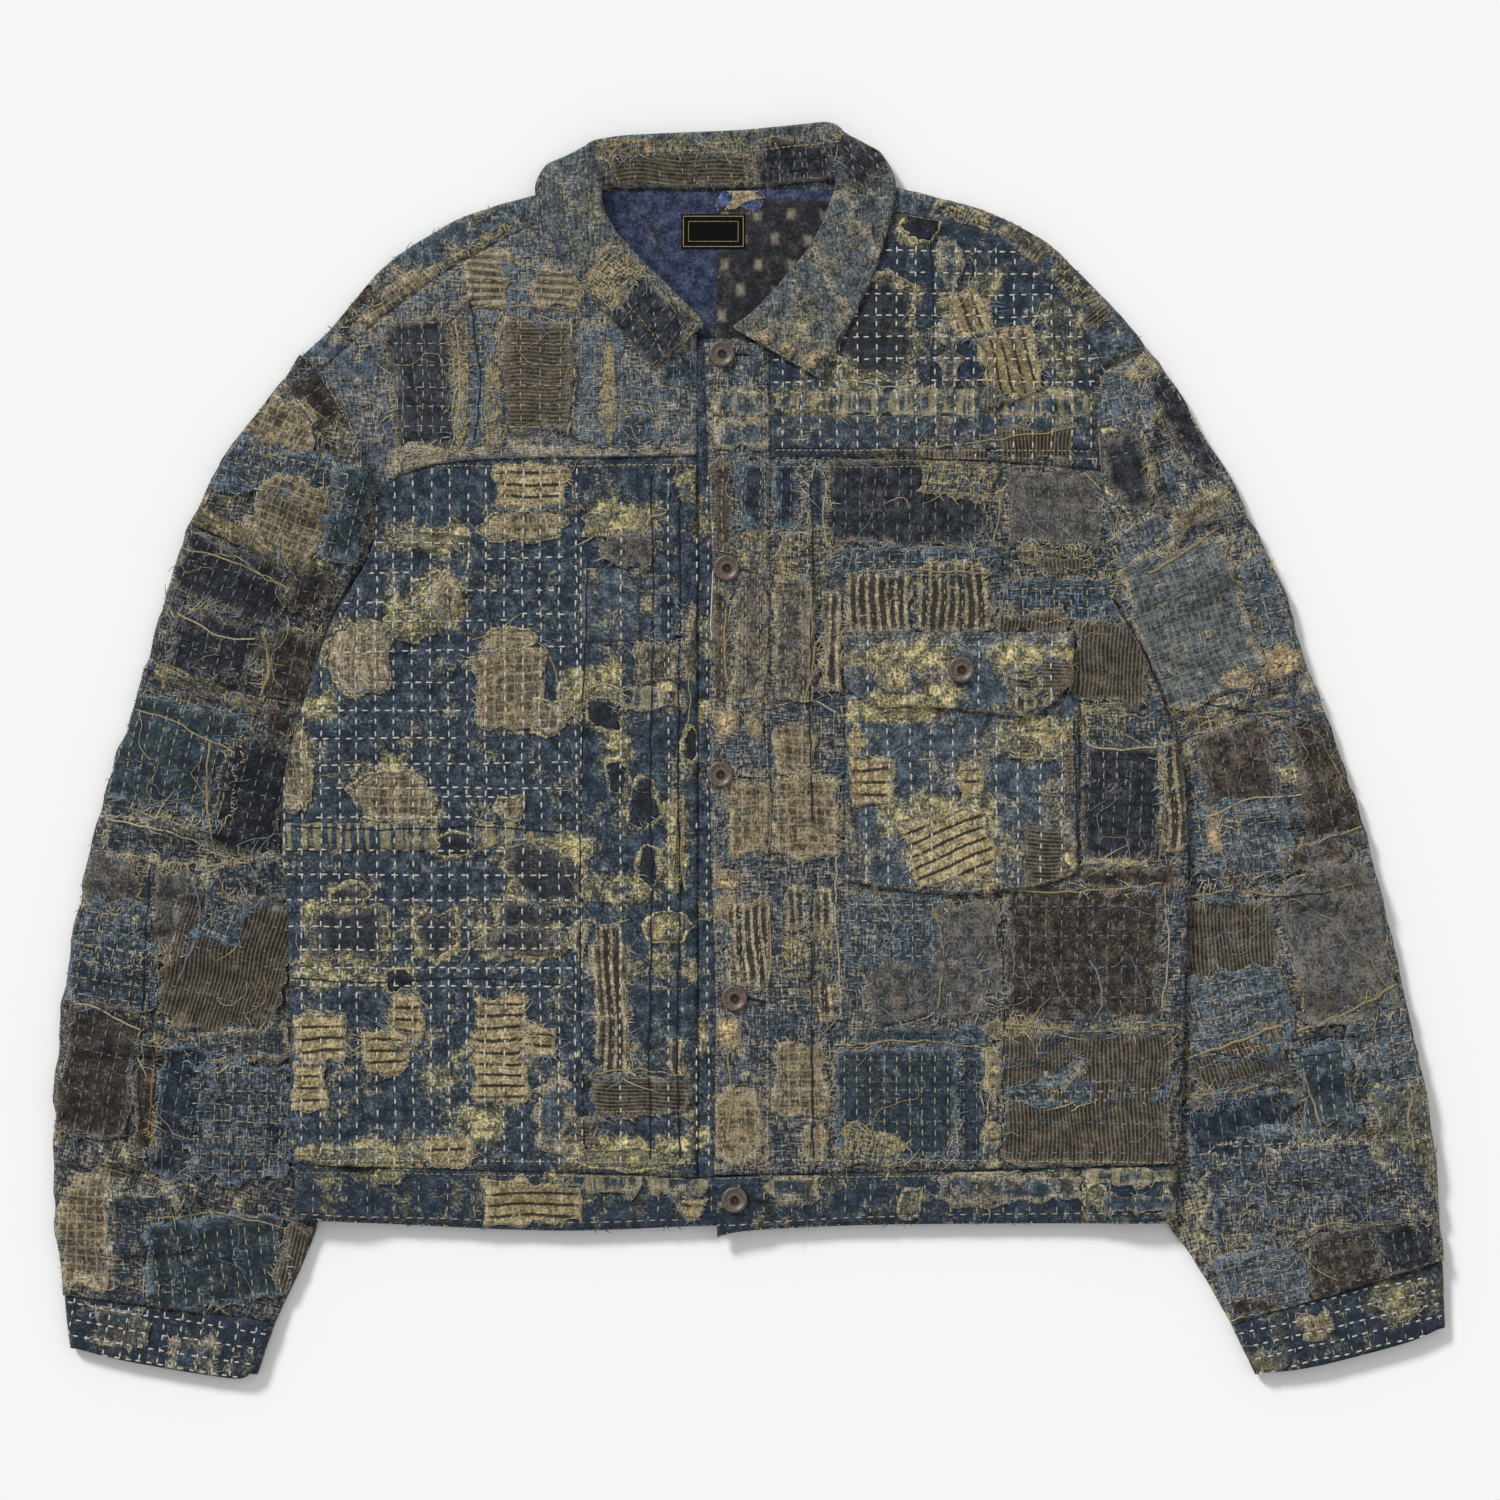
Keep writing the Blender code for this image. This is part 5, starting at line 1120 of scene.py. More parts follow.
def make_collar():
    """The collar: its sewn edge, up to the roll, and over to the free edge."""
    table = curve(COLLAR_STATIONS, steps=7)
    sections = []
    for row in table:
        seam, roll, edge, tilt = row[0:3], row[3:6], row[6:9], math.radians(row[9])
        inward = np.array(NECK_CENTRE) - seam[:2]
        inward /= np.linalg.norm(inward)
        crest = np.array([*inward * math.cos(tilt), math.sin(tilt)])
        normal = np.array([*-inward * math.sin(tilt), math.cos(tilt)])
        centre = roll - crest * COLLAR_TURN
        stand_end, fall_start = centre - normal * COLLAR_TURN, centre + normal * COLLAR_TURN
        stand = [seam + (stand_end - seam) * s for s in np.linspace(0, 1, 9)[:-1]]
        turn = [centre - normal * COLLAR_TURN * math.cos(t) + crest * COLLAR_TURN * math.sin(t)
                for t in np.linspace(0, math.pi, 7)]
        straight = smooth(row[9] / 90)
        fall = []
        for s in np.linspace(0, 1, 15)[1:]:
            drop = s * straight + smooth((s - 0.25) / 0.5) * (1 - straight)
            place = fall_start + (edge - fall_start) * s
            place[2] = fall_start[2] + (edge[2] - fall_start[2]) * drop
            fall.append(place)
        sections.append(np.array(stand + turn + fall))
    grid = np.stack(sections, axis=1)
    x, y = grid[..., 0], grid[..., 1]
    shown = smooth((np.arange(len(grid)) - 10) / 4)[:, None]
    add_piece("collar", grid, COLLAR_CLOTH, "collar_fine", "collar_cloth", (470, 84),
              ["front_yoke_right", "front_yoke_left", "back_yoke"],
              relief=0.8 * puckers(x, y) * shown)


def low_edge_grid(outline, top_y, rows, columns):
    """A plane grid from a curved lower edge up to a level one."""
    across = np.linspace(outline[0][0], outline[-1][0], columns)
    low = edge_y(outline)(across)
    y = low[None] + (top_y - low)[None] * np.linspace(0, 1, rows)[:, None]
    return np.dstack([np.broadcast_to(across, y.shape), y])


def make_pocket_and_flap():
    on_front = CLOTH / 2 + POCKET_GAP + POCKET_CLOTH / 2
    grid = low_edge_grid(POCKET_BOTTOM, POCKET_TOP_Y, 46, 56)
    x, y = grid[..., 0], grid[..., 1]
    add_piece("pocket", with_z(grid, front_mid(x, y) + on_front), POCKET_CLOTH,
              "faded_indigo", "indigo_cloth", (153, 132), ["front_left"],
              relief=puckers(x, y) * 0.8 + 0.1)
    grid = low_edge_grid(FLAP_BOTTOM, FLAP_TOP_Y, 20, 56)
    x, y = grid[..., 0], grid[..., 1]
    over_pocket = (POCKET_CLOTH + SEAM_GAP) * smooth((FLAP_TOP_Y - 1 - y) / 11)
    add_piece("pocket_flap", with_z(grid, front_mid(x, y) + on_front + over_pocket),
              POCKET_CLOTH, "faded_indigo", "indigo_cloth", (149, 54),
              ["front_left", "pocket"], relief=puckers(x, y) * 0.8 + 0.1)


def make_lining():
    right_foot, left_foot, left_head, right_head = (np.array(p, float) for p in LINING_OUTLINE)
    u, v = np.linspace(0, 1, 56)[None, :, None], np.linspace(0, 1, 30)[:, None, None]
    low = right_foot + (left_foot - right_foot) * u
    high = right_head + (left_head - right_head) * u
    grid = low + (high - low) * v
    x, y = grid[..., 0], grid[..., 1]
    add_piece("neck_lining", with_z(grid, LINING_Z), LINING_CLOTH, "lining_blue",
              "lining_cloth", (176, 90), ["back_yoke"],
              relief=np.maximum(0.35 * puckers(x, y), 0))


def finish_material(name, colour, roughness, metallic, speckle):
    """Metal or smooth thread, with small changes of tone and roughness."""
    n = Nodes(name)
    place = n.add("ShaderNodeTexCoord", {}, output=3)
    grains = n.add("ShaderNodeTexNoise", {"Vector": place, "Scale": 900.0, "Detail": 3.0})
    n.tree.links.new(n.ramp(grains, ((0.35, linear(colour)), (0.7, linear(speckle)))),
                     n.shader.inputs["Base Color"])
    n.tree.links.new(n.calc("MULTIPLY_ADD", grains, 0.3, roughness - 0.15),
                     n.shader.inputs["Roughness"])
    n.shader.inputs["Metallic"].default_value = metallic
    if not metallic:
        n.shader.inputs["Specular IOR Level"].default_value = 0.08
    return n.material


def lathe(name, profile, centre, base_z, steps, material):
    """A turned piece, from rows (radius, height)."""
    profile = np.array(profile, float)
    angle = np.arange(steps) * 2 * math.pi / steps
    x = centre[0] + profile[:, :1] * np.cos(angle)[None]
    y = centre[1] + profile[:, :1] * np.sin(angle)[None]
    z = np.broadcast_to(base_z + profile[:, 1:], x.shape)
    points = np.dstack([x, y, z]).reshape(-1, 3)
    return make_object(name, points, grid_faces(len(profile), steps, closed=True), [material])


# A button's turned profile, and its dark pit's, as rows of radius and height
BUTTON_STEPS, PIT_STEPS = 40, 28
BUTTON_PROFILE = (
    (0.01, 0.15), (6.0, 0.2), (7.4, 0.5), (8.2, 1.1), (8.5, 1.9), (8.3, 2.6), (7.7, 3.2),
    (6.9, 3.3), (5.9, 2.75), (5.0, 2.1), (3.9, 2.0), (2.9, 2.45), (2.2, 2.2), (1.7, 1.3),
    (1.0, 0.95), (0.01, 0.9),
)
PIT_PROFILE = ((3.3, 2.05), (2.9, 2.5), (1.4, 2.5), (1.0, 1.6))


def make_buttons():
    """Doughnut tack buttons: a rounded rim, a dish with a small raised centre and a dark pit."""
    metal = finish_material("button_bronze", "51463f", 0.5, 0.6, "85796e")
    dark = finish_material("button_pit", "1c1917", 0.6, 0.4, "2b2623")
    seats = [(f"button_{k}", x, y, OVERLAP_Z + CLOTH / 2 + SEAM_GAP)
             for k, (x, y) in enumerate(PLACKET_BUTTONS, start=1)]
    flap_seat = front_mid(*(np.array([v]) for v in FLAP_BUTTON))[0] + CLOTH / 2 + POCKET_GAP
    flap_seat += 2 * (POCKET_CLOTH + SEAM_GAP)
    seats.append(("button_pocket", *FLAP_BUTTON, flap_seat))
    for name, x, y, z in seats:
        made = lathe(f"{name}_tack", BUTTON_PROFILE, (x, y), z, BUTTON_STEPS, metal)
        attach(made, "root")
        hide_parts(name)
        pit = lathe(f"{name}_pit", PIT_PROFILE, (x, y), z, PIT_STEPS, dark)
        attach(pit, "root")


def make_label():
    """A small bare label with a double border of thread."""
    black = finish_material("label_satin", "0b0b0a", 0.85, 0.0, "14130f")
    made = label_plate("neck_label_cloth", LABEL_CENTRE, LABEL_SIZE, black)
    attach(made, "root")
    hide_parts("neck_label")
    points, faces, steps = [], [], 12
    for inset, width in LABEL_BORDERS:
        half_x, half_y = LABEL_SIZE[0] / 2 - inset, LABEL_SIZE[1] / 2 - inset
        for scale in (-1, 1):
            for across, along_x in ((half_y, True), (half_x, False)):
                reach = half_x if along_x else half_y
                run = np.linspace(-reach, reach, steps)
                for side in (-width / 2, width / 2):
                    other = np.full(steps, scale * across + side)
                    x, y = (run, other) if along_x else (other, run)
                    points.append(np.column_stack([x + LABEL_CENTRE[0], y + LABEL_CENTRE[1],
                                                   np.full(steps, LABEL_BORDER_Z)]))
                first = steps * (len(points) - 2)
                strip = grid_faces(2, steps) + first
                faces.append(strip if along_x else strip[:, ::-1])
    border = make_object("neck_label_border", np.concatenate(points), np.concatenate(faces),
                         [yarn("gold_yarn")])
    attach(border, "root")


def label_plate(name, centre, size, material):
    """The label's cloth, as a flat plate."""
    rows, columns = 14, 25
    u, v = np.linspace(-0.5, 0.5, columns), np.linspace(-0.5, 0.5, rows)
    grid = np.dstack(np.meshgrid(centre[0] + size[0] * u, centre[1] + size[1] * v))
    quads = grid_faces(rows, columns)
    count = rows * columns
    points = np.concatenate([with_z(grid, z).reshape(-1, 3) for z in (LABEL_TOP_Z, LABEL_LOW_Z)])
    faces = np.concatenate([quads, quads[:, ::-1] + count, rim_faces(quads, count)])
    return make_object(name, points, faces, [material])


# Patches, stitches and frays

# The pieces of whole indigo cloth, where a patch shows through a torn window
TORN_PIECES = ("front_right", "front_yoke_left", "pocket", "pocket_flap", "waistband")

# Where the cloth's height is read from
RAY_START = 60.0  # above all the cloth, and as far below it
CLOTH_MIDDLE_Z = 7.0
EDGE_STEP = 0.7  # a place off the cloth is read this far in from its edge

# How patches lie on the cloth and on each other
PATCH_STEP = 3.1  # spacing of a patch's points
UNDER_PATCH_STEP = 4.6  # the same, on the hidden side
RAGGED = {"sewn": 0.8, "frayed": 3.6, "worn": 5.6}  # how far an edge wanders
MOST_LAYERS = 4
PATCH_LIFT, LAYER_LIFT, HOLE_LIFT = 0.55, 0.4, 0.12
UNDER_LIFT = 0.05  # for each layer, on the hidden side
PATCH_SINK = 0.15  # how far a patch's underside reaches into the cloth below
SEWN_INSET = 5.0  # a sewn edge wears as cloth does this far inside a frayed one
PATCH_BLEACH, HOLE_BLEACH, PATCH_BLEACH_FALL = 0.08, 0.17, 3.5
CUT_BLEACH_FALL = 5.0  # how fast a bleached place of BLEACHED fades out

# Shapes of threads and stitches
THREAD_HALF_WIDTH = 0.36
STITCH_HALF_WIDTH, STITCH_END_HALF_WIDTH, STITCH_HEIGHT = 0.58, 0.2, 0.55
FINE_STITCH = 0.72  # width of any stitch that isn't white, as a share of a white one's


class Surface:
    """The upper or lower side of some meshes, read as a height at any place."""

    def __init__(self, meshes, below):
        points, faces, count = [], [], 0
        for mesh_points, mesh_faces in meshes:
            points.append(mesh_points)
            faces.append(mesh_faces + count)
            count += len(mesh_points)
        self.tree = BVHTree.FromPolygons(np.concatenate(points).tolist(),
                                         np.concatenate(faces).tolist())
        self.way = Vector((0, 0, 1 if below else -1))
        self.start = -RAY_START if below else RAY_START

    def cast(self, x, y):
        return self.tree.ray_cast(Vector((x, y, self.start)), self.way)[0]

    def place(self, spots):
        """The points of the cloth at some places, and which of the places are on the cloth.

        A place off the cloth goes to the cloth's edge.
        """
        found = np.empty((len(spots), 3))
        on_cloth = np.ones(len(spots), bool)
        for k, (x, y) in enumerate(spots):
            hit = self.cast(x, y)
            if hit is None:
                on_cloth[k] = False
                near = self.tree.find_nearest(Vector((x, y, CLOTH_MIDDLE_Z)))[0]
                inward = Vector((near.x - x, near.y - y, 0))
                step = near
                if inward.length > 0.01:
                    step = near + inward.normalized() * EDGE_STEP
                inner = self.cast(step.x, step.y)
                hit = Vector((step.x, step.y, inner.z if inner else near.z))
            found[k] = hit
        return found, on_cloth


def blob_radius(angle, seed, ragged):
    """A torn outline: a rounded square's radius with a ragged edge."""
    c, s = np.cos(angle), np.sin(angle)
    round_square = (np.abs(c) ** 3.2 + np.abs(s) ** 3.2) ** (-1 / 3.2)
    wave = noise(c * 1.7, s * 1.7, 1.0, seed) + 0.5 * noise(c * 6.0, s * 6.0, 1.0, seed + 5)
    return round_square * (1 + ragged * wave) * 0.95


def patch_grid(half_x, half_y, style, seed, step):
    """A patch's points about its own centre, and each one's distance in from its edge."""
    u, v = np.meshgrid(np.linspace(-1, 1, max(5, int(2 * half_x / step) + 1)),
                       np.linspace(-1, 1, max(5, int(2 * half_y / step) + 1)))
    if style in ("hole", "blob"):
        reach = np.maximum(np.abs(u), np.abs(v))
        angle = np.arctan2(v, u)
        square = np.maximum(np.abs(np.cos(angle)), np.abs(np.sin(angle)))
        radius = reach * (blob_radius(angle, seed, 0.32) * 0.92 + 0.08 / square)
        x, y = radius * np.cos(angle) * half_x, radius * np.sin(angle) * half_y
        return np.dstack([x, y]), (1 - reach) * min(half_x, half_y)
    ragged = RAGGED[style]
    x = u * half_x + np.sign(u) * np.abs(u) ** 5 * ragged * noise(v * half_y, u, 7.0, seed)
    y = v * half_y + np.sign(v) * np.abs(v) ** 5 * ragged * noise(u * half_x, v, 7.0, seed + 3)
    corner = 1 - (0.015 if style == "sewn" else 0.06) * np.abs(u * v) ** 4
    distance = np.minimum((1 - np.abs(u)) * half_x, (1 - np.abs(v)) * half_y)
    return np.dstack([x * corner, y * corner]), distance + (SEWN_INSET if style == "sewn" else 0)


def turned(points, angle):
    """Plane points turned anticlockwise by an angle in degrees."""
    c, s = math.cos(math.radians(angle)), math.sin(math.radians(angle))
    return points @ np.array([[c, s], [-s, c]])


def outline_of(grid):
    """The points round a grid's edge, anticlockwise."""
    return np.vstack([grid[0, :-1], grid[:-1, -1], grid[-1, :0:-1], grid[:0:-1, 0]])


def box_of(box):
    """Centre and half sides in millimetres of a box on the photograph's grid."""
    x0, y0 = spot(box[0], box[3])
    x1, y1 = spot(box[2], box[1])
    return np.array([(x0 + x1) / 2, (y0 + y1) / 2]), np.array([x1 - x0, y1 - y0]) / 2


class Layers:
    """What is laid on one garment piece: patches, threads and stitches, as joined meshes."""

    def __init__(self, node, below):
        self.node, self.below = node, below
        self.up = -1 if below else 1
        self.base = (SHELLS[node]["points"], SHELLS[node]["faces"])
        self.surface = Surface([self.base], below)
        self.patches = []
        self.boxes = []
        self.outlines = []
        self.threads = []
        self.stitches = []
        self.cords_and_painted_shadows = []
        self.fade = np.zeros(len(self.base[0]))

    def bleach(self, centre, half, turn, strength, fall):
        """Yellows the cloth in and round a box, less and less away from it."""
        points = self.base[0]
        local = np.abs(turned(points[:, :2] - centre, -turn)) - half
        away = np.linalg.norm(np.maximum(local, 0), axis=1)
        near = strength * np.exp(-away / fall)
        self.fade = np.maximum(self.fade, near)

    def add_patch(self, kind, box, turn=0, grain=0, style="frayed"):
        """Lays a patch. box is its left, top, right and lower side on the photograph's grid."""
        centre, half = box_of(box)
        seed = int(abs(centre[0]) * 7 + abs(centre[1]) * 13) + len(self.patches)
        step = UNDER_PATCH_STEP if self.below else PATCH_STEP
        grid, inside = patch_grid(*half, style, seed, step)
        rows, columns = grid.shape[:2]
        local = grid.reshape(-1, 2)
        spots = turned(local, turn) + centre
        low_corner, high_corner = centre - half, centre + half
        depth = 0
        for other, other_depth in self.boxes:
            if (other[:2] < high_corner).all() and (other[2:] > low_corner).all():
                depth = max(depth, other_depth + 1)
        depth = min(depth, MOST_LAYERS)
        self.boxes.append((np.concatenate([low_corner, high_corner]), depth))
        strength = HOLE_BLEACH if style == "hole" else PATCH_BLEACH
        self.bleach(centre, half, turn, strength, PATCH_BLEACH_FALL)
        placed, on_cloth = self.surface.place(spots)
        lift = HOLE_LIFT if style == "hole" and depth == 0 else PATCH_LIFT + LAYER_LIFT * depth
        top = placed.copy()
        if self.below:
            top[:, 2] -= UNDER_LIFT * (depth + 1)
        else:
            top[:, 2] += lift + 0.3 * noise(top[:, 0], top[:, 1], 9, seed) * (depth > 0)
        low = placed.copy()
        low[:, 2] -= self.up * PATCH_SINK
        for side in (top, low):
            side[:, 2] = np.maximum(side[:, 2], LOWEST_Z)
        quads = grid_faces(rows, columns)
        quads = quads[on_cloth[quads].any(axis=1)]
        if not len(quads):
            return
        if self.below:
            quads = quads[:, ::-1]
        faces = np.concatenate([quads, rim_faces(quads, rows * columns)])
        used, faces = np.unique(faces, return_inverse=True)
        points = np.concatenate([top, low])[used]
        uv = turned(local, grain) + rng.uniform(-400, 400, 2)
        self.patches.append({
            "points": points, "faces": faces.reshape(-1, 4), "kind": kind,
            "uv": np.concatenate([uv, uv])[used],
            "edge": np.concatenate([inside.ravel()] * 2)[used],
            "tone": np.full(len(used), rng.uniform(-0.03, 0.03) + PIECE_TONES.get(self.node, 0)),
        })
        shape = outline_of(spots.reshape(rows, columns, 2))
        self.outlines.append((shape, style))
        if style == "hole":
            self.add_rim(shape, centre, seed, 1.0)
        elif style == "blob" and self.node in TORN_PIECES and not self.below:
            self.add_rim(shape, centre, seed, 0.7)

    def add_rim(self, shape, centre, seed, size):
        """A worn, curled edge round a torn hole or a torn window on a patch below."""
        out = shape - centre
        out /= np.maximum(np.linalg.norm(out, axis=1, keepdims=True), 0.1)
        wide = size * np.maximum(1.9 + 1.7 * noise(shape[:, 0], shape[:, 1], 5, seed + 9), 0.5)
        rings = []
        for share, height in ((-0.35, 0.5), (0.1, 1.0), (0.6, 0.95), (1.2, 0.35)):
            placed, _ = self.surface.place(shape + out * (wide * share)[:, None])
            placed[:, 2] += height + 0.4 * (size < 1)
            rings.append(placed)
        points = np.array(rings[::-1]).reshape(-1, 3)
        self.patches.append({
            "points": points, "faces": grid_faces(4, len(shape), closed=True),
            "kind": "worn_rim", "uv": points[:, :2],
            "edge": np.full(len(points), FAR_FROM_EDGE), "tone": np.zeros(len(points)),
        })

    def settle(self):
        """Takes the patches into the surface that stitches and threads lie on."""
        meshes = [self.base] + [(p["points"], p["faces"]) for p in self.patches]
        self.surface = Surface(meshes, self.below)

    def fringe(self, line, side, spacing, longest, past_edge=True):
        """Loose threads all along a line, on its right where side is 1, else on its left."""
        length = np.linalg.norm(np.diff(line, axis=0), axis=1).sum()
        count = max(int(length / spacing), 4)
        shares = (np.arange(count) + rng.uniform(0, 0.95, count)) / count
        spots = along(line, shares)
        tangent = along(line, np.minimum(shares + 0.4 / count, 1)) - spots
        tangent /= np.maximum(np.linalg.norm(tangent, axis=1, keepdims=True), 0.01)
        out = np.column_stack([tangent[:, 1], -tangent[:, 0]]) * side
        busy = 0.3 + 0.7 * smooth(noise(spots[:, 0], spots[:, 1], 16, 77) * 1.6 + 0.5)
        reach = longest * busy * rng.uniform(0.2, 1.0, count) ** 1.3
        reach = reach * np.where(rng.uniform(size=count) < 0.07, 2.4, 1.0)
        sway = rng.normal(0, 1.0, count)[:, None]
        self.thread_rows(spots - out, out + tangent * sway, tangent, reach, past_edge)

    def thread_rows(self, starts, direction, side, reach, past_edge):
        """Short curved threads on the cloth. Only with past_edge do they leave its edge."""
        count = len(starts)
        direction = direction / np.maximum(np.linalg.norm(direction, axis=1, keepdims=True), 0.01)
        bend = rng.normal(0, 0.6, count)
        shares = np.array([0, 0.3, 0.65, 1.0])
        run = shares[None] * reach[:, None]
        drift = (shares ** 2)[None] * (bend * reach)[:, None]
        line = starts[:, None] + direction[:, None] * run[..., None] + side[:, None] * drift[..., None]
        placed, on_cloth = self.surface.place(line.reshape(-1, 2))
        placed = placed.reshape(count, 4, 3)
        placed[..., :2] = line
        arch = 0.35 + 1.1 * np.sin(np.pi * shares) * rng.uniform(0.2, 1.0, count)[:, None]
        placed[..., 2] += self.up * arch
        across = np.column_stack([-direction[:, 1], direction[:, 0], np.zeros(count)])
        half = THREAD_HALF_WIDTH * np.array([1.0, 1.0, 0.8, 0.35])
        on_cloth = on_cloth.reshape(count, 4)
        kept = on_cloth[:, 0] if past_edge else on_cloth.all(axis=1)
        strip = np.stack([placed - across[:, None] * half[None, :, None],
                          placed + across[:, None] * half[None, :, None]], axis=2)[kept]
        strip[..., 2] = np.maximum(strip[..., 2], LOWEST_Z)
        tint = noise(starts[:, 0], starts[:, 1], 22, 55)[kept] + rng.normal(0, 0.45, kept.sum())
        kinds = np.digitize(tint, (-0.42, 0.2, 0.7))
        self.threads.append((strip.reshape(len(strip), 8, 3), kinds))

    def stitch(self, line, pitch=7.6, length=4.2, colour="white", wander=0.5, skip=0.03):
        """A row of running stitches along a line of places in millimetres."""
        line = np.asarray(line, float)
        total = np.linalg.norm(np.diff(line, axis=0), axis=1).sum()
        count = int(total / pitch)
        if count < 1:
            return
        starts = (np.arange(count) + 0.15) * pitch + rng.normal(0, 0.25, count)
        ends = starts + length * rng.uniform(0.82, 1.12, count)
        dense = along(line, np.linspace(0, 1, max(int(total / 4), 2)))
        side = np.gradient(dense, axis=0)
        side = np.column_stack([-side[:, 1], side[:, 0]])
        side /= np.maximum(np.linalg.norm(side, axis=1, keepdims=True), 1e-6)
        sway = noise(dense[:, 0] + dense[:, 1], dense[:, 1], 26, 91)[:, None] * wander
        dense = dense + side * sway
        keep = rng.uniform(size=count) > skip
        a = along(dense, np.clip(starts / total, 0, 1))[keep]
        b = along(dense, np.clip(ends / total, 0, 1))[keep]
        self.stitches.append((a, b, np.full(len(a), STITCH_YARNS.index(f"{colour}_yarn"))))

    def stitch_rows(self, box, spacing, upright, pitch=7.6, length=4.2, colour="white", turn=0,
                    shrink=2.0):
        """Parallel rows of stitches that fill a box on the photograph's grid."""
        centre, half = box_of(box)
        half = np.maximum(half - shrink, 2)
        wide, long = (half[0], half[1]) if upright else (half[1], half[0])
        count = max(round(2 * wide / spacing), 1)
        for k in range(count):
            offset = -wide + (k + 0.5) * 2 * wide / count + rng.normal(0, 0.4)
            ends = [(offset, -long), (offset, long)] if upright else [(-long, offset), (long, offset)]
            line = turned(np.array(ends), turn) + centre
            self.stitch(line, pitch, length, colour, wander=1.0)

    def cord(self, line, colour, width=0.9, wander=0.6, past_edge=False):
        """A thick yarn that lies along a line of places in millimetres, or a dark cord of painted
        shadow.

        It stops at the cloth's edge unless past_edge is true.
        """
        line = curve(line, steps=8) if len(line) > 2 else np.asarray(line, float)
        total = np.linalg.norm(np.diff(line, axis=0), axis=1).sum()
        dense = along(line, np.linspace(0, 1, max(int(total / 2.4), 3)))
        side = np.gradient(dense, axis=0)
        side = np.column_stack([-side[:, 1], side[:, 0]])
        side /= np.maximum(np.linalg.norm(side, axis=1, keepdims=True), 1e-6)
        dense = dense + side * noise(dense[:, 0], dense[:, 1], 7, 61)[:, None] * wander
        placed, kept = self.surface.place(dense)
        placed[:, :2] = dense
        if not past_edge:
            placed, side = placed[kept], side[kept]
        if len(placed) < 3:
            return
        across = np.column_stack([side, np.zeros(len(side))]) * width / 2
        up = np.array([0, 0, self.up], float)
        rows = np.stack([placed - across + up * 0.1, placed + up * min(0.35 + width * 0.4, 1.2),
                         placed + across + up * 0.1], axis=1)
        rows[..., 2] = np.maximum(rows[..., 2], LOWEST_Z)
        self.cords_and_painted_shadows.append((rows, STITCH_YARNS.index(f"{colour}_yarn")))

    def finish(self):
        """Makes the joined meshes and fades the shell. Returns the objects."""
        made = []
        tail = "_under" if self.below else ""
        if self.patches:
            kinds = sorted({p["kind"] for p in self.patches})
            count = np.cumsum([0] + [len(p["points"]) for p in self.patches])
            faces = np.concatenate([p["faces"] + n for p, n in zip(self.patches, count)])
            index = np.concatenate([np.full(len(p["faces"]), kinds.index(p["kind"]))
                                    for p in self.patches])
            join = {key: np.concatenate([p[key] for p in self.patches])
                    for key in ("points", "uv", "edge", "tone")}
            made.append(make_object(f"{self.node}_patches{tail}", join["points"], faces,
                                    [cloth(k) for k in kinds], index, join["uv"],
                                    edge=join["edge"], tone=join["tone"],
                                    fade=np.zeros(len(join["points"]))))
        if self.threads:
            strips = np.concatenate([s for s, _ in self.threads])
            kinds = np.concatenate([k for _, k in self.threads])
            quads = np.array([[0, 2, 3, 1], [2, 4, 5, 3], [4, 6, 7, 5]])
            faces = (quads[None] + 8 * np.arange(len(strips))[:, None, None]).reshape(-1, 4)
            made.append(make_object(f"{self.node}_frays{tail}", strips.reshape(-1, 3), faces,
                                    [yarn(k) for k in FRAY_YARNS], np.repeat(kinds, 3)))
        if self.stitches:
            made.append(self.make_stitches(tail))
        if self.cords_and_painted_shadows:
            points, faces, kinds, count = [], [], [], 0
            for rows, kind in self.cords_and_painted_shadows:
                quads = grid_faces(len(rows), 3)[:, ::-1 if self.below else 1] + count
                points.append(rows.reshape(-1, 3))
                faces.append(quads)
                kinds.append(np.full(len(quads), kind))
                count += len(rows) * 3
            made.append(make_object(f"{self.node}_cords{tail}", np.concatenate(points),
                                    np.concatenate(faces), [yarn(k) for k in STITCH_YARNS],
                                    np.concatenate(kinds)))
        for piece in made:
            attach(piece, "root")
        layer = SHELLS[self.node]["object"].data.attributes["fade"]
        known = np.empty(len(self.fade), np.float32)
        layer.data.foreach_get("value", known)
        layer.data.foreach_set("value", np.maximum(known, self.fade).astype(np.float32))
        return made

    def make_stitches(self, tail):
        """One mesh of all the stitches: low ridges that follow the cloth below them."""
        a = np.concatenate([s[0] for s in self.stitches])
        b = np.concatenate([s[1] for s in self.stitches])
        kinds = np.concatenate([s[2] for s in self.stitches])
        shares = np.array([0, 0.22, 0.78, 1.0])
        placed, on_cloth = self.surface.place(np.vstack([a, (a + b) / 2, b]))
        kept = on_cloth.reshape(3, -1).all(axis=0)
        low, mid, high = (part[kept] for part in np.split(placed, 3))
        kinds = kinds[kept]
        spine = low[:, None] + (high - low)[:, None] * shares[None, :, None]
        rise_mid = np.clip((mid[:, 2] - (low[:, 2] + high[:, 2]) / 2) * self.up, -0.4, 1.2) * self.up
        spine[..., 2] += rise_mid[:, None] * 4 * (shares * (1 - shares))[None]
        run = high[:, :2] - low[:, :2]
        run /= np.maximum(np.linalg.norm(run, axis=1, keepdims=True), 0.01)
        across = np.column_stack([-run[:, 1], run[:, 0], np.zeros(len(run))])
        bulk = np.where(kinds == STITCH_YARNS.index("white_yarn"), 1.0, FINE_STITCH)
        half = np.array([STITCH_END_HALF_WIDTH, STITCH_HALF_WIDTH, STITCH_HALF_WIDTH,
                         STITCH_END_HALF_WIDTH])[None, :, None] * bulk[:, None, None]
        rise = np.array([0.0, STITCH_HEIGHT, STITCH_HEIGHT, 0.0])
        up = np.array([0, 0, self.up], float)
        left = spine - across[:, None] * half - up * 0.1
        right = spine + across[:, None] * half - up * 0.1
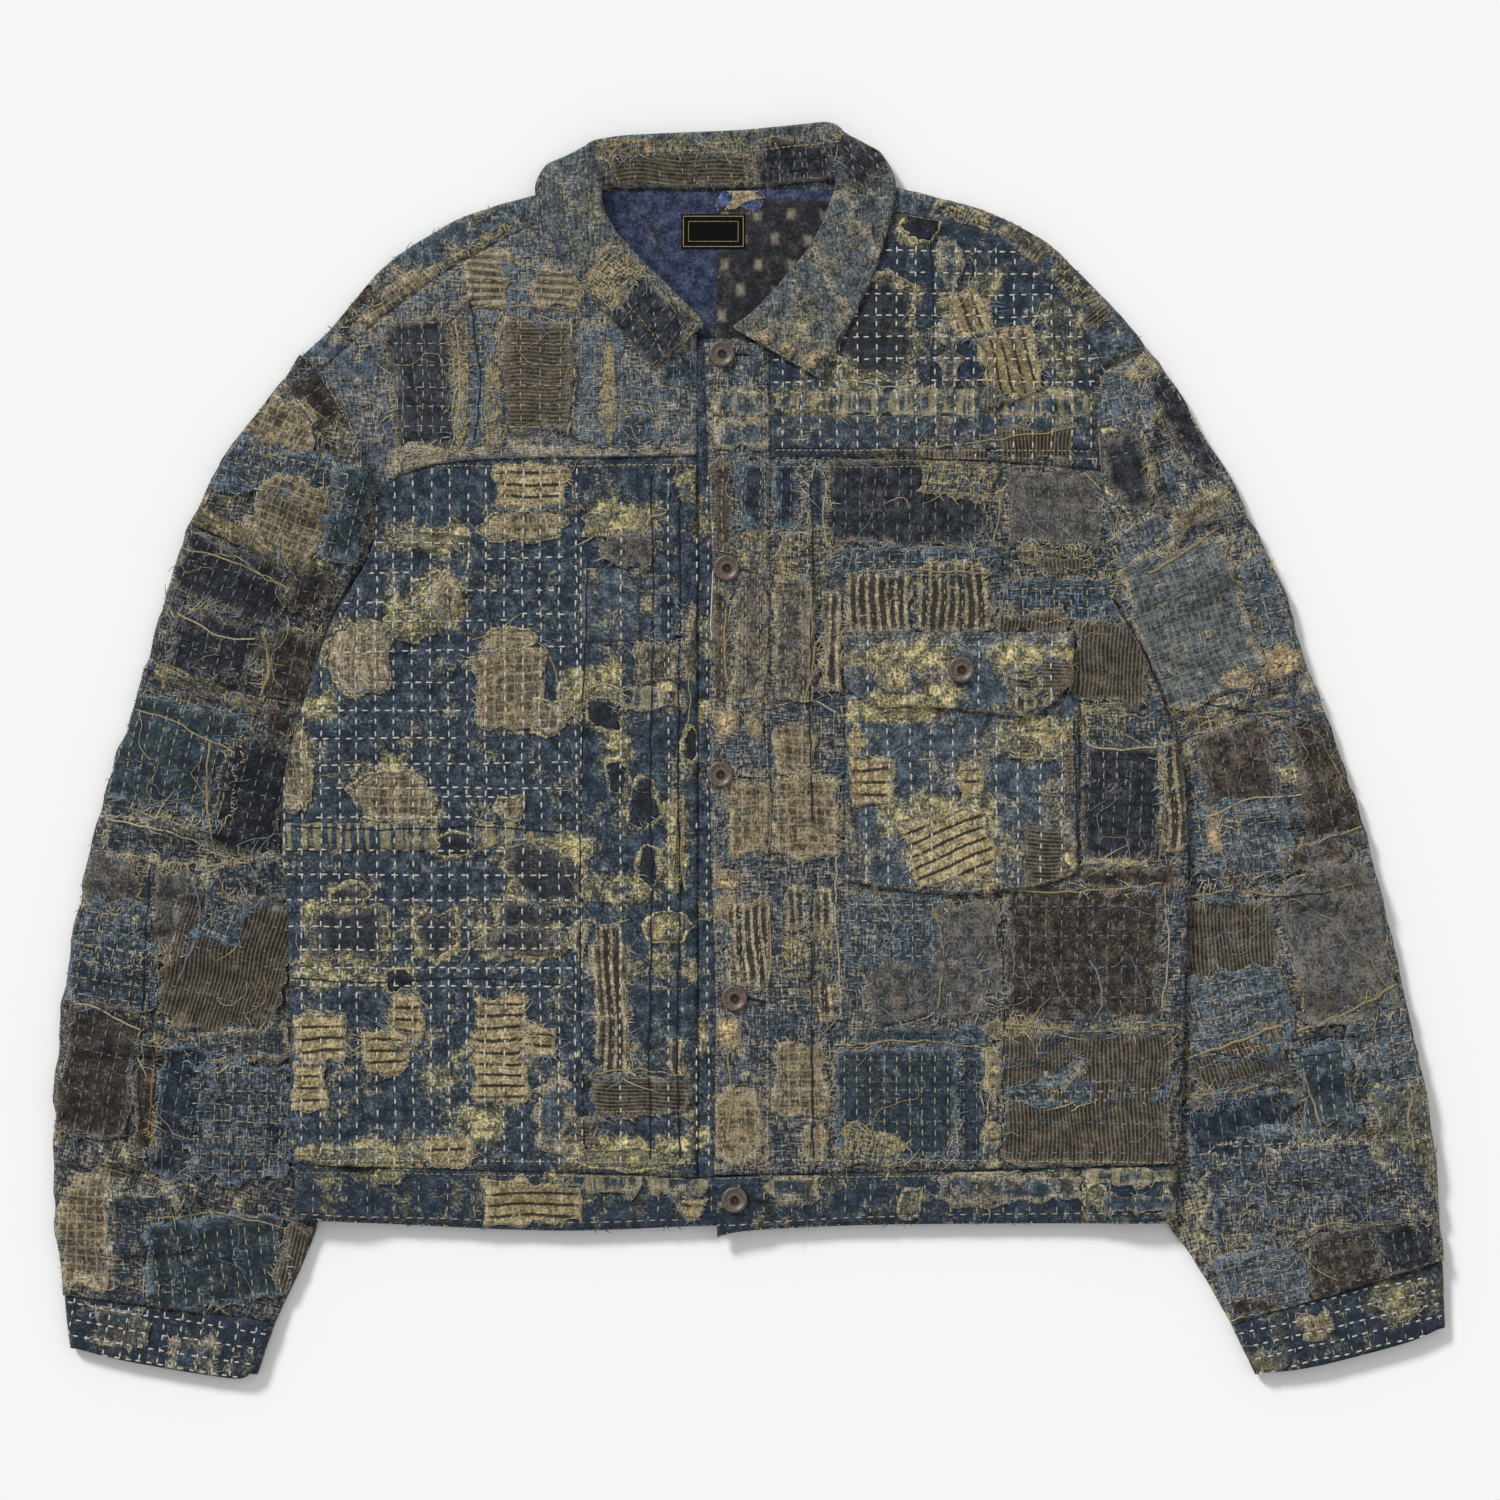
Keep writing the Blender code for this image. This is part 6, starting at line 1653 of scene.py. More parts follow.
        crest = spine + up * rise[None, :, None]
        points = np.stack([left, crest, right], axis=2).reshape(-1, 3)
        points[:, 2] = np.maximum(points[:, 2], LOWEST_Z)
        quads = grid_faces(4, 3)[:, ::-1 if self.below else 1]
        faces = (quads[None] + 12 * np.arange(len(low))[:, None, None]).reshape(-1, 4)
        return make_object(f"{self.node}_stitches{tail}", points, faces,
                           [yarn(k) for k in STITCH_YARNS], np.repeat(kinds, 6))


FRAY_YARNS = ("indigo_yarn", "blue_yarn", "cream_yarn", "gold_yarn")
# the last of these, shadow_yarn, is painted shadow: the dark cords laid in the folds
STITCH_YARNS = ("white_yarn", "cream_yarn", "blue_yarn", "gold_yarn", "rust_yarn", "black_yarn",
                "indigo_yarn", "shadow_yarn")
YARNS = {
    "white_yarn": ("d2cfc4", "b3b1a8"),
    "cream_yarn": ("bbae90", "8f8670"),
    "gold_yarn": ("a4956c", "7a6f55"),
    "blue_yarn": ("7f8c96", "5a6670"),
    "indigo_yarn": ("46525e", "313c47"),
    "rust_yarn": ("96683f", "6f4d30"),
    "black_yarn": ("22242a", "15171b"),
    # painted shadow: the colour of the dark cords that stand for shade in the folds
    "shadow_yarn": ("1d242d", "141a21"),
}


def yarn(name):
    """A yarn's material: two tones that change along it."""
    found = bpy.data.materials.get(name)
    if found:
        return found
    light, dark = YARNS[name]
    n = Nodes(name)
    grain = n.add("ShaderNodeUVMap", {}, uv_map="grain")
    fleck = n.noise(grain, 0.9, detail=2.0)
    n.tree.links.new(n.ramp(fleck, ((0.38, linear(dark)), (0.6, linear(light)))),
                     n.shader.inputs["Base Color"])
    n.shader.inputs["Roughness"].default_value = 0.85
    n.shader.inputs["Specular IOR Level"].default_value = 0.2
    n.shader.inputs["Sheen Weight"].default_value = 0.2
    return n.material


# Where the patches lie. Each row is the cloth, the box that it fills on the photograph's
# grid (left, top, right, lower side), its turn and its grain's turn in degrees, and how
# its edge is finished: sewn, frayed, worn away, torn round (blob), or a torn hole's edge.

PATCHES = {
    "front_right": (
        ("beige_lines", 494, 464, 568, 508, 0, 0, "frayed"),
        ("khaki_check", 484, 509, 569, 542, 2, 0, "blob"),
        ("brown_ribs", 567, 494, 584, 513, 0, 90, "worn"),
        ("yellow_worn", 583, 510, 649, 534, 3, 0, "blob"),
        ("grey", 601, 533, 652, 566, 0, 0, "worn"),
        ("faded_indigo", 582, 568, 640, 642, 0, 0, "sewn"),
        ("navy", 652, 590, 681, 642, 0, 0, "worn"),
        ("grey_brown", 636, 641, 678, 684, 2, 0, "frayed"),
        ("yellow_bars", 620, 685, 681, 712, 0, 0, "worn"),
        ("yellow_worn", 590, 690, 622, 702, 0, 0, "blob"),
        ("black_hole", 589, 698, 621, 729, 0, 0, "hole"),
        ("black_hole", 622, 689, 632, 703, 0, 0, "hole"),
        ("black_hole", 608, 760, 628, 792, 10, 0, "hole"),
        ("black_hole", 628, 786, 658, 826, 8, 0, "hole"),
        ("black_hole", 637, 778, 652, 791, 0, 0, "hole"),
        ("black_hole", 683, 731, 701, 760, 0, 0, "hole"),
        ("black_hole", 640, 848, 658, 888, -6, 0, "hole"),
        ("yellow_worn", 675, 800, 684, 895, -3, 0, "blob"),
        ("faded_indigo", 566, 700, 581, 727, 0, 0, "worn"),
        ("khaki_pale", 331, 623, 391, 690, 0, 0, "blob"),
        ("khaki_check", 484, 629, 532, 652, 0, 0, "blob"),
        ("khaki_check", 474, 650, 546, 728, 3, 0, "frayed"),
        ("khaki_check", 530, 700, 568, 734, 0, 0, "blob"),
        ("khaki_check", 359, 771, 440, 823, 0, 0, "blob"),
        ("khaki_check", 497, 797, 525, 820, 0, 0, "blob"),
        ("khaki_check", 279, 727, 309, 816, 4, 0, "blob"),
        ("yellow_worn", 412, 573, 452, 616, -40, 0, "blob"),
        ("yellow_worn", 386, 610, 440, 640, 8, 0, "blob"),
        ("khaki_check", 430, 578, 462, 612, -40, 0, "blob"),
        ("yellow_worn", 392, 533, 470, 546, -2, 0, "blob"),
        ("yellow_bars", 284, 823, 440, 850, 0, 0, "sewn"),
        ("yellow_bars", 470, 820, 528, 850, 0, 0, "worn"),
        ("yellow_worn", 560, 672, 588, 712, 0, 0, "blob"),
        ("black_hole", 437, 834, 472, 856, 0, 0, "hole"),
        ("black_check", 508, 846, 583, 906, 0, 0, "hole"),
        ("black_check", 494, 896, 548, 936, 0, 0, "hole"),
        ("black_check", 480, 925, 563, 958, 3, 0, "hole"),
        ("black_check", 330, 884, 367, 906, 0, 0, "hole"),
        ("black_check", 306, 902, 387, 962, 0, 0, "hole"),
        ("black_check", 416, 913, 458, 956, 0, 0, "hole"),
        ("black_hole", 386, 969, 416, 992, 0, 0, "hole"),
        ("beige_lines", 294, 1013, 347, 1062, 0, 0, "frayed"),
        ("beige_lines", 294, 1058, 326, 1112, 0, 0, "frayed"),
        ("beige_lines", 389, 992, 424, 1046, 0, 0, "frayed"),
        ("beige_lines", 364, 1030, 408, 1076, 0, 0, "frayed"),
        ("beige_lines", 472, 996, 530, 1105, 0, 0, "frayed"),
        ("beige_lines", 520, 1027, 558, 1057, -4, 0, "frayed"),
        ("beige_lines", 424, 1136, 473, 1166, 0, 0, "frayed"),
        ("yellow_worn", 314, 1155, 358, 1170, 0, 0, "blob"),
        ("yellow_worn", 358, 1150, 424, 1164, -4, 0, "blob"),
        ("beige_lines", 294, 1146, 318, 1160, 0, 0, "worn"),
        ("faded_indigo", 536, 1085, 571, 1150, 0, 0, "worn"),
        ("dark_beige", 594, 920, 629, 1082, 2, 0, "frayed"),
        ("dark_beige", 570, 924, 588, 950, 0, 0, "worn"),
        ("yellow_worn", 645, 910, 688, 942, 0, 0, "blob"),
        ("dark_beige", 692, 961, 709, 1006, 8, 0, "worn"),
        ("dark_beige", 665, 1036, 689, 1078, 0, 0, "worn"),
        ("brown_ribs", 592, 1076, 690, 1116, 0, 90, "frayed"),
        ("brown_ribs", 569, 1118, 598, 1144, 0, 90, "worn"),
        ("yellow_worn", 582, 1150, 678, 1168, 0, 0, "blob"),
        ("brown_ribs", 672, 462, 712, 482, 0, 90, "worn"),
        ("yellow_worn", 680, 470, 706, 500, -20, 0, "blob"),
        ("olive", 683, 606, 708, 680, -6, 0, "worn"),
    ),
    "front_yoke_right": (
        ("blue_mottled", 452, 306, 500, 450, 0, 0, "worn"),
        ("black", 391, 319, 455, 452, 6, 0, "frayed"),
        ("beige_dark", 464, 249, 509, 309, 0, 90, "frayed"),
        ("blue_mottled", 505, 262, 534, 330, 0, 0, "worn"),
        ("beige_dark", 531, 267, 581, 308, -3, 90, "frayed"),
        ("gold_mottled", 452, 310, 468, 440, 0, 0, "blob"),
        ("brown_ribs", 449, 303, 471, 356, 0, 90, "frayed"),
        ("brown_ribs", 503, 319, 573, 433, 0, 90, "frayed"),
        ("gold_mottled", 484, 360, 502, 450, 0, 0, "blob"),
        ("blue_mottled", 580, 330, 625, 445, 0, 0, "worn"),
        ("gold_mottled", 600, 345, 616, 440, 0, 0, "blob"),
        ("navy", 617, 413, 658, 458, 0, 0, "worn"),
        ("navy", 662, 352, 700, 385, 0, 0, "worn"),
        ("faded_indigo", 395, 449, 700, 464, 0, 0, "worn"),
    ),
    "front_yoke_left": (
        ("yellow_bars", 772, 391, 1092, 416, -1, 0, "worn"),
        ("faded_indigo", 772, 416, 1094, 448, 0, 0, "sewn"),
        ("faded_indigo", 940, 240, 960, 392, 0, 0, "worn"),
        ("black_check", 836, 278, 918, 380, -4, 0, "hole"),
        ("black_hole", 902, 214, 940, 241, 0, 0, "hole"),
        ("beige_stripe", 950, 290, 988, 338, 20, 0, "frayed"),
        ("beige_stripe", 981, 328, 1040, 398, 14, 0, "frayed"),
        ("brown_ribs", 983, 390, 1009, 407, 0, 0, "worn"),
        ("brown_ribs", 994, 426, 1078, 463, 0, 0, "worn"),
        ("brown_ribs", 920, 448, 996, 463, 0, 0, "worn"),
    ),
    "front_left": (
        ("navy", 772, 461, 800, 530, 0, 0, "frayed"),
        ("navy", 808, 468, 828, 544, 0, 0, "frayed"),
        ("black", 825, 459, 986, 547, -2, 0, "frayed"),
        ("gold_mottled", 918, 459, 998, 500, -8, 0, "frayed"),
        ("grey", 1006, 470, 1106, 545, -2, 0, "frayed"),
        ("gold_mottled", 778, 530, 836, 580, 0, 0, "frayed"),
        ("blue_mottled", 830, 546, 1000, 576, 0, 0, "frayed"),
        ("dark_beige", 842, 572, 914, 634, 0, 0, "frayed"),
        ("dark_beige", 913, 562, 994, 634, 0, 0, "frayed"),
        ("gold_mottled", 992, 546, 1100, 560, 0, 0, "worn"),
        ("brown_ribs", 1037, 555, 1090, 573, 0, 0, "frayed"),
        ("blue_mottled", 996, 576, 1116, 622, 0, 0, "frayed"),
        ("brown_ribs", 1070, 618, 1152, 706, -5, 0, "worn"),
        ("brown_ribs", 992, 610, 1072, 634, 0, 0, "worn"),
        ("gold_mottled", 1078, 706, 1128, 784, 0, 0, "frayed"),
        ("grey_brown", 773, 574, 815, 702, 0, 0, "frayed"),
        ("dark_beige", 822, 590, 842, 690, 0, 0, "frayed"),
        ("khaki_check", 773, 722, 815, 778, 0, 0, "frayed"),
        ("khaki_check", 773, 776, 838, 858, 0, 0, "frayed"),
        ("black", 1080, 744, 1162, 862, -3, 0, "frayed"),
        ("dark_beige", 1158, 742, 1190, 852, 3, 0, "frayed"),
        ("brown", 1078, 866, 1180, 893, 0, 0, "frayed"),
        ("beige_plain", 1080, 856, 1150, 868, -2, 0, "worn"),
        ("dark_beige", 783, 886, 810, 930, 0, 0, "worn"),
        ("dark_beige", 811, 890, 836, 954, 0, 0, "frayed"),
        ("dark_beige", 810, 978, 838, 1022, 0, 0, "frayed"),
        ("gold_mottled", 780, 930, 834, 976, 0, 0, "worn"),
        ("blue_mottled", 845, 893, 945, 968, 0, 0, "worn"),
        ("grey", 934, 904, 1003, 992, 0, 0, "worn"),
        ("grey", 866, 962, 986, 1018, 3, 0, "frayed"),
        ("brown", 1003, 886, 1164, 1020, -2, 0, "frayed"),
        ("teal", 850, 1024, 992, 1048, 0, 0, "worn"),
        ("teal_check", 836, 1045, 958, 1162, 0, 0, "frayed"),
        ("navy", 955, 1040, 987, 1162, 0, 0, "worn"),
        ("beige_stripe", 985, 1050, 1001, 1166, 0, 90, "worn"),
        ("brown_ribs", 999, 1030, 1174, 1167, 0, 0, "frayed"),
        ("faded_indigo", 1040, 1046, 1078, 1086, 40, 0, "frayed"),
        ("blue_mottled", 1004, 1078, 1172, 1104, 2, 0, "frayed"),
        ("gold_mottled", 985, 1020, 1190, 1036, 1, 0, "frayed"),
        ("khaki_check", 773, 1040, 827, 1120, 0, 0, "frayed"),
        ("khaki_check", 802, 1122, 828, 1168, 0, 0, "blob"),
        ("gold_mottled", 840, 1130, 905, 1166, -12, 0, "worn"),
    ),
    "placket_left": (
        ("brown", 711, 463, 736, 547, 0, 0, "worn"),
        ("navy", 735, 461, 771, 530, 0, 0, "frayed"),
        ("gold_mottled", 738, 534, 771, 574, 0, 0, "worn"),
        ("brown", 711, 584, 731, 702, 0, 0, "worn"),
        ("grey_brown", 734, 567, 768, 703, 0, 0, "frayed"),
        ("cream_worn", 713, 710, 738, 738, 0, 0, "blob"),
        ("cream_worn", 745, 712, 762, 738, 0, 0, "blob"),
        ("khaki_check", 727, 780, 769, 855, 0, 0, "frayed"),
        ("cream_worn", 712, 870, 741, 891, 0, 0, "blob"),
        ("cream_worn", 716, 894, 738, 928, 0, 0, "blob"),
        ("dark_beige", 727, 901, 772, 988, 0, 0, "frayed"),
        ("cream_worn", 714, 1018, 742, 1050, 0, 0, "blob"),
        ("khaki_check", 711, 1090, 768, 1170, 0, 0, "blob"),
        ("yellow_bars", 713, 390, 771, 418, 0, 0, "worn"),
        ("faded_indigo", 713, 418, 771, 450, 0, 0, "worn"),
    ),
    "pocket": (
        ("beige_lines", 850, 727, 864, 753, 0, 0, "worn"),
        ("beige_lines", 851, 754, 893, 806, 0, 0, "frayed"),
        ("beige_lines", 959, 765, 984, 800, 0, 0, "frayed"),
        ("yellow_worn", 1006, 727, 1060, 757, 0, 0, "blob"),
        ("brown_ribs", 1010, 735, 1034, 756, 0, 90, "hole"),
        ("beige_lines", 905, 812, 994, 884, 12, -12, "frayed"),
        ("brown_ribs", 1022, 825, 1065, 888, 0, 90, "worn"),
        ("brown_ribs", 1063, 737, 1077, 782, 0, 90, "worn"),
        ("yellow_worn", 884, 710, 922, 716, 0, 0, "blob"),
    ),
    "pocket_flap": (
        ("yellow_worn", 878, 658, 910, 694, 0, 0, "blob"),
        ("brown_ribs", 1006, 673, 1038, 694, 0, 90, "hole"),
        ("brown_ribs", 1040, 657, 1070, 695, 0, 90, "worn"),
        ("dark_beige", 1009, 693, 1054, 712, 0, 0, "worn"),
        ("yellow_worn", 1004, 662, 1040, 676, 0, 0, "blob"),
    ),
    "waistband": (
        ("yellow_worn", 378, 1168, 402, 1184, 0, 0, "blob"),
        ("beige_lines", 484, 1180, 582, 1226, 0, 0, "worn"),
        ("yellow_bars", 560, 1168, 706, 1192, 0, 0, "worn"),
        ("beige_lines", 674, 1198, 706, 1220, 0, 0, "worn"),
        ("yellow_bars", 764, 1176, 820, 1200, 0, 0, "worn"),
        ("yellow_worn", 899, 1188, 922, 1216, 0, 0, "blob"),
        ("faded_indigo", 938, 1174, 1082, 1202, 0, 0, "worn"),
        ("yellow_bars", 1083, 1166, 1176, 1186, 0, 0, "worn"),
        ("yellow_worn", 1083, 1186, 1104, 1206, 0, 0, "blob"),
        ("faded_indigo", 1100, 1190, 1176, 1216, 0, 0, "worn"),
    ),
    "sleeve_right": (
        ("brown_ribs", 320, 282, 352, 356, -48, 0, "worn"),
        ("brown", 286, 372, 352, 424, -52, 0, "frayed"),
        ("cream_worn", 330, 362, 352, 398, -20, 0, "blob"),
        ("khaki_check", 236, 392, 312, 462, -25, 0, "blob"),
        ("blue_mottled", 206, 448, 360, 500, -14, 0, "worn"),
        ("khaki_check", 250, 476, 334, 562, -18, 0, "blob"),
        ("teal", 328, 470, 368, 560, -14, 0, "worn"),
        ("khaki_band", 190, 534, 318, 552, -26, 0, "sewn"),
        ("black", 176, 548, 290, 612, -22, 0, "frayed"),
        ("brown", 288, 568, 328, 614, -14, 0, "worn"),
        ("black", 168, 614, 256, 690, -14, 0, "frayed"),
        ("brown", 266, 632, 330, 704, -14, 0, "frayed"),
        ("khaki_band", 152, 680, 264, 698, -20, 0, "sewn"),
        ("teal", 106, 700, 240, 812, -12, 0, "frayed"),
        ("brown", 262, 706, 300, 738, -10, 0, "worn"),
        ("black", 214, 738, 288, 858, -14, 0, "frayed"),
        ("mottled", 100, 818, 212, 862, -8, 0, "frayed"),
        ("grey", 84, 852, 138, 912, -6, 0, "worn"),
        ("grey", 152, 870, 190, 956, -6, 0, "worn"),
        ("mottled", 204, 858, 286, 904, 10, 0, "frayed"),
        ("brown_ribs", 166, 896, 288, 1034, -14, 0, "frayed"),
        ("blue_mottled", 202, 894, 244, 944, -20, 0, "worn"),
        ("blue_mottled", 84, 904, 150, 960, -8, 0, "worn"),
        ("blue_mottled", 66, 936, 162, 1010, -8, 0, "frayed"),
        ("brown", 60, 1002, 138, 1138, -10, 0, "frayed"),
        ("brown", 135, 1036, 158, 1160, -4, 0, "frayed"),
        ("mottled", 190, 1028, 292, 1062, 4, 0, "frayed"),
        ("navy", 154, 1044, 210, 1180, -8, 0, "frayed"),
        ("blue_mottled", 188, 1062, 292, 1182, -2, 0, "worn"),
        ("navy", 262, 1090, 296, 1164, 0, 0, "worn"),
        ("khaki_check", 56, 1166, 112, 1292, -4, 0, "blob"),
        ("mottled", 110, 1188, 178, 1288, 0, 0, "worn"),
        ("teal_check", 146, 1216, 286, 1306, 6, 0, "frayed"),
        ("brown_ribs", 282, 1226, 318, 1290, -14, 0, "worn"),
    ),
    "sleeve_left": (
        ("blue_mottled", 1096, 364, 1150, 430, 10, 0, "worn"),
        ("khaki_band", 1130, 358, 1160, 378, 36, 0, "worn"),
        ("black", 1164, 362, 1202, 476, 26, 0, "frayed"),
        ("black", 1106, 424, 1148, 522, 14, 0, "hole"),
        ("khaki_band", 1166, 500, 1232, 522, 28, 0, "frayed"),
        ("mottled", 1110, 520, 1176, 560, 26, 0, "frayed"),
        ("fine_check", 1136, 546, 1248, 702, 17, 0, "frayed"),
        ("blue_mottled", 1250, 552, 1296, 656, 14, 0, "worn"),
        ("cream_worn", 1262, 646, 1304, 676, 8, 0, "blob"),
        ("cream_worn", 1220, 668, 1262, 690, 10, 0, "blob"),
        ("brown", 1180, 712, 1220, 734, 16, 0, "worn"),
        ("brown", 1200, 724, 1276, 820, 12, 0, "frayed"),
        ("brown", 1296, 712, 1362, 842, 12, 0, "frayed"),
        ("mottled", 1260, 690, 1330, 716, 12, 0, "worn"),
        ("blue_mottled", 1190, 800, 1290, 884, 8, 0, "frayed"),
        ("cream_worn", 1206, 806, 1222, 856, 8, 0, "blob"),
        ("navy", 1186, 866, 1226, 900, 0, 0, "worn"),
        ("brown", 1222, 868, 1252, 892, 8, 0, "worn"),
        ("brown", 1280, 840, 1350, 870, 14, 0, "worn"),
        ("grey", 1288, 866, 1388, 1022, 12, 0, "frayed"),
        ("brown_ribs", 1186, 900, 1278, 1000, 3, 0, "frayed"),
        ("blue_mottled", 1188, 968, 1290, 1060, 10, 0, "frayed"),
        ("brown_ribs", 1188, 1030, 1286, 1086, 18, 0, "frayed"),
        ("grey", 1182, 1080, 1300, 1094, 22, 0, "frayed"),
        ("navy", 1184, 1092, 1298, 1160, 10, 0, "worn"),
        ("teal", 1296, 1044, 1356, 1136, 8, 0, "worn"),
        ("blue_mottled", 1346, 1000, 1424, 1092, 8, 0, "worn"),
        ("olive", 1372, 1086, 1436, 1178, 6, 0, "worn"),
        ("mottled", 1200, 1140, 1436, 1232, 4, 0, "worn"),
        ("blue_mottled", 1230, 1130, 1330, 1210, 6, 0, "worn"),
        ("navy", 1212, 1198, 1266, 1248, 4, 0, "frayed"),
        ("brown", 1308, 1230, 1386, 1304, 12, 0, "frayed"),
        ("black", 1372, 1218, 1440, 1276, 8, 0, "worn"),
        ("blue_mottled", 1216, 1250, 1312, 1322, 14, 0, "worn"),
        ("brown", 1228, 1294, 1278, 1342, 0, 0, "hole"),
    ),
    "cuff_right": (
        ("faded_indigo", 92, 1306, 140, 1350, -6, 0, "worn"),
        ("yellow_worn", 128, 1318, 150, 1348, -8, 0, "blob"),
        ("faded_indigo", 170, 1340, 216, 1376, -8, 0, "worn"),
    ),
    "cuff_left": (
        ("khaki_check", 1300, 1312, 1334, 1342, 12, 0, "blob"),
        ("yellow_worn", 1382, 1286, 1420, 1320, 14, 0, "blob"),
        ("yellow_worn", 1240, 1350, 1290, 1378, 14, 0, "blob"),
    ),
    "collar": (
        ("black", 606, 286, 688, 356, -38, 0, "frayed"),
        ("gold_mottled", 590, 252, 636, 302, -35, 0, "frayed"),
        ("khaki_band", 690, 151, 752, 186, 0, 90, "worn"),
        ("brown_ribs", 610, 152, 752, 188, 0, 90, "worn"),
        ("black", 756, 140, 832, 184, 2, 0, "frayed"),
        ("gold_mottled", 600, 142, 746, 154, 0, 0, "frayed"),
        ("black", 832, 126, 886, 186, 40, 0, "frayed"),
        ("collar_fine", 826, 196, 884, 344, 28, 0, "worn"),
        ("cream_worn", 752, 330, 776, 346, 30, 0, "blob"),
        ("cream_worn", 778, 340, 796, 358, 30, 0, "blob"),
        ("cream_worn", 798, 352, 822, 368, 30, 0, "blob"),
    ),
    "neck_lining": (
        ("ikat", 717, 200, 835, 400, 0, 0, "sewn"),
        ("lining_bright", 717, 176, 760, 208, 0, 0, "worn"),
        ("beige_plain", 728, 184, 760, 206, 10, 0, "worn"),
    ),
    "back_yoke": (
        ("khaki_check", 352, 280, 448, 318, 38, 0, "blob"),
        ("brown", 330, 292, 384, 318, 42, 0, "worn"),
        ("gold_mottled", 440, 240, 520, 262, 26, 0, "worn"),
        ("gold_mottled", 930, 196, 1000, 222, -24, 0, "worn"),
        ("grey_brown", 1000, 222, 1052, 256, -38, 0, "worn"),
        ("gold_mottled", 1050, 262, 1100, 300, -46, 0, "frayed"),
        ("brown_ribs", 1084, 300, 1112, 330, -46, 0, "worn"),
    ),
}


# How each kind of patch is stitched down: space between rows, pitch and length of a
# stitch in millimetres, its yarn, and whether a second set of rows crosses the first.
KIND_STITCHES = {
    "black": (8.6, 7.2, 4.7, "blue", False),
    "navy": (9.0, 7.4, 4.8, "blue", False),
    "brown": (9.5, 7.0, 4.4, "blue", False),
    "grey": (10.5, 6.8, 4.0, "blue", False),
    "grey_brown": (11.0, 6.8, 4.0, "cream", False),
    "teal": (8.8, 6.6, 4.3, "cream", False),
    "teal_check": (8.6, 6.8, 4.3, "cream", False),
    "gold_mottled": (10.0, 6.8, 4.3, "cream", False),
    "blue_mottled": (11.0, 7.0, 4.2, "cream", True),
    "olive": (10.0, 7.0, 3.4, "cream", False),
    "fine_check": (11.0, 7.0, 3.4, "blue", False),
    "khaki_check": (12.0, 7.4, 3.6, "cream", False),
    "dark_beige": (13.0, 7.4, 3.4, "cream", False),
}

# Fields of stitches: box on the photograph's grid, space between rows, upright or level,
# pitch, length, yarn and turn.
STITCH_FIELDS = {
    "front_right": (
        ((276, 462, 586, 1166), 11.65, True, 7.6, 4.2, "white", 0),
    ),
    "front_yoke_right": (
        ((392, 250, 690, 458), 13.0, True, 7.4, 4.0, "cream", 0),
        ((392, 250, 690, 458), 13.0, False, 7.4, 4.0, "cream", 0),
    ),
    "front_yoke_left": (
        ((772, 240, 1100, 392), 13.4, False, 7.2, 4.0, "white", 0),
        ((772, 240, 1100, 462), 12.6, True, 7.8, 4.0, "white", 0),
    ),
    "front_left": (
        ((773, 890, 1190, 1168), 20.0, False, 7.4, 3.4, "blue", 0),
    ),
    "placket_left": (
        ((714, 340, 770, 1172), 12.0, True, 7.2, 3.6, "cream", 0),
    ),
    "placket_right": (
        ((700, 470, 716, 1168), 9.0, True, 7.2, 3.6, "white", 0),
    ),
    "pocket": (
        ((856, 716, 1072, 886), 13.6, True, 7.4, 4.2, "white", 0),
    ),
    "pocket_flap": (
        ((850, 634, 1070, 706), 22.0, True, 7.4, 4.2, "white", 0),
    ),
    "waistband": (
        ((300, 1172, 1176, 1214), 17.0, True, 7.2, 3.8, "cream", 0),
    ),
    "sleeve_right": (
        ((60, 470, 340, 1300), 26.0, False, 7.4, 3.4, "blue", -15),
    ),
    "sleeve_left": (
        ((1160, 400, 1440, 1300), 26.0, False, 7.4, 3.4, "blue", 15),
    ),
    "cuff_right": (
        ((60, 1296, 280, 1390), 9.5, False, 7.0, 3.8, "white", -9),
        ((60, 1296, 280, 1390), 11.5, True, 7.4, 3.6, "white", -9),
    ),
    "cuff_left": (
        ((1230, 1290, 1450, 1390), 9.5, False, 7.0, 3.8, "white", 13),
        ((1230, 1290, 1450, 1390), 11.5, True, 7.4, 3.6, "cream", 13),
    ),
    "collar": (
        ((540, 140, 900, 390), 15.0, True, 7.4, 3.6, "cream", 8),
    ),
    "back_yoke": (
        ((340, 180, 1110, 330), 15.0, True, 7.6, 4.0, "cream", 0),
    ),
}

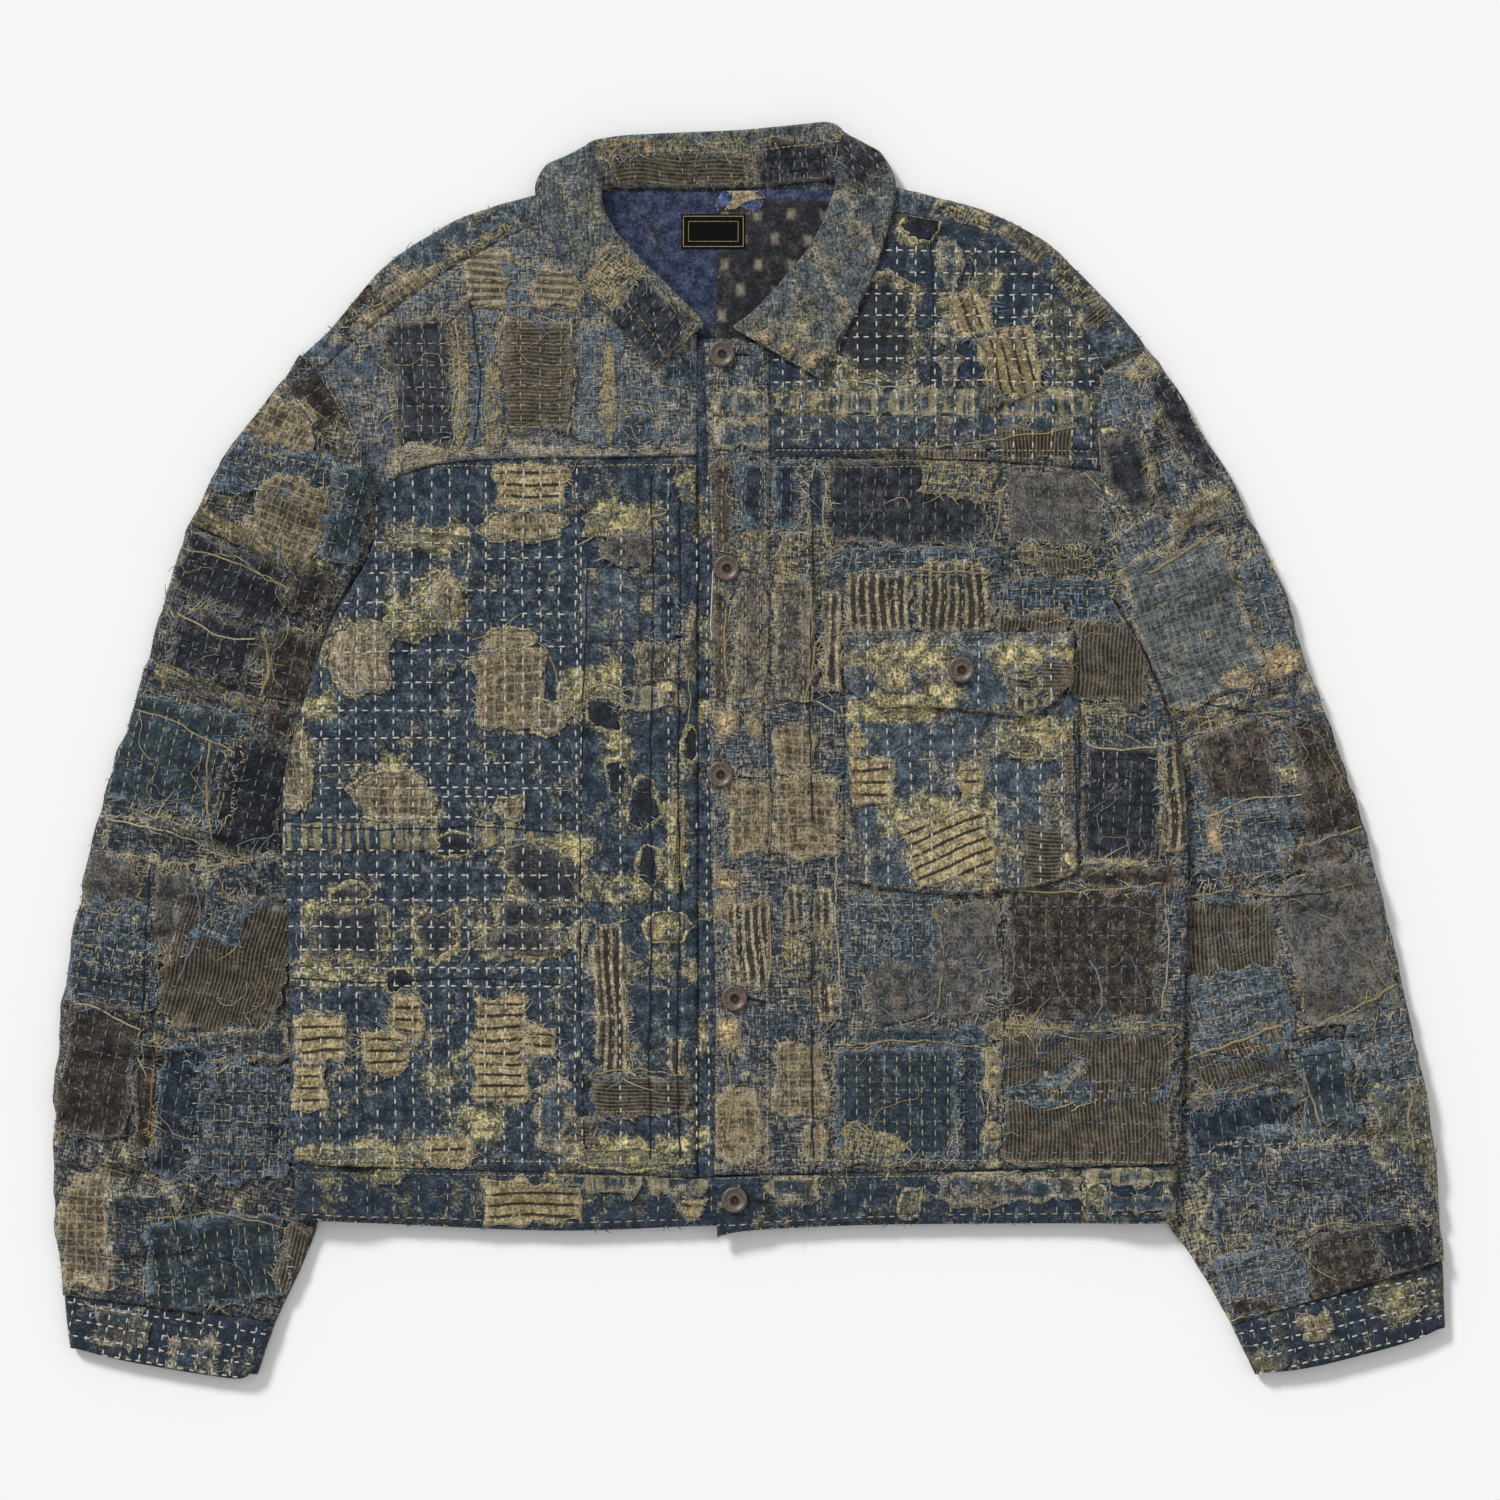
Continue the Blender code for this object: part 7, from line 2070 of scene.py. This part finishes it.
# Single rows of stitches: places on the photograph's grid, pitch, length and yarn.
STITCH_LINES = {
    "front_right": [
        (((x0, y), (x1, y + d)), 7.4, 4.2, "white") for y, x0, x1, d in (
            (543, 375, 473, 0), (559, 486, 569, -2), (573, 355, 416, 0), (591, 454, 569, 0),
            (603, 342, 441, -2), (613, 521, 569, 2), (622, 371, 521, -2), (646, 546, 570, 0),
            (653, 330, 473, -3), (683, 378, 470, 0), (711, 314, 470, 0), (739, 310, 470, -1),
            (766, 307, 582, -4), (788, 323, 572, 0), (797, 440, 530, 0), (817, 314, 480, 0),
            (849, 285, 510, 2), (874, 285, 583, 2), (900, 285, 583, 0), (926, 287, 583, 2),
            (950, 287, 583, -2), (968, 287, 583, 0), (985, 287, 583, 2),
        )
    ] + [
        (((x, y0), (x + d, y1)), 7.6, 4.2, "white") for x, y0, y1, d in (
            (581, 545, 1165, 1), (621, 500, 1165, -1), (668, 465, 1165, 1), (697, 465, 1165, 0),
        )
    ] + [
        (((287, 1160), (700, 1163)), 3.6, 2.5, "cream"),
        (((390, 466), (700, 465)), 3.6, 2.5, "cream"),
        (((594, 1078), (690, 1078)), 3.4, 2.2, "gold"),
        (((594, 1112), (690, 1112)), 3.4, 2.2, "gold"),
    ],
    "front_yoke_right": [
        (((395, 450), (700, 450)), 3.6, 2.5, "cream"),
        (((395, 458), (700, 458)), 3.6, 2.5, "gold"),
    ],
    "front_yoke_left": [
        (((775, 450), (1092, 451)), 3.6, 2.5, "cream"),
        (((775, 458), (1092, 459)), 3.6, 2.5, "gold"),
    ],
    "front_left": [
        (((775, 467), (1100, 467)), 3.6, 2.5, "gold"),
        (((1002, 905), (1002, 1020)), 3.4, 2.2, "gold"),
        (((998, 1040), (998, 1165)), 3.4, 2.2, "gold"),
        (((775, 1160), (1180, 1162)), 3.6, 2.5, "cream"),
    ],
    "placket_left": [
        (((717, 345), (711, 470), (714, 700), (716, 900), (718, 1170)), 3.6, 2.5, "gold"),
        (((763, 345), (766, 600), (767, 900), (767, 1170)), 3.6, 2.5, "cream"),
    ],
    "pocket": [
        (((855, 722), (854, 886), (895, 893), (965, 897), (1036, 891), (1070, 880), (1071, 722)),
         3.4, 2.4, "rust"),
        (((861, 722), (860, 880), (895, 887), (965, 891), (1034, 885), (1064, 875), (1065, 722)),
         3.4, 2.4, "gold"),
    ],
    "pocket_flap": [
        (((848, 637), (1068, 637)), 3.4, 2.4, "gold"),
        (((850, 645), (1066, 645)), 3.4, 2.4, "cream"),
        (((849, 640), (850, 678), (876, 700), (930, 706), (1010, 712), (1048, 704), (1068, 680),
          (1068, 640)), 3.4, 2.4, "rust"),
    ],
    "waistband": [
        (((300, 1214), (560, 1222), (705, 1219)), 7.4, 4.4, "cream"),
        (((715, 1226), (900, 1216), (1176, 1213)), 7.4, 4.4, "cream"),
        (((300, 1172), (560, 1176), (705, 1177)), 3.6, 2.5, "gold"),
        (((715, 1178), (900, 1176), (1176, 1171)), 3.6, 2.5, "gold"),
    ],
    "collar": [
        (((560, 152), (548, 200), (590, 262), (650, 330), (668, 366)), 3.8, 2.6, "gold"),
        (((884, 150), (892, 190), (870, 262), (836, 330), (812, 372)), 3.8, 2.6, "gold"),
        (((668, 366), (694, 330), (712, 300)), 3.8, 2.6, "cream"),
        (((812, 372), (776, 352), (742, 330)), 3.8, 2.6, "cream"),
        (((606, 190), (612, 160), (680, 154), (760, 150), (840, 142)), 3.8, 2.6, "cream"),
    ],
}

# Small boxes of tacking stitches on the plackets.
TACKED_BOXES = {
    "front_right": ((629, 576, 674, 591), (636, 774, 678, 792), (642, 971, 689, 989)),
    "front_left": ((776, 569, 801, 589), (783, 958, 828, 976)),
}

# Thick loose yarns: places on the photograph's grid, yarn and width in millimetres.
CORDS = {
    "front_left": (
        (((808, 580), (814, 640), (806, 702)), "gold", 1.0),
        (((992, 462), (1000, 505), (994, 545)), "gold", 0.9),
        (((776, 706), (812, 700), (836, 712)), "cream", 0.9),
        (((826, 478), (824, 520), (828, 546)), "cream", 0.8),
        (((845, 575), (900, 570), (992, 574)), "gold", 0.9),
        (((1078, 742), (1120, 750), (1184, 742)), "cream", 0.9),
        (((1160, 745), (1166, 800), (1158, 860)), "gold", 0.9),
        (((1003, 888), (1060, 892), (1162, 884)), "gold", 0.9),
        (((1164, 890), (1168, 950), (1160, 1018)), "cream", 0.9),
        (((1000, 1022), (1080, 1030), (1176, 1024)), "gold", 1.0),
        (((846, 1046), (900, 1040), (980, 1046)), "gold", 0.9),
        (((986, 1050), (990, 1100), (982, 1160)), "cream", 0.9),
        (((934, 906), (944, 960), (936, 1008)), "gold", 0.8),
        (((1090, 960), (1102, 990), (1096, 1018)), "blue", 0.9),
        (((836, 856), (836, 930), (842, 1020)), "cream", 0.9),
    ),
    "placket_left": (
        (((732, 354), (748, 355)), "black", 2.0),
        (((740, 569), (758, 571)), "black", 2.0),
        (((734, 776), (752, 778)), "black", 2.0),
        (((748, 999), (766, 1001)), "black", 2.0),
        (((730, 590), (724, 640), (732, 700)), "gold", 1.0),
        (((768, 780), (772, 830), (766, 858)), "gold", 0.9),
        (((728, 784), (726, 830), (734, 856)), "gold", 0.9),
        (((768, 905), (772, 950), (766, 990)), "cream", 0.9),
        (((728, 1050), (732, 1090), (728, 1132)), "gold", 0.9),
        (((715, 566), (706, 600), (712, 640)), "white", 0.7),
    ),
    "front_right": (
        (((688, 810), (680, 850), (686, 890)), "gold", 1.2),
        (((682, 640), (690, 690), (684, 740)), "gold", 0.7),
        (((472, 640), (500, 634), (545, 650), (560, 700)), "gold", 0.7),
        (((586, 690), (604, 684), (622, 690)), "cream", 0.9),
        (((655, 506), (668, 512), (650, 518)), "cream", 0.7),
        (((508, 848), (545, 840), (580, 850)), "gold", 0.9),
        (((595, 1074), (640, 1070), (690, 1076)), "gold", 0.9),
    ),
    "front_yoke_right": (
        (((466, 310), (520, 306), (580, 312)), "gold", 1.0),
        (((502, 318), (498, 380), (506, 432)), "gold", 0.9),
        (((570, 318), (576, 380), (568, 436)), "cream", 0.9),
        (((391, 452), (420, 456), (456, 450)), "gold", 0.9),
        (((456, 318), (460, 390), (452, 450)), "cream", 0.9),
        (((630, 424), (640, 440), (650, 424)), "blue", 0.7),
    ),
    "waistband": (
        (((748, 1200), (768, 1202)), "black", 2.2),
    ),
    "front_yoke_left": (
        (((840, 282), (880, 274), (916, 284)), "gold", 0.9),
        (((950, 292), (970, 330), (1000, 356), (1040, 396)), "gold", 0.9),
        (((920, 380), (896, 388), (850, 380)), "cream", 0.8),
        (((918, 448), (960, 444), (1076, 428)), "gold", 0.8),
    ),
    "sleeve_right": (
        (((262, 632), (270, 660), (264, 690)), "gold", 1.6),
        (((176, 612), (220, 636), (256, 640)), "cream", 0.9),
        (((128, 706), (160, 716), (236, 752)), "gold", 0.9),
        (((212, 740), (208, 800), (216, 858)), "gold", 1.1),
        (((100, 816), (160, 830), (212, 846)), "cream", 0.9),
        (((160, 1036), (152, 1100), (158, 1160)), "rust", 0.9),
        (((76, 1004), (100, 1010), (140, 1030)), "cream", 0.9),
        (((190, 870), (200, 920), (180, 980)), "blue", 0.9),
        (((150, 1218), (220, 1214), (286, 1230)), "gold", 0.9),
        (((178, 548), (230, 560), (290, 590)), "gold", 0.9),
    ),
    "sleeve_left": (
        (((1148, 573), (1180, 556), (1218, 527)), "gold", 1.2),
        (((1296, 1033), (1350, 1010), (1397, 983)), "gold", 1.4),
        (((1302, 1069), (1312, 1100), (1323, 1132)), "gold", 1.1),
        (((1200, 724), (1240, 716), (1290, 712)), "gold", 1.1),
        (((1204, 820), (1250, 800), (1300, 796)), "cream", 0.9),
        (((1278, 850), (1320, 840), (1362, 826)), "gold", 1.0),
        (((1188, 898), (1230, 890), (1278, 896)), "gold", 1.0),
        (((1186, 1060), (1240, 1040), (1290, 1020)), "gold", 1.3),
        (((1184, 1096), (1240, 1090), (1300, 1070)), "gold", 0.9),
        (((1308, 1230), (1340, 1222), (1384, 1226)), "gold", 0.9),
        (((1412, 1096), (1408, 1120), (1414, 1150)), "gold", 1.3),
    ),
}

# Painted shadows: dark cords laid down in the folds and pleats and along some edges, where shade
# falls, on the photograph's grid, and their width.
SHADOWS = {
    "front_right": (
        (((651, 476), (653, 600), (650, 760), (652, 900), (649, 1040), (651, 1158)), 1.1),
        (((679, 492), (680, 600), (678, 760), (680, 900), (677, 1040), (680, 1158)), 1.2),
        (((588, 560), (583, 700), (580, 860), (581, 1000), (584, 1150)), 0.9),
        (((292, 826), (380, 830), (470, 827), (560, 832)), 0.8),
        (((292, 978), (380, 982), (470, 978), (560, 984)), 0.8),
    ),
    "front_left": (
        (((811, 476), (813, 560), (810, 700), (812, 820)), 1.0),
        (((812, 900), (811, 1000), (813, 1158)), 1.1),
        (((1000, 900), (1004, 1000), (1002, 1150)), 0.9),
    ),
    "front_yoke_left": ((((930, 230), (934, 320), (930, 388)), 0.9),),
    "front_yoke_right": ((((470, 300), (480, 380), (474, 440)), 1.0),),
    "sleeve_right": (
        (((150, 870), (146, 960), (140, 1080), (150, 1170)), 1.2),
        (((150, 1000), (156, 1080), (146, 1160)), 1.3),
        (((196, 664), (236, 690), (290, 700)), 0.8),
    ),
    "sleeve_left": (
        (((1200, 702), (1250, 712), (1310, 722)), 0.8),
        (((1200, 890), (1250, 897), (1330, 892)), 0.8),
        (((1210, 1052), (1270, 1060), (1340, 1050)), 0.8),
    ),
    "pocket": ((((1074, 720), (1076, 800), (1078, 868)), 1.1),),
}

# Spots where the indigo is worn to yellow: box, turn and strength.
BLEACHED = {
    "front_right": (
        ((385, 532, 470, 546), 0, 0.19), ((440, 560, 470, 620), -40, 0.17),
        ((392, 606, 450, 626), 0, 0.19), ((560, 668, 620, 700), 0, 0.22),
        ((618, 686, 682, 704), 0, 0.23), ((590, 508, 650, 530), 0, 0.22),
        ((355, 758, 400, 780), 0, 0.17), ((670, 790, 684, 890), 0, 0.22),
        ((500, 836, 590, 850), 0, 0.19), ((580, 880, 690, 900), 0, 0.19),
        ((300, 1040, 560, 1090), 0, 0.09), ((310, 1146, 420, 1166), 0, 0.22),
        ((560, 1140, 690, 1166), 0, 0.20), ((440, 1100, 520, 1140), 0, 0.16),
        ((560, 960, 700, 980), 0, 0.16), ((284, 650, 330, 720), 10, 0.14),
        ((600, 740, 640, 760), 0, 0.16), ((290, 960, 380, 985), 0, 0.14),
    ),
    "placket_right": (
        ((690, 484, 704, 520), 0, 0.17), ((692, 612, 706, 650), 0, 0.18),
        ((688, 700, 704, 730), 0, 0.20), ((690, 890, 706, 920), 0, 0.17),
        ((690, 1020, 706, 1050), 0, 0.18), ((690, 1130, 706, 1150), 0, 0.16),
    ),
    "front_yoke_left": (
        ((772, 392, 1092, 410), 0, 0.19), ((940, 280, 1000, 300), 20, 0.19),
        ((800, 362, 860, 400), 0, 0.17), ((1040, 300, 1080, 380), 0, 0.14),
        ((980, 380, 1060, 400), 0, 0.17),
    ),
    "pocket": (
        ((850, 700, 930, 720), 0, 0.22), ((880, 800, 1000, 830), 0, 0.17),
        ((1000, 720, 1070, 740), 0, 0.22), ((940, 850, 1070, 884), 0, 0.16),
    ),
    "pocket_flap": (
        ((850, 646, 960, 664), 0, 0.17), ((1000, 650, 1070, 670), 0, 0.20),
        ((870, 690, 960, 706), 0, 0.16),
    ),
    "waistband": (
        ((300, 1170, 420, 1184), 0, 0.11), ((560, 1170, 700, 1180), 0, 0.11),
        ((720, 1176, 900, 1190), 0, 0.10), ((1040, 1166, 1176, 1180), 0, 0.11),
        ((470, 1206, 580, 1222), 0, 0.10),
    ),
    "cuff_right": (((120, 1300, 170, 1350), -8, 0.08), ((200, 1330, 250, 1370), -8, 0.07)),
    "cuff_left": (((1370, 1280, 1440, 1320), 14, 0.09), ((1240, 1340, 1300, 1380), 14, 0.07)),
    "collar": (((560, 200, 600, 260), -30, 0.06), ((740, 320, 830, 380), 30, 0.09)),
}

# The hidden side: a grid of patches in these kinds of cloth.
UNDER_KINDS = (
    "black", "gold_mottled", "brown", "teal_check", "blue_mottled", "grey", "brown_ribs",
    "khaki_check", "navy", "dark_beige", "fine_check", "olive", "grey_brown", "beige_lines",
)
UNDER_AREAS = {
    # box on the photograph's grid, turn, columns, rows, share of cells with a patch
    "back": ((292, 430, 1180, 1162), 0, 10, 8, 0.62),
    "back_yoke": ((320, 200, 1120, 430), 0, 9, 3, 0.6),
    "sleeve_right": ((70, 330, 400, 1310), -12, 3, 11, 0.85),
    "sleeve_left": ((1090, 330, 1440, 1310), 12, 3, 11, 0.85),
    "waistband": ((300, 1166, 1176, 1216), 0, 14, 1, 0.5),
}


def lay_patches(layers, rows):
    for kind, left, top, right, lower, turn, grain, style in rows:
        layers.add_patch(kind, (left, top, right, lower), turn, grain, style)


# Loose threads round a patch with each style of edge: side, spacing and longest. A sewn edge
# has none.
PATCH_FRAYS = {
    "frayed": (1, 1.5, 8.5),
    "hole": (-1, 1.5, 5.5),
    "worn": (1, 2.2, 6.0),
    "blob": (1, 2.2, 6.0),
}
UNDER_FRAYS = (1, 3.6, 7.0)


def fray_edges(layers):
    """Loose threads round the patches. All of them end on the cloth."""
    for shape, style in layers.outlines:
        frays = UNDER_FRAYS if layers.below else PATCH_FRAYS.get(style)
        if frays:
            layers.fringe(np.vstack([shape, shape[:1]]), *frays, past_edge=False)


SMALLEST_SEWN = 26  # narrower patches have no rows of stitches, in pixels
TACK_PITCH, TACK_LENGTH = 2.6, 1.9
YARN_BULK = 1.25  # of couched yarns, but not of the black ones


def sew_patches(layers, rows):
    for kind, left, top, right, lower, turn, _, style in rows:
        narrow = min(right - left, lower - top) < SMALLEST_SEWN
        if kind not in KIND_STITCHES or style == "hole" or narrow:
            continue
        spacing, pitch, length, colour, crossed = KIND_STITCHES[kind]
        box = (left, top, right, lower)
        layers.stitch_rows(box, spacing, True, pitch, length, colour, turn)
        if crossed:
            layers.stitch_rows(box, spacing, False, pitch, length, colour, turn)


def sew_lines(layers, node):
    for box, spacing, upright, pitch, length, colour, turn in STITCH_FIELDS.get(node, ()):
        layers.stitch_rows(box, spacing, upright, pitch, length, colour, turn, shrink=0)
    for places, pitch, length, colour in STITCH_LINES.get(node, ()):
        line = np.array([spot(*place) for place in places])
        if len(line) > 2:
            line = curve(line, steps=6) if node != "pocket" else line
        layers.stitch(line, pitch, length, colour)
    for left, top, right, lower in TACKED_BOXES.get(node, ()):
        corners = ((left, top), (right, top), (right, lower), (left, lower), (left, top))
        layers.stitch(np.array([spot(*corner) for corner in corners]), TACK_PITCH, TACK_LENGTH,
                      "gold", wander=0.1, skip=0)
    for places, colour, width in CORDS.get(node, ()):
        bulk = 1.0 if colour == "black" else YARN_BULK
        layers.cord([spot(*place) for place in places], colour, width * bulk, wander=1.2)
    # painted shadow lines, laid as dark cords in the folds and along edges
    for places, width in SHADOWS.get(node, ()):
        layers.cord([spot(*place) for place in places], "shadow", width, wander=0.8)


def under_rows(node):
    """The hidden side's patches: one to a cell of a grid, each a little out of place."""
    (left, top, right, lower), turn, columns, rows, share = UNDER_AREAS[node]
    wide, high = (right - left) / columns, (lower - top) / rows
    patches = []
    for row in range(rows):
        for column in range(columns):
            place = rng.uniform(-0.14, 0.14, 2)
            size = rng.uniform(0.78, 1.08, 2)
            kind = UNDER_KINDS[rng.integers(len(UNDER_KINDS))]
            style = ("frayed", "frayed", "worn", "blob")[rng.integers(4)]
            angle = turn + rng.uniform(-4, 4)
            if rng.uniform() > share:
                continue
            x = left + (column + 0.5 + place[0]) * wide
            y = top + (row + 0.5 + place[1]) * high
            if turn:
                x += math.tan(math.radians(turn)) * (y - (top + lower) / 2)
            half_x, half_y = wide * size[0] / 2, high * size[1] / 2
            patches.append((kind, x - half_x, y - half_y, x + half_x, y + half_y, angle, 0, style))
    return patches


# Rows of stitches on the hidden side: spacing, upright, pitch, length and colour
UNDER_STITCHES = (
    (24.0, True, 8.4, 4.6, "cream"),
    (30.0, False, 8.4, 4.6, "white"),
)

# Tape over the armpits' seams on the hidden side, in millimetres
TAPE_WIDTH = 7
ARMPIT_TAPES = (
    ((-282, 30), (-283, 45), (-272, 78), (-261, 99), (-246, 126), (-242, 143)),
    ((278, -5), (272, 15), (261, 47), (252, 68), (234, 99), (229, 125)),
)

# Loose threads strewn over the shown side: box, count and longest in millimetres
STREWN = {
    "front_left": ((780, 470, 1180, 1160), 70, 60),
    "front_right": ((290, 470, 690, 1160), 22, 40),
    "front_yoke_right": ((400, 270, 690, 455), 46, 45),
    "front_yoke_left": ((830, 220, 1090, 455), 14, 40),
    "placket_left": ((718, 470, 764, 1160), 16, 30),
    "sleeve_right": ((110, 420, 300, 1290), 84, 60),
    "sleeve_left": ((1190, 440, 1380, 1290), 84, 60),
    "collar": ((560, 150, 880, 350), 14, 30),
    "back_yoke": ((370, 210, 1080, 290), 24, 40),
}

# Loose threads along the edges of the pieces themselves: line, side, spacing and longest
EDGE_FRAYS = {
    "sleeve_right": ((SLEEVE_OUTER_RIGHT, 1, 2.4, 3.2), (ARMHOLE_RIGHT, 1, 0.8, 8.0),
                     (ARMHOLE_RIGHT, -1, 0.8, 8.0)),
    "sleeve_left": ((SLEEVE_OUTER_LEFT, -1, 2.4, 3.2), (ARMHOLE_LEFT, 1, 0.8, 8.0),
                    (ARMHOLE_LEFT, -1, 0.8, 8.0)),
    "collar": ((((-90, 399), (-60, 400), (-20, 401), (20, 403), (50, 406)), -1, 1.6, 2.2),),
    "back_yoke": ((ARMHOLE_RIGHT, -1, 1.2, 6.0), (ARMHOLE_LEFT, 1, 1.2, 6.0),
                  (SHOULDER_TOP_RIGHT, -1, 3.0, 2.4), (SHOULDER_TOP_LEFT, 1, 3.0, 2.4)),
    "front_yoke_right": ((YOKE_SEAM_RIGHT, -1, 2.4, 5.0), (SHOULDER_SEAM_RIGHT, 1, 2.4, 6.0),
                         (ARMHOLE_RIGHT, 1, 2.0, 8.0)),
    "front_yoke_left": ((YOKE_SEAM_LEFT, -1, 3.4, 4.0), (SHOULDER_SEAM_LEFT, -1, 2.6, 6.0)),
    "front_left": ((ARMHOLE_LEFT, -1, 2.0, 7.0), (SIDE_LEFT, -1, 2.6, 6.0)),
    "front_right": ((SIDE_RIGHT, 1, 4.0, 4.0),),
    "waistband": ((WAISTBAND_BOTTOM_FRONT, 1, 3.0, 3.5), (WAISTBAND_BOTTOM_OVER, -1, 3.0, 3.5)),
    "cuff_right": ((CUFF_END_RIGHT, -1, 1.8, 4.5),),
    "cuff_left": ((CUFF_END_LEFT, 1, 1.8, 4.5),),
}


def strew(layers, box, count, longest):
    """Lays thin loose threads here and there, each one wandering its own way."""
    centre, half = box_of(box)
    for _ in range(count):
        start = centre + half * rng.uniform(-1, 1, 2)
        angle = rng.uniform(0, 2 * math.pi)
        step = longest * rng.uniform(0.3, 1.0) / 4
        places = [start]
        for _ in range(4):
            angle += rng.normal(0, 0.7)
            places.append(places[-1] + step * np.array([math.cos(angle), math.sin(angle)]))
        on_cloth = layers.surface.place(np.array(places))[1].all()
        colour = ("cream", "blue", "gold", "blue", "indigo")[rng.integers(5)]
        if on_cloth:
            layers.cord(places, colour, rng.uniform(0.35, 0.6), 1.6)


def dress(node, below=False):
    """Lays patches, stitches and threads on one side of a garment piece."""
    layers = Layers(node, below)
    if below:
        rows = under_rows(node)
    else:
        rows = PATCHES.get(node, ())
        for box, turn, strength in BLEACHED.get(node, ()):
            centre, half = box_of(box)
            layers.bleach(centre, half, turn, strength, CUT_BLEACH_FALL)
    lay_patches(layers, rows)
    layers.settle()
    sew_patches(layers, rows)
    if below:
        area, turn = UNDER_AREAS[node][:2]
        for row in UNDER_STITCHES:
            layers.stitch_rows(area, *row, turn, shrink=0)
        if node == "back":
            for tape in ARMPIT_TAPES:
                layers.cord(tape, "indigo", TAPE_WIDTH, wander=0, past_edge=True)
    else:
        sew_lines(layers, node)
        if node in STREWN:
            strew(layers, *STREWN[node])
        for line, side, spacing, longest in EDGE_FRAYS.get(node, ()):
            layers.fringe(curve(line), side, spacing, longest)
    fray_edges(layers)
    return layers.finish()


# Camera, light and floor, in metres

SENSOR_WIDTH = 36  # in millimetres
VIEW_WIDTH = 0.96  # what the picture shows at the cloth's height
CLOTH_HEIGHT = 0.009
CAMERA_DISTANCE = 3.2  # above that height
CAMERA_Y = 0.0026
FLOOR_REACH = 9
PAPER_WHITE = 0.99
SKY_STRENGTH = 0.46
SUNS = (
    # name, place that it shines from, power and the angle that it fills, in degrees
    ("key", (-1.7, 2.1, 1.75), 2.4, 12),
    ("fill", (1.4, 0.6, 2.4), 0.22, 70),
)


def make_camera():
    camera = bpy.data.cameras.new("camera")
    camera.sensor_width = SENSOR_WIDTH
    camera.lens = SENSOR_WIDTH * CAMERA_DISTANCE / VIEW_WIDTH
    made = bpy.data.objects.new("camera", camera)
    made.location = (0, CAMERA_Y, CAMERA_DISTANCE + CLOTH_HEIGHT)
    bpy.context.scene.collection.objects.link(made)
    bpy.context.scene.camera = made


def make_floor():
    mesh = bpy.data.meshes.new("floor")
    corners = [(x * FLOOR_REACH, y * FLOOR_REACH, 0)
               for x, y in ((-1, -1), (1, -1), (1, 1), (-1, 1))]
    mesh.from_pydata(corners, [], [(0, 1, 2, 3)])
    floor = bpy.data.objects.new("floor", mesh)
    paper = bpy.data.materials.new("floor_paper")
    paper.use_nodes = True
    shader = paper.node_tree.nodes["Principled BSDF"]
    shader.inputs["Base Color"].default_value = (PAPER_WHITE, PAPER_WHITE, PAPER_WHITE, 1)
    shader.inputs["Roughness"].default_value = 0.9
    mesh.materials.append(paper)
    bpy.context.scene.collection.objects.link(floor)


def make_lights():
    world = bpy.data.worlds.new("studio")
    world.use_nodes = True
    world.node_tree.nodes["Background"].inputs["Color"].default_value = (1.0, 1.0, 1.0, 1)
    world.node_tree.nodes["Background"].inputs["Strength"].default_value = SKY_STRENGTH
    bpy.context.scene.world = world
    for name, place, power, angle in SUNS:
        light = bpy.data.lights.new(name, "SUN")
        light.energy = power
        light.angle = math.radians(angle)
        made = bpy.data.objects.new(name, light)
        made.location = place
        made.rotation_euler = (-Vector(place)).to_track_quat("-Z", "Y").to_euler()
        bpy.context.scene.collection.objects.link(made)
    bpy.context.scene.view_settings.view_transform = "Standard"


make_camera()
make_floor()
make_lights()
make_back()
make_back_yoke()
make_fronts()
make_front_yokes()
make_sleeves()
make_cuffs()
make_plackets()
make_waistband()
make_collar()
make_pocket_and_flap()
make_lining()
make_buttons()
make_label()

for node, piece in SHELLS.items():
    piece["extras"] += dress(node)
    if node in UNDER_AREAS:
        piece["extras"] += dress(node, below=True)
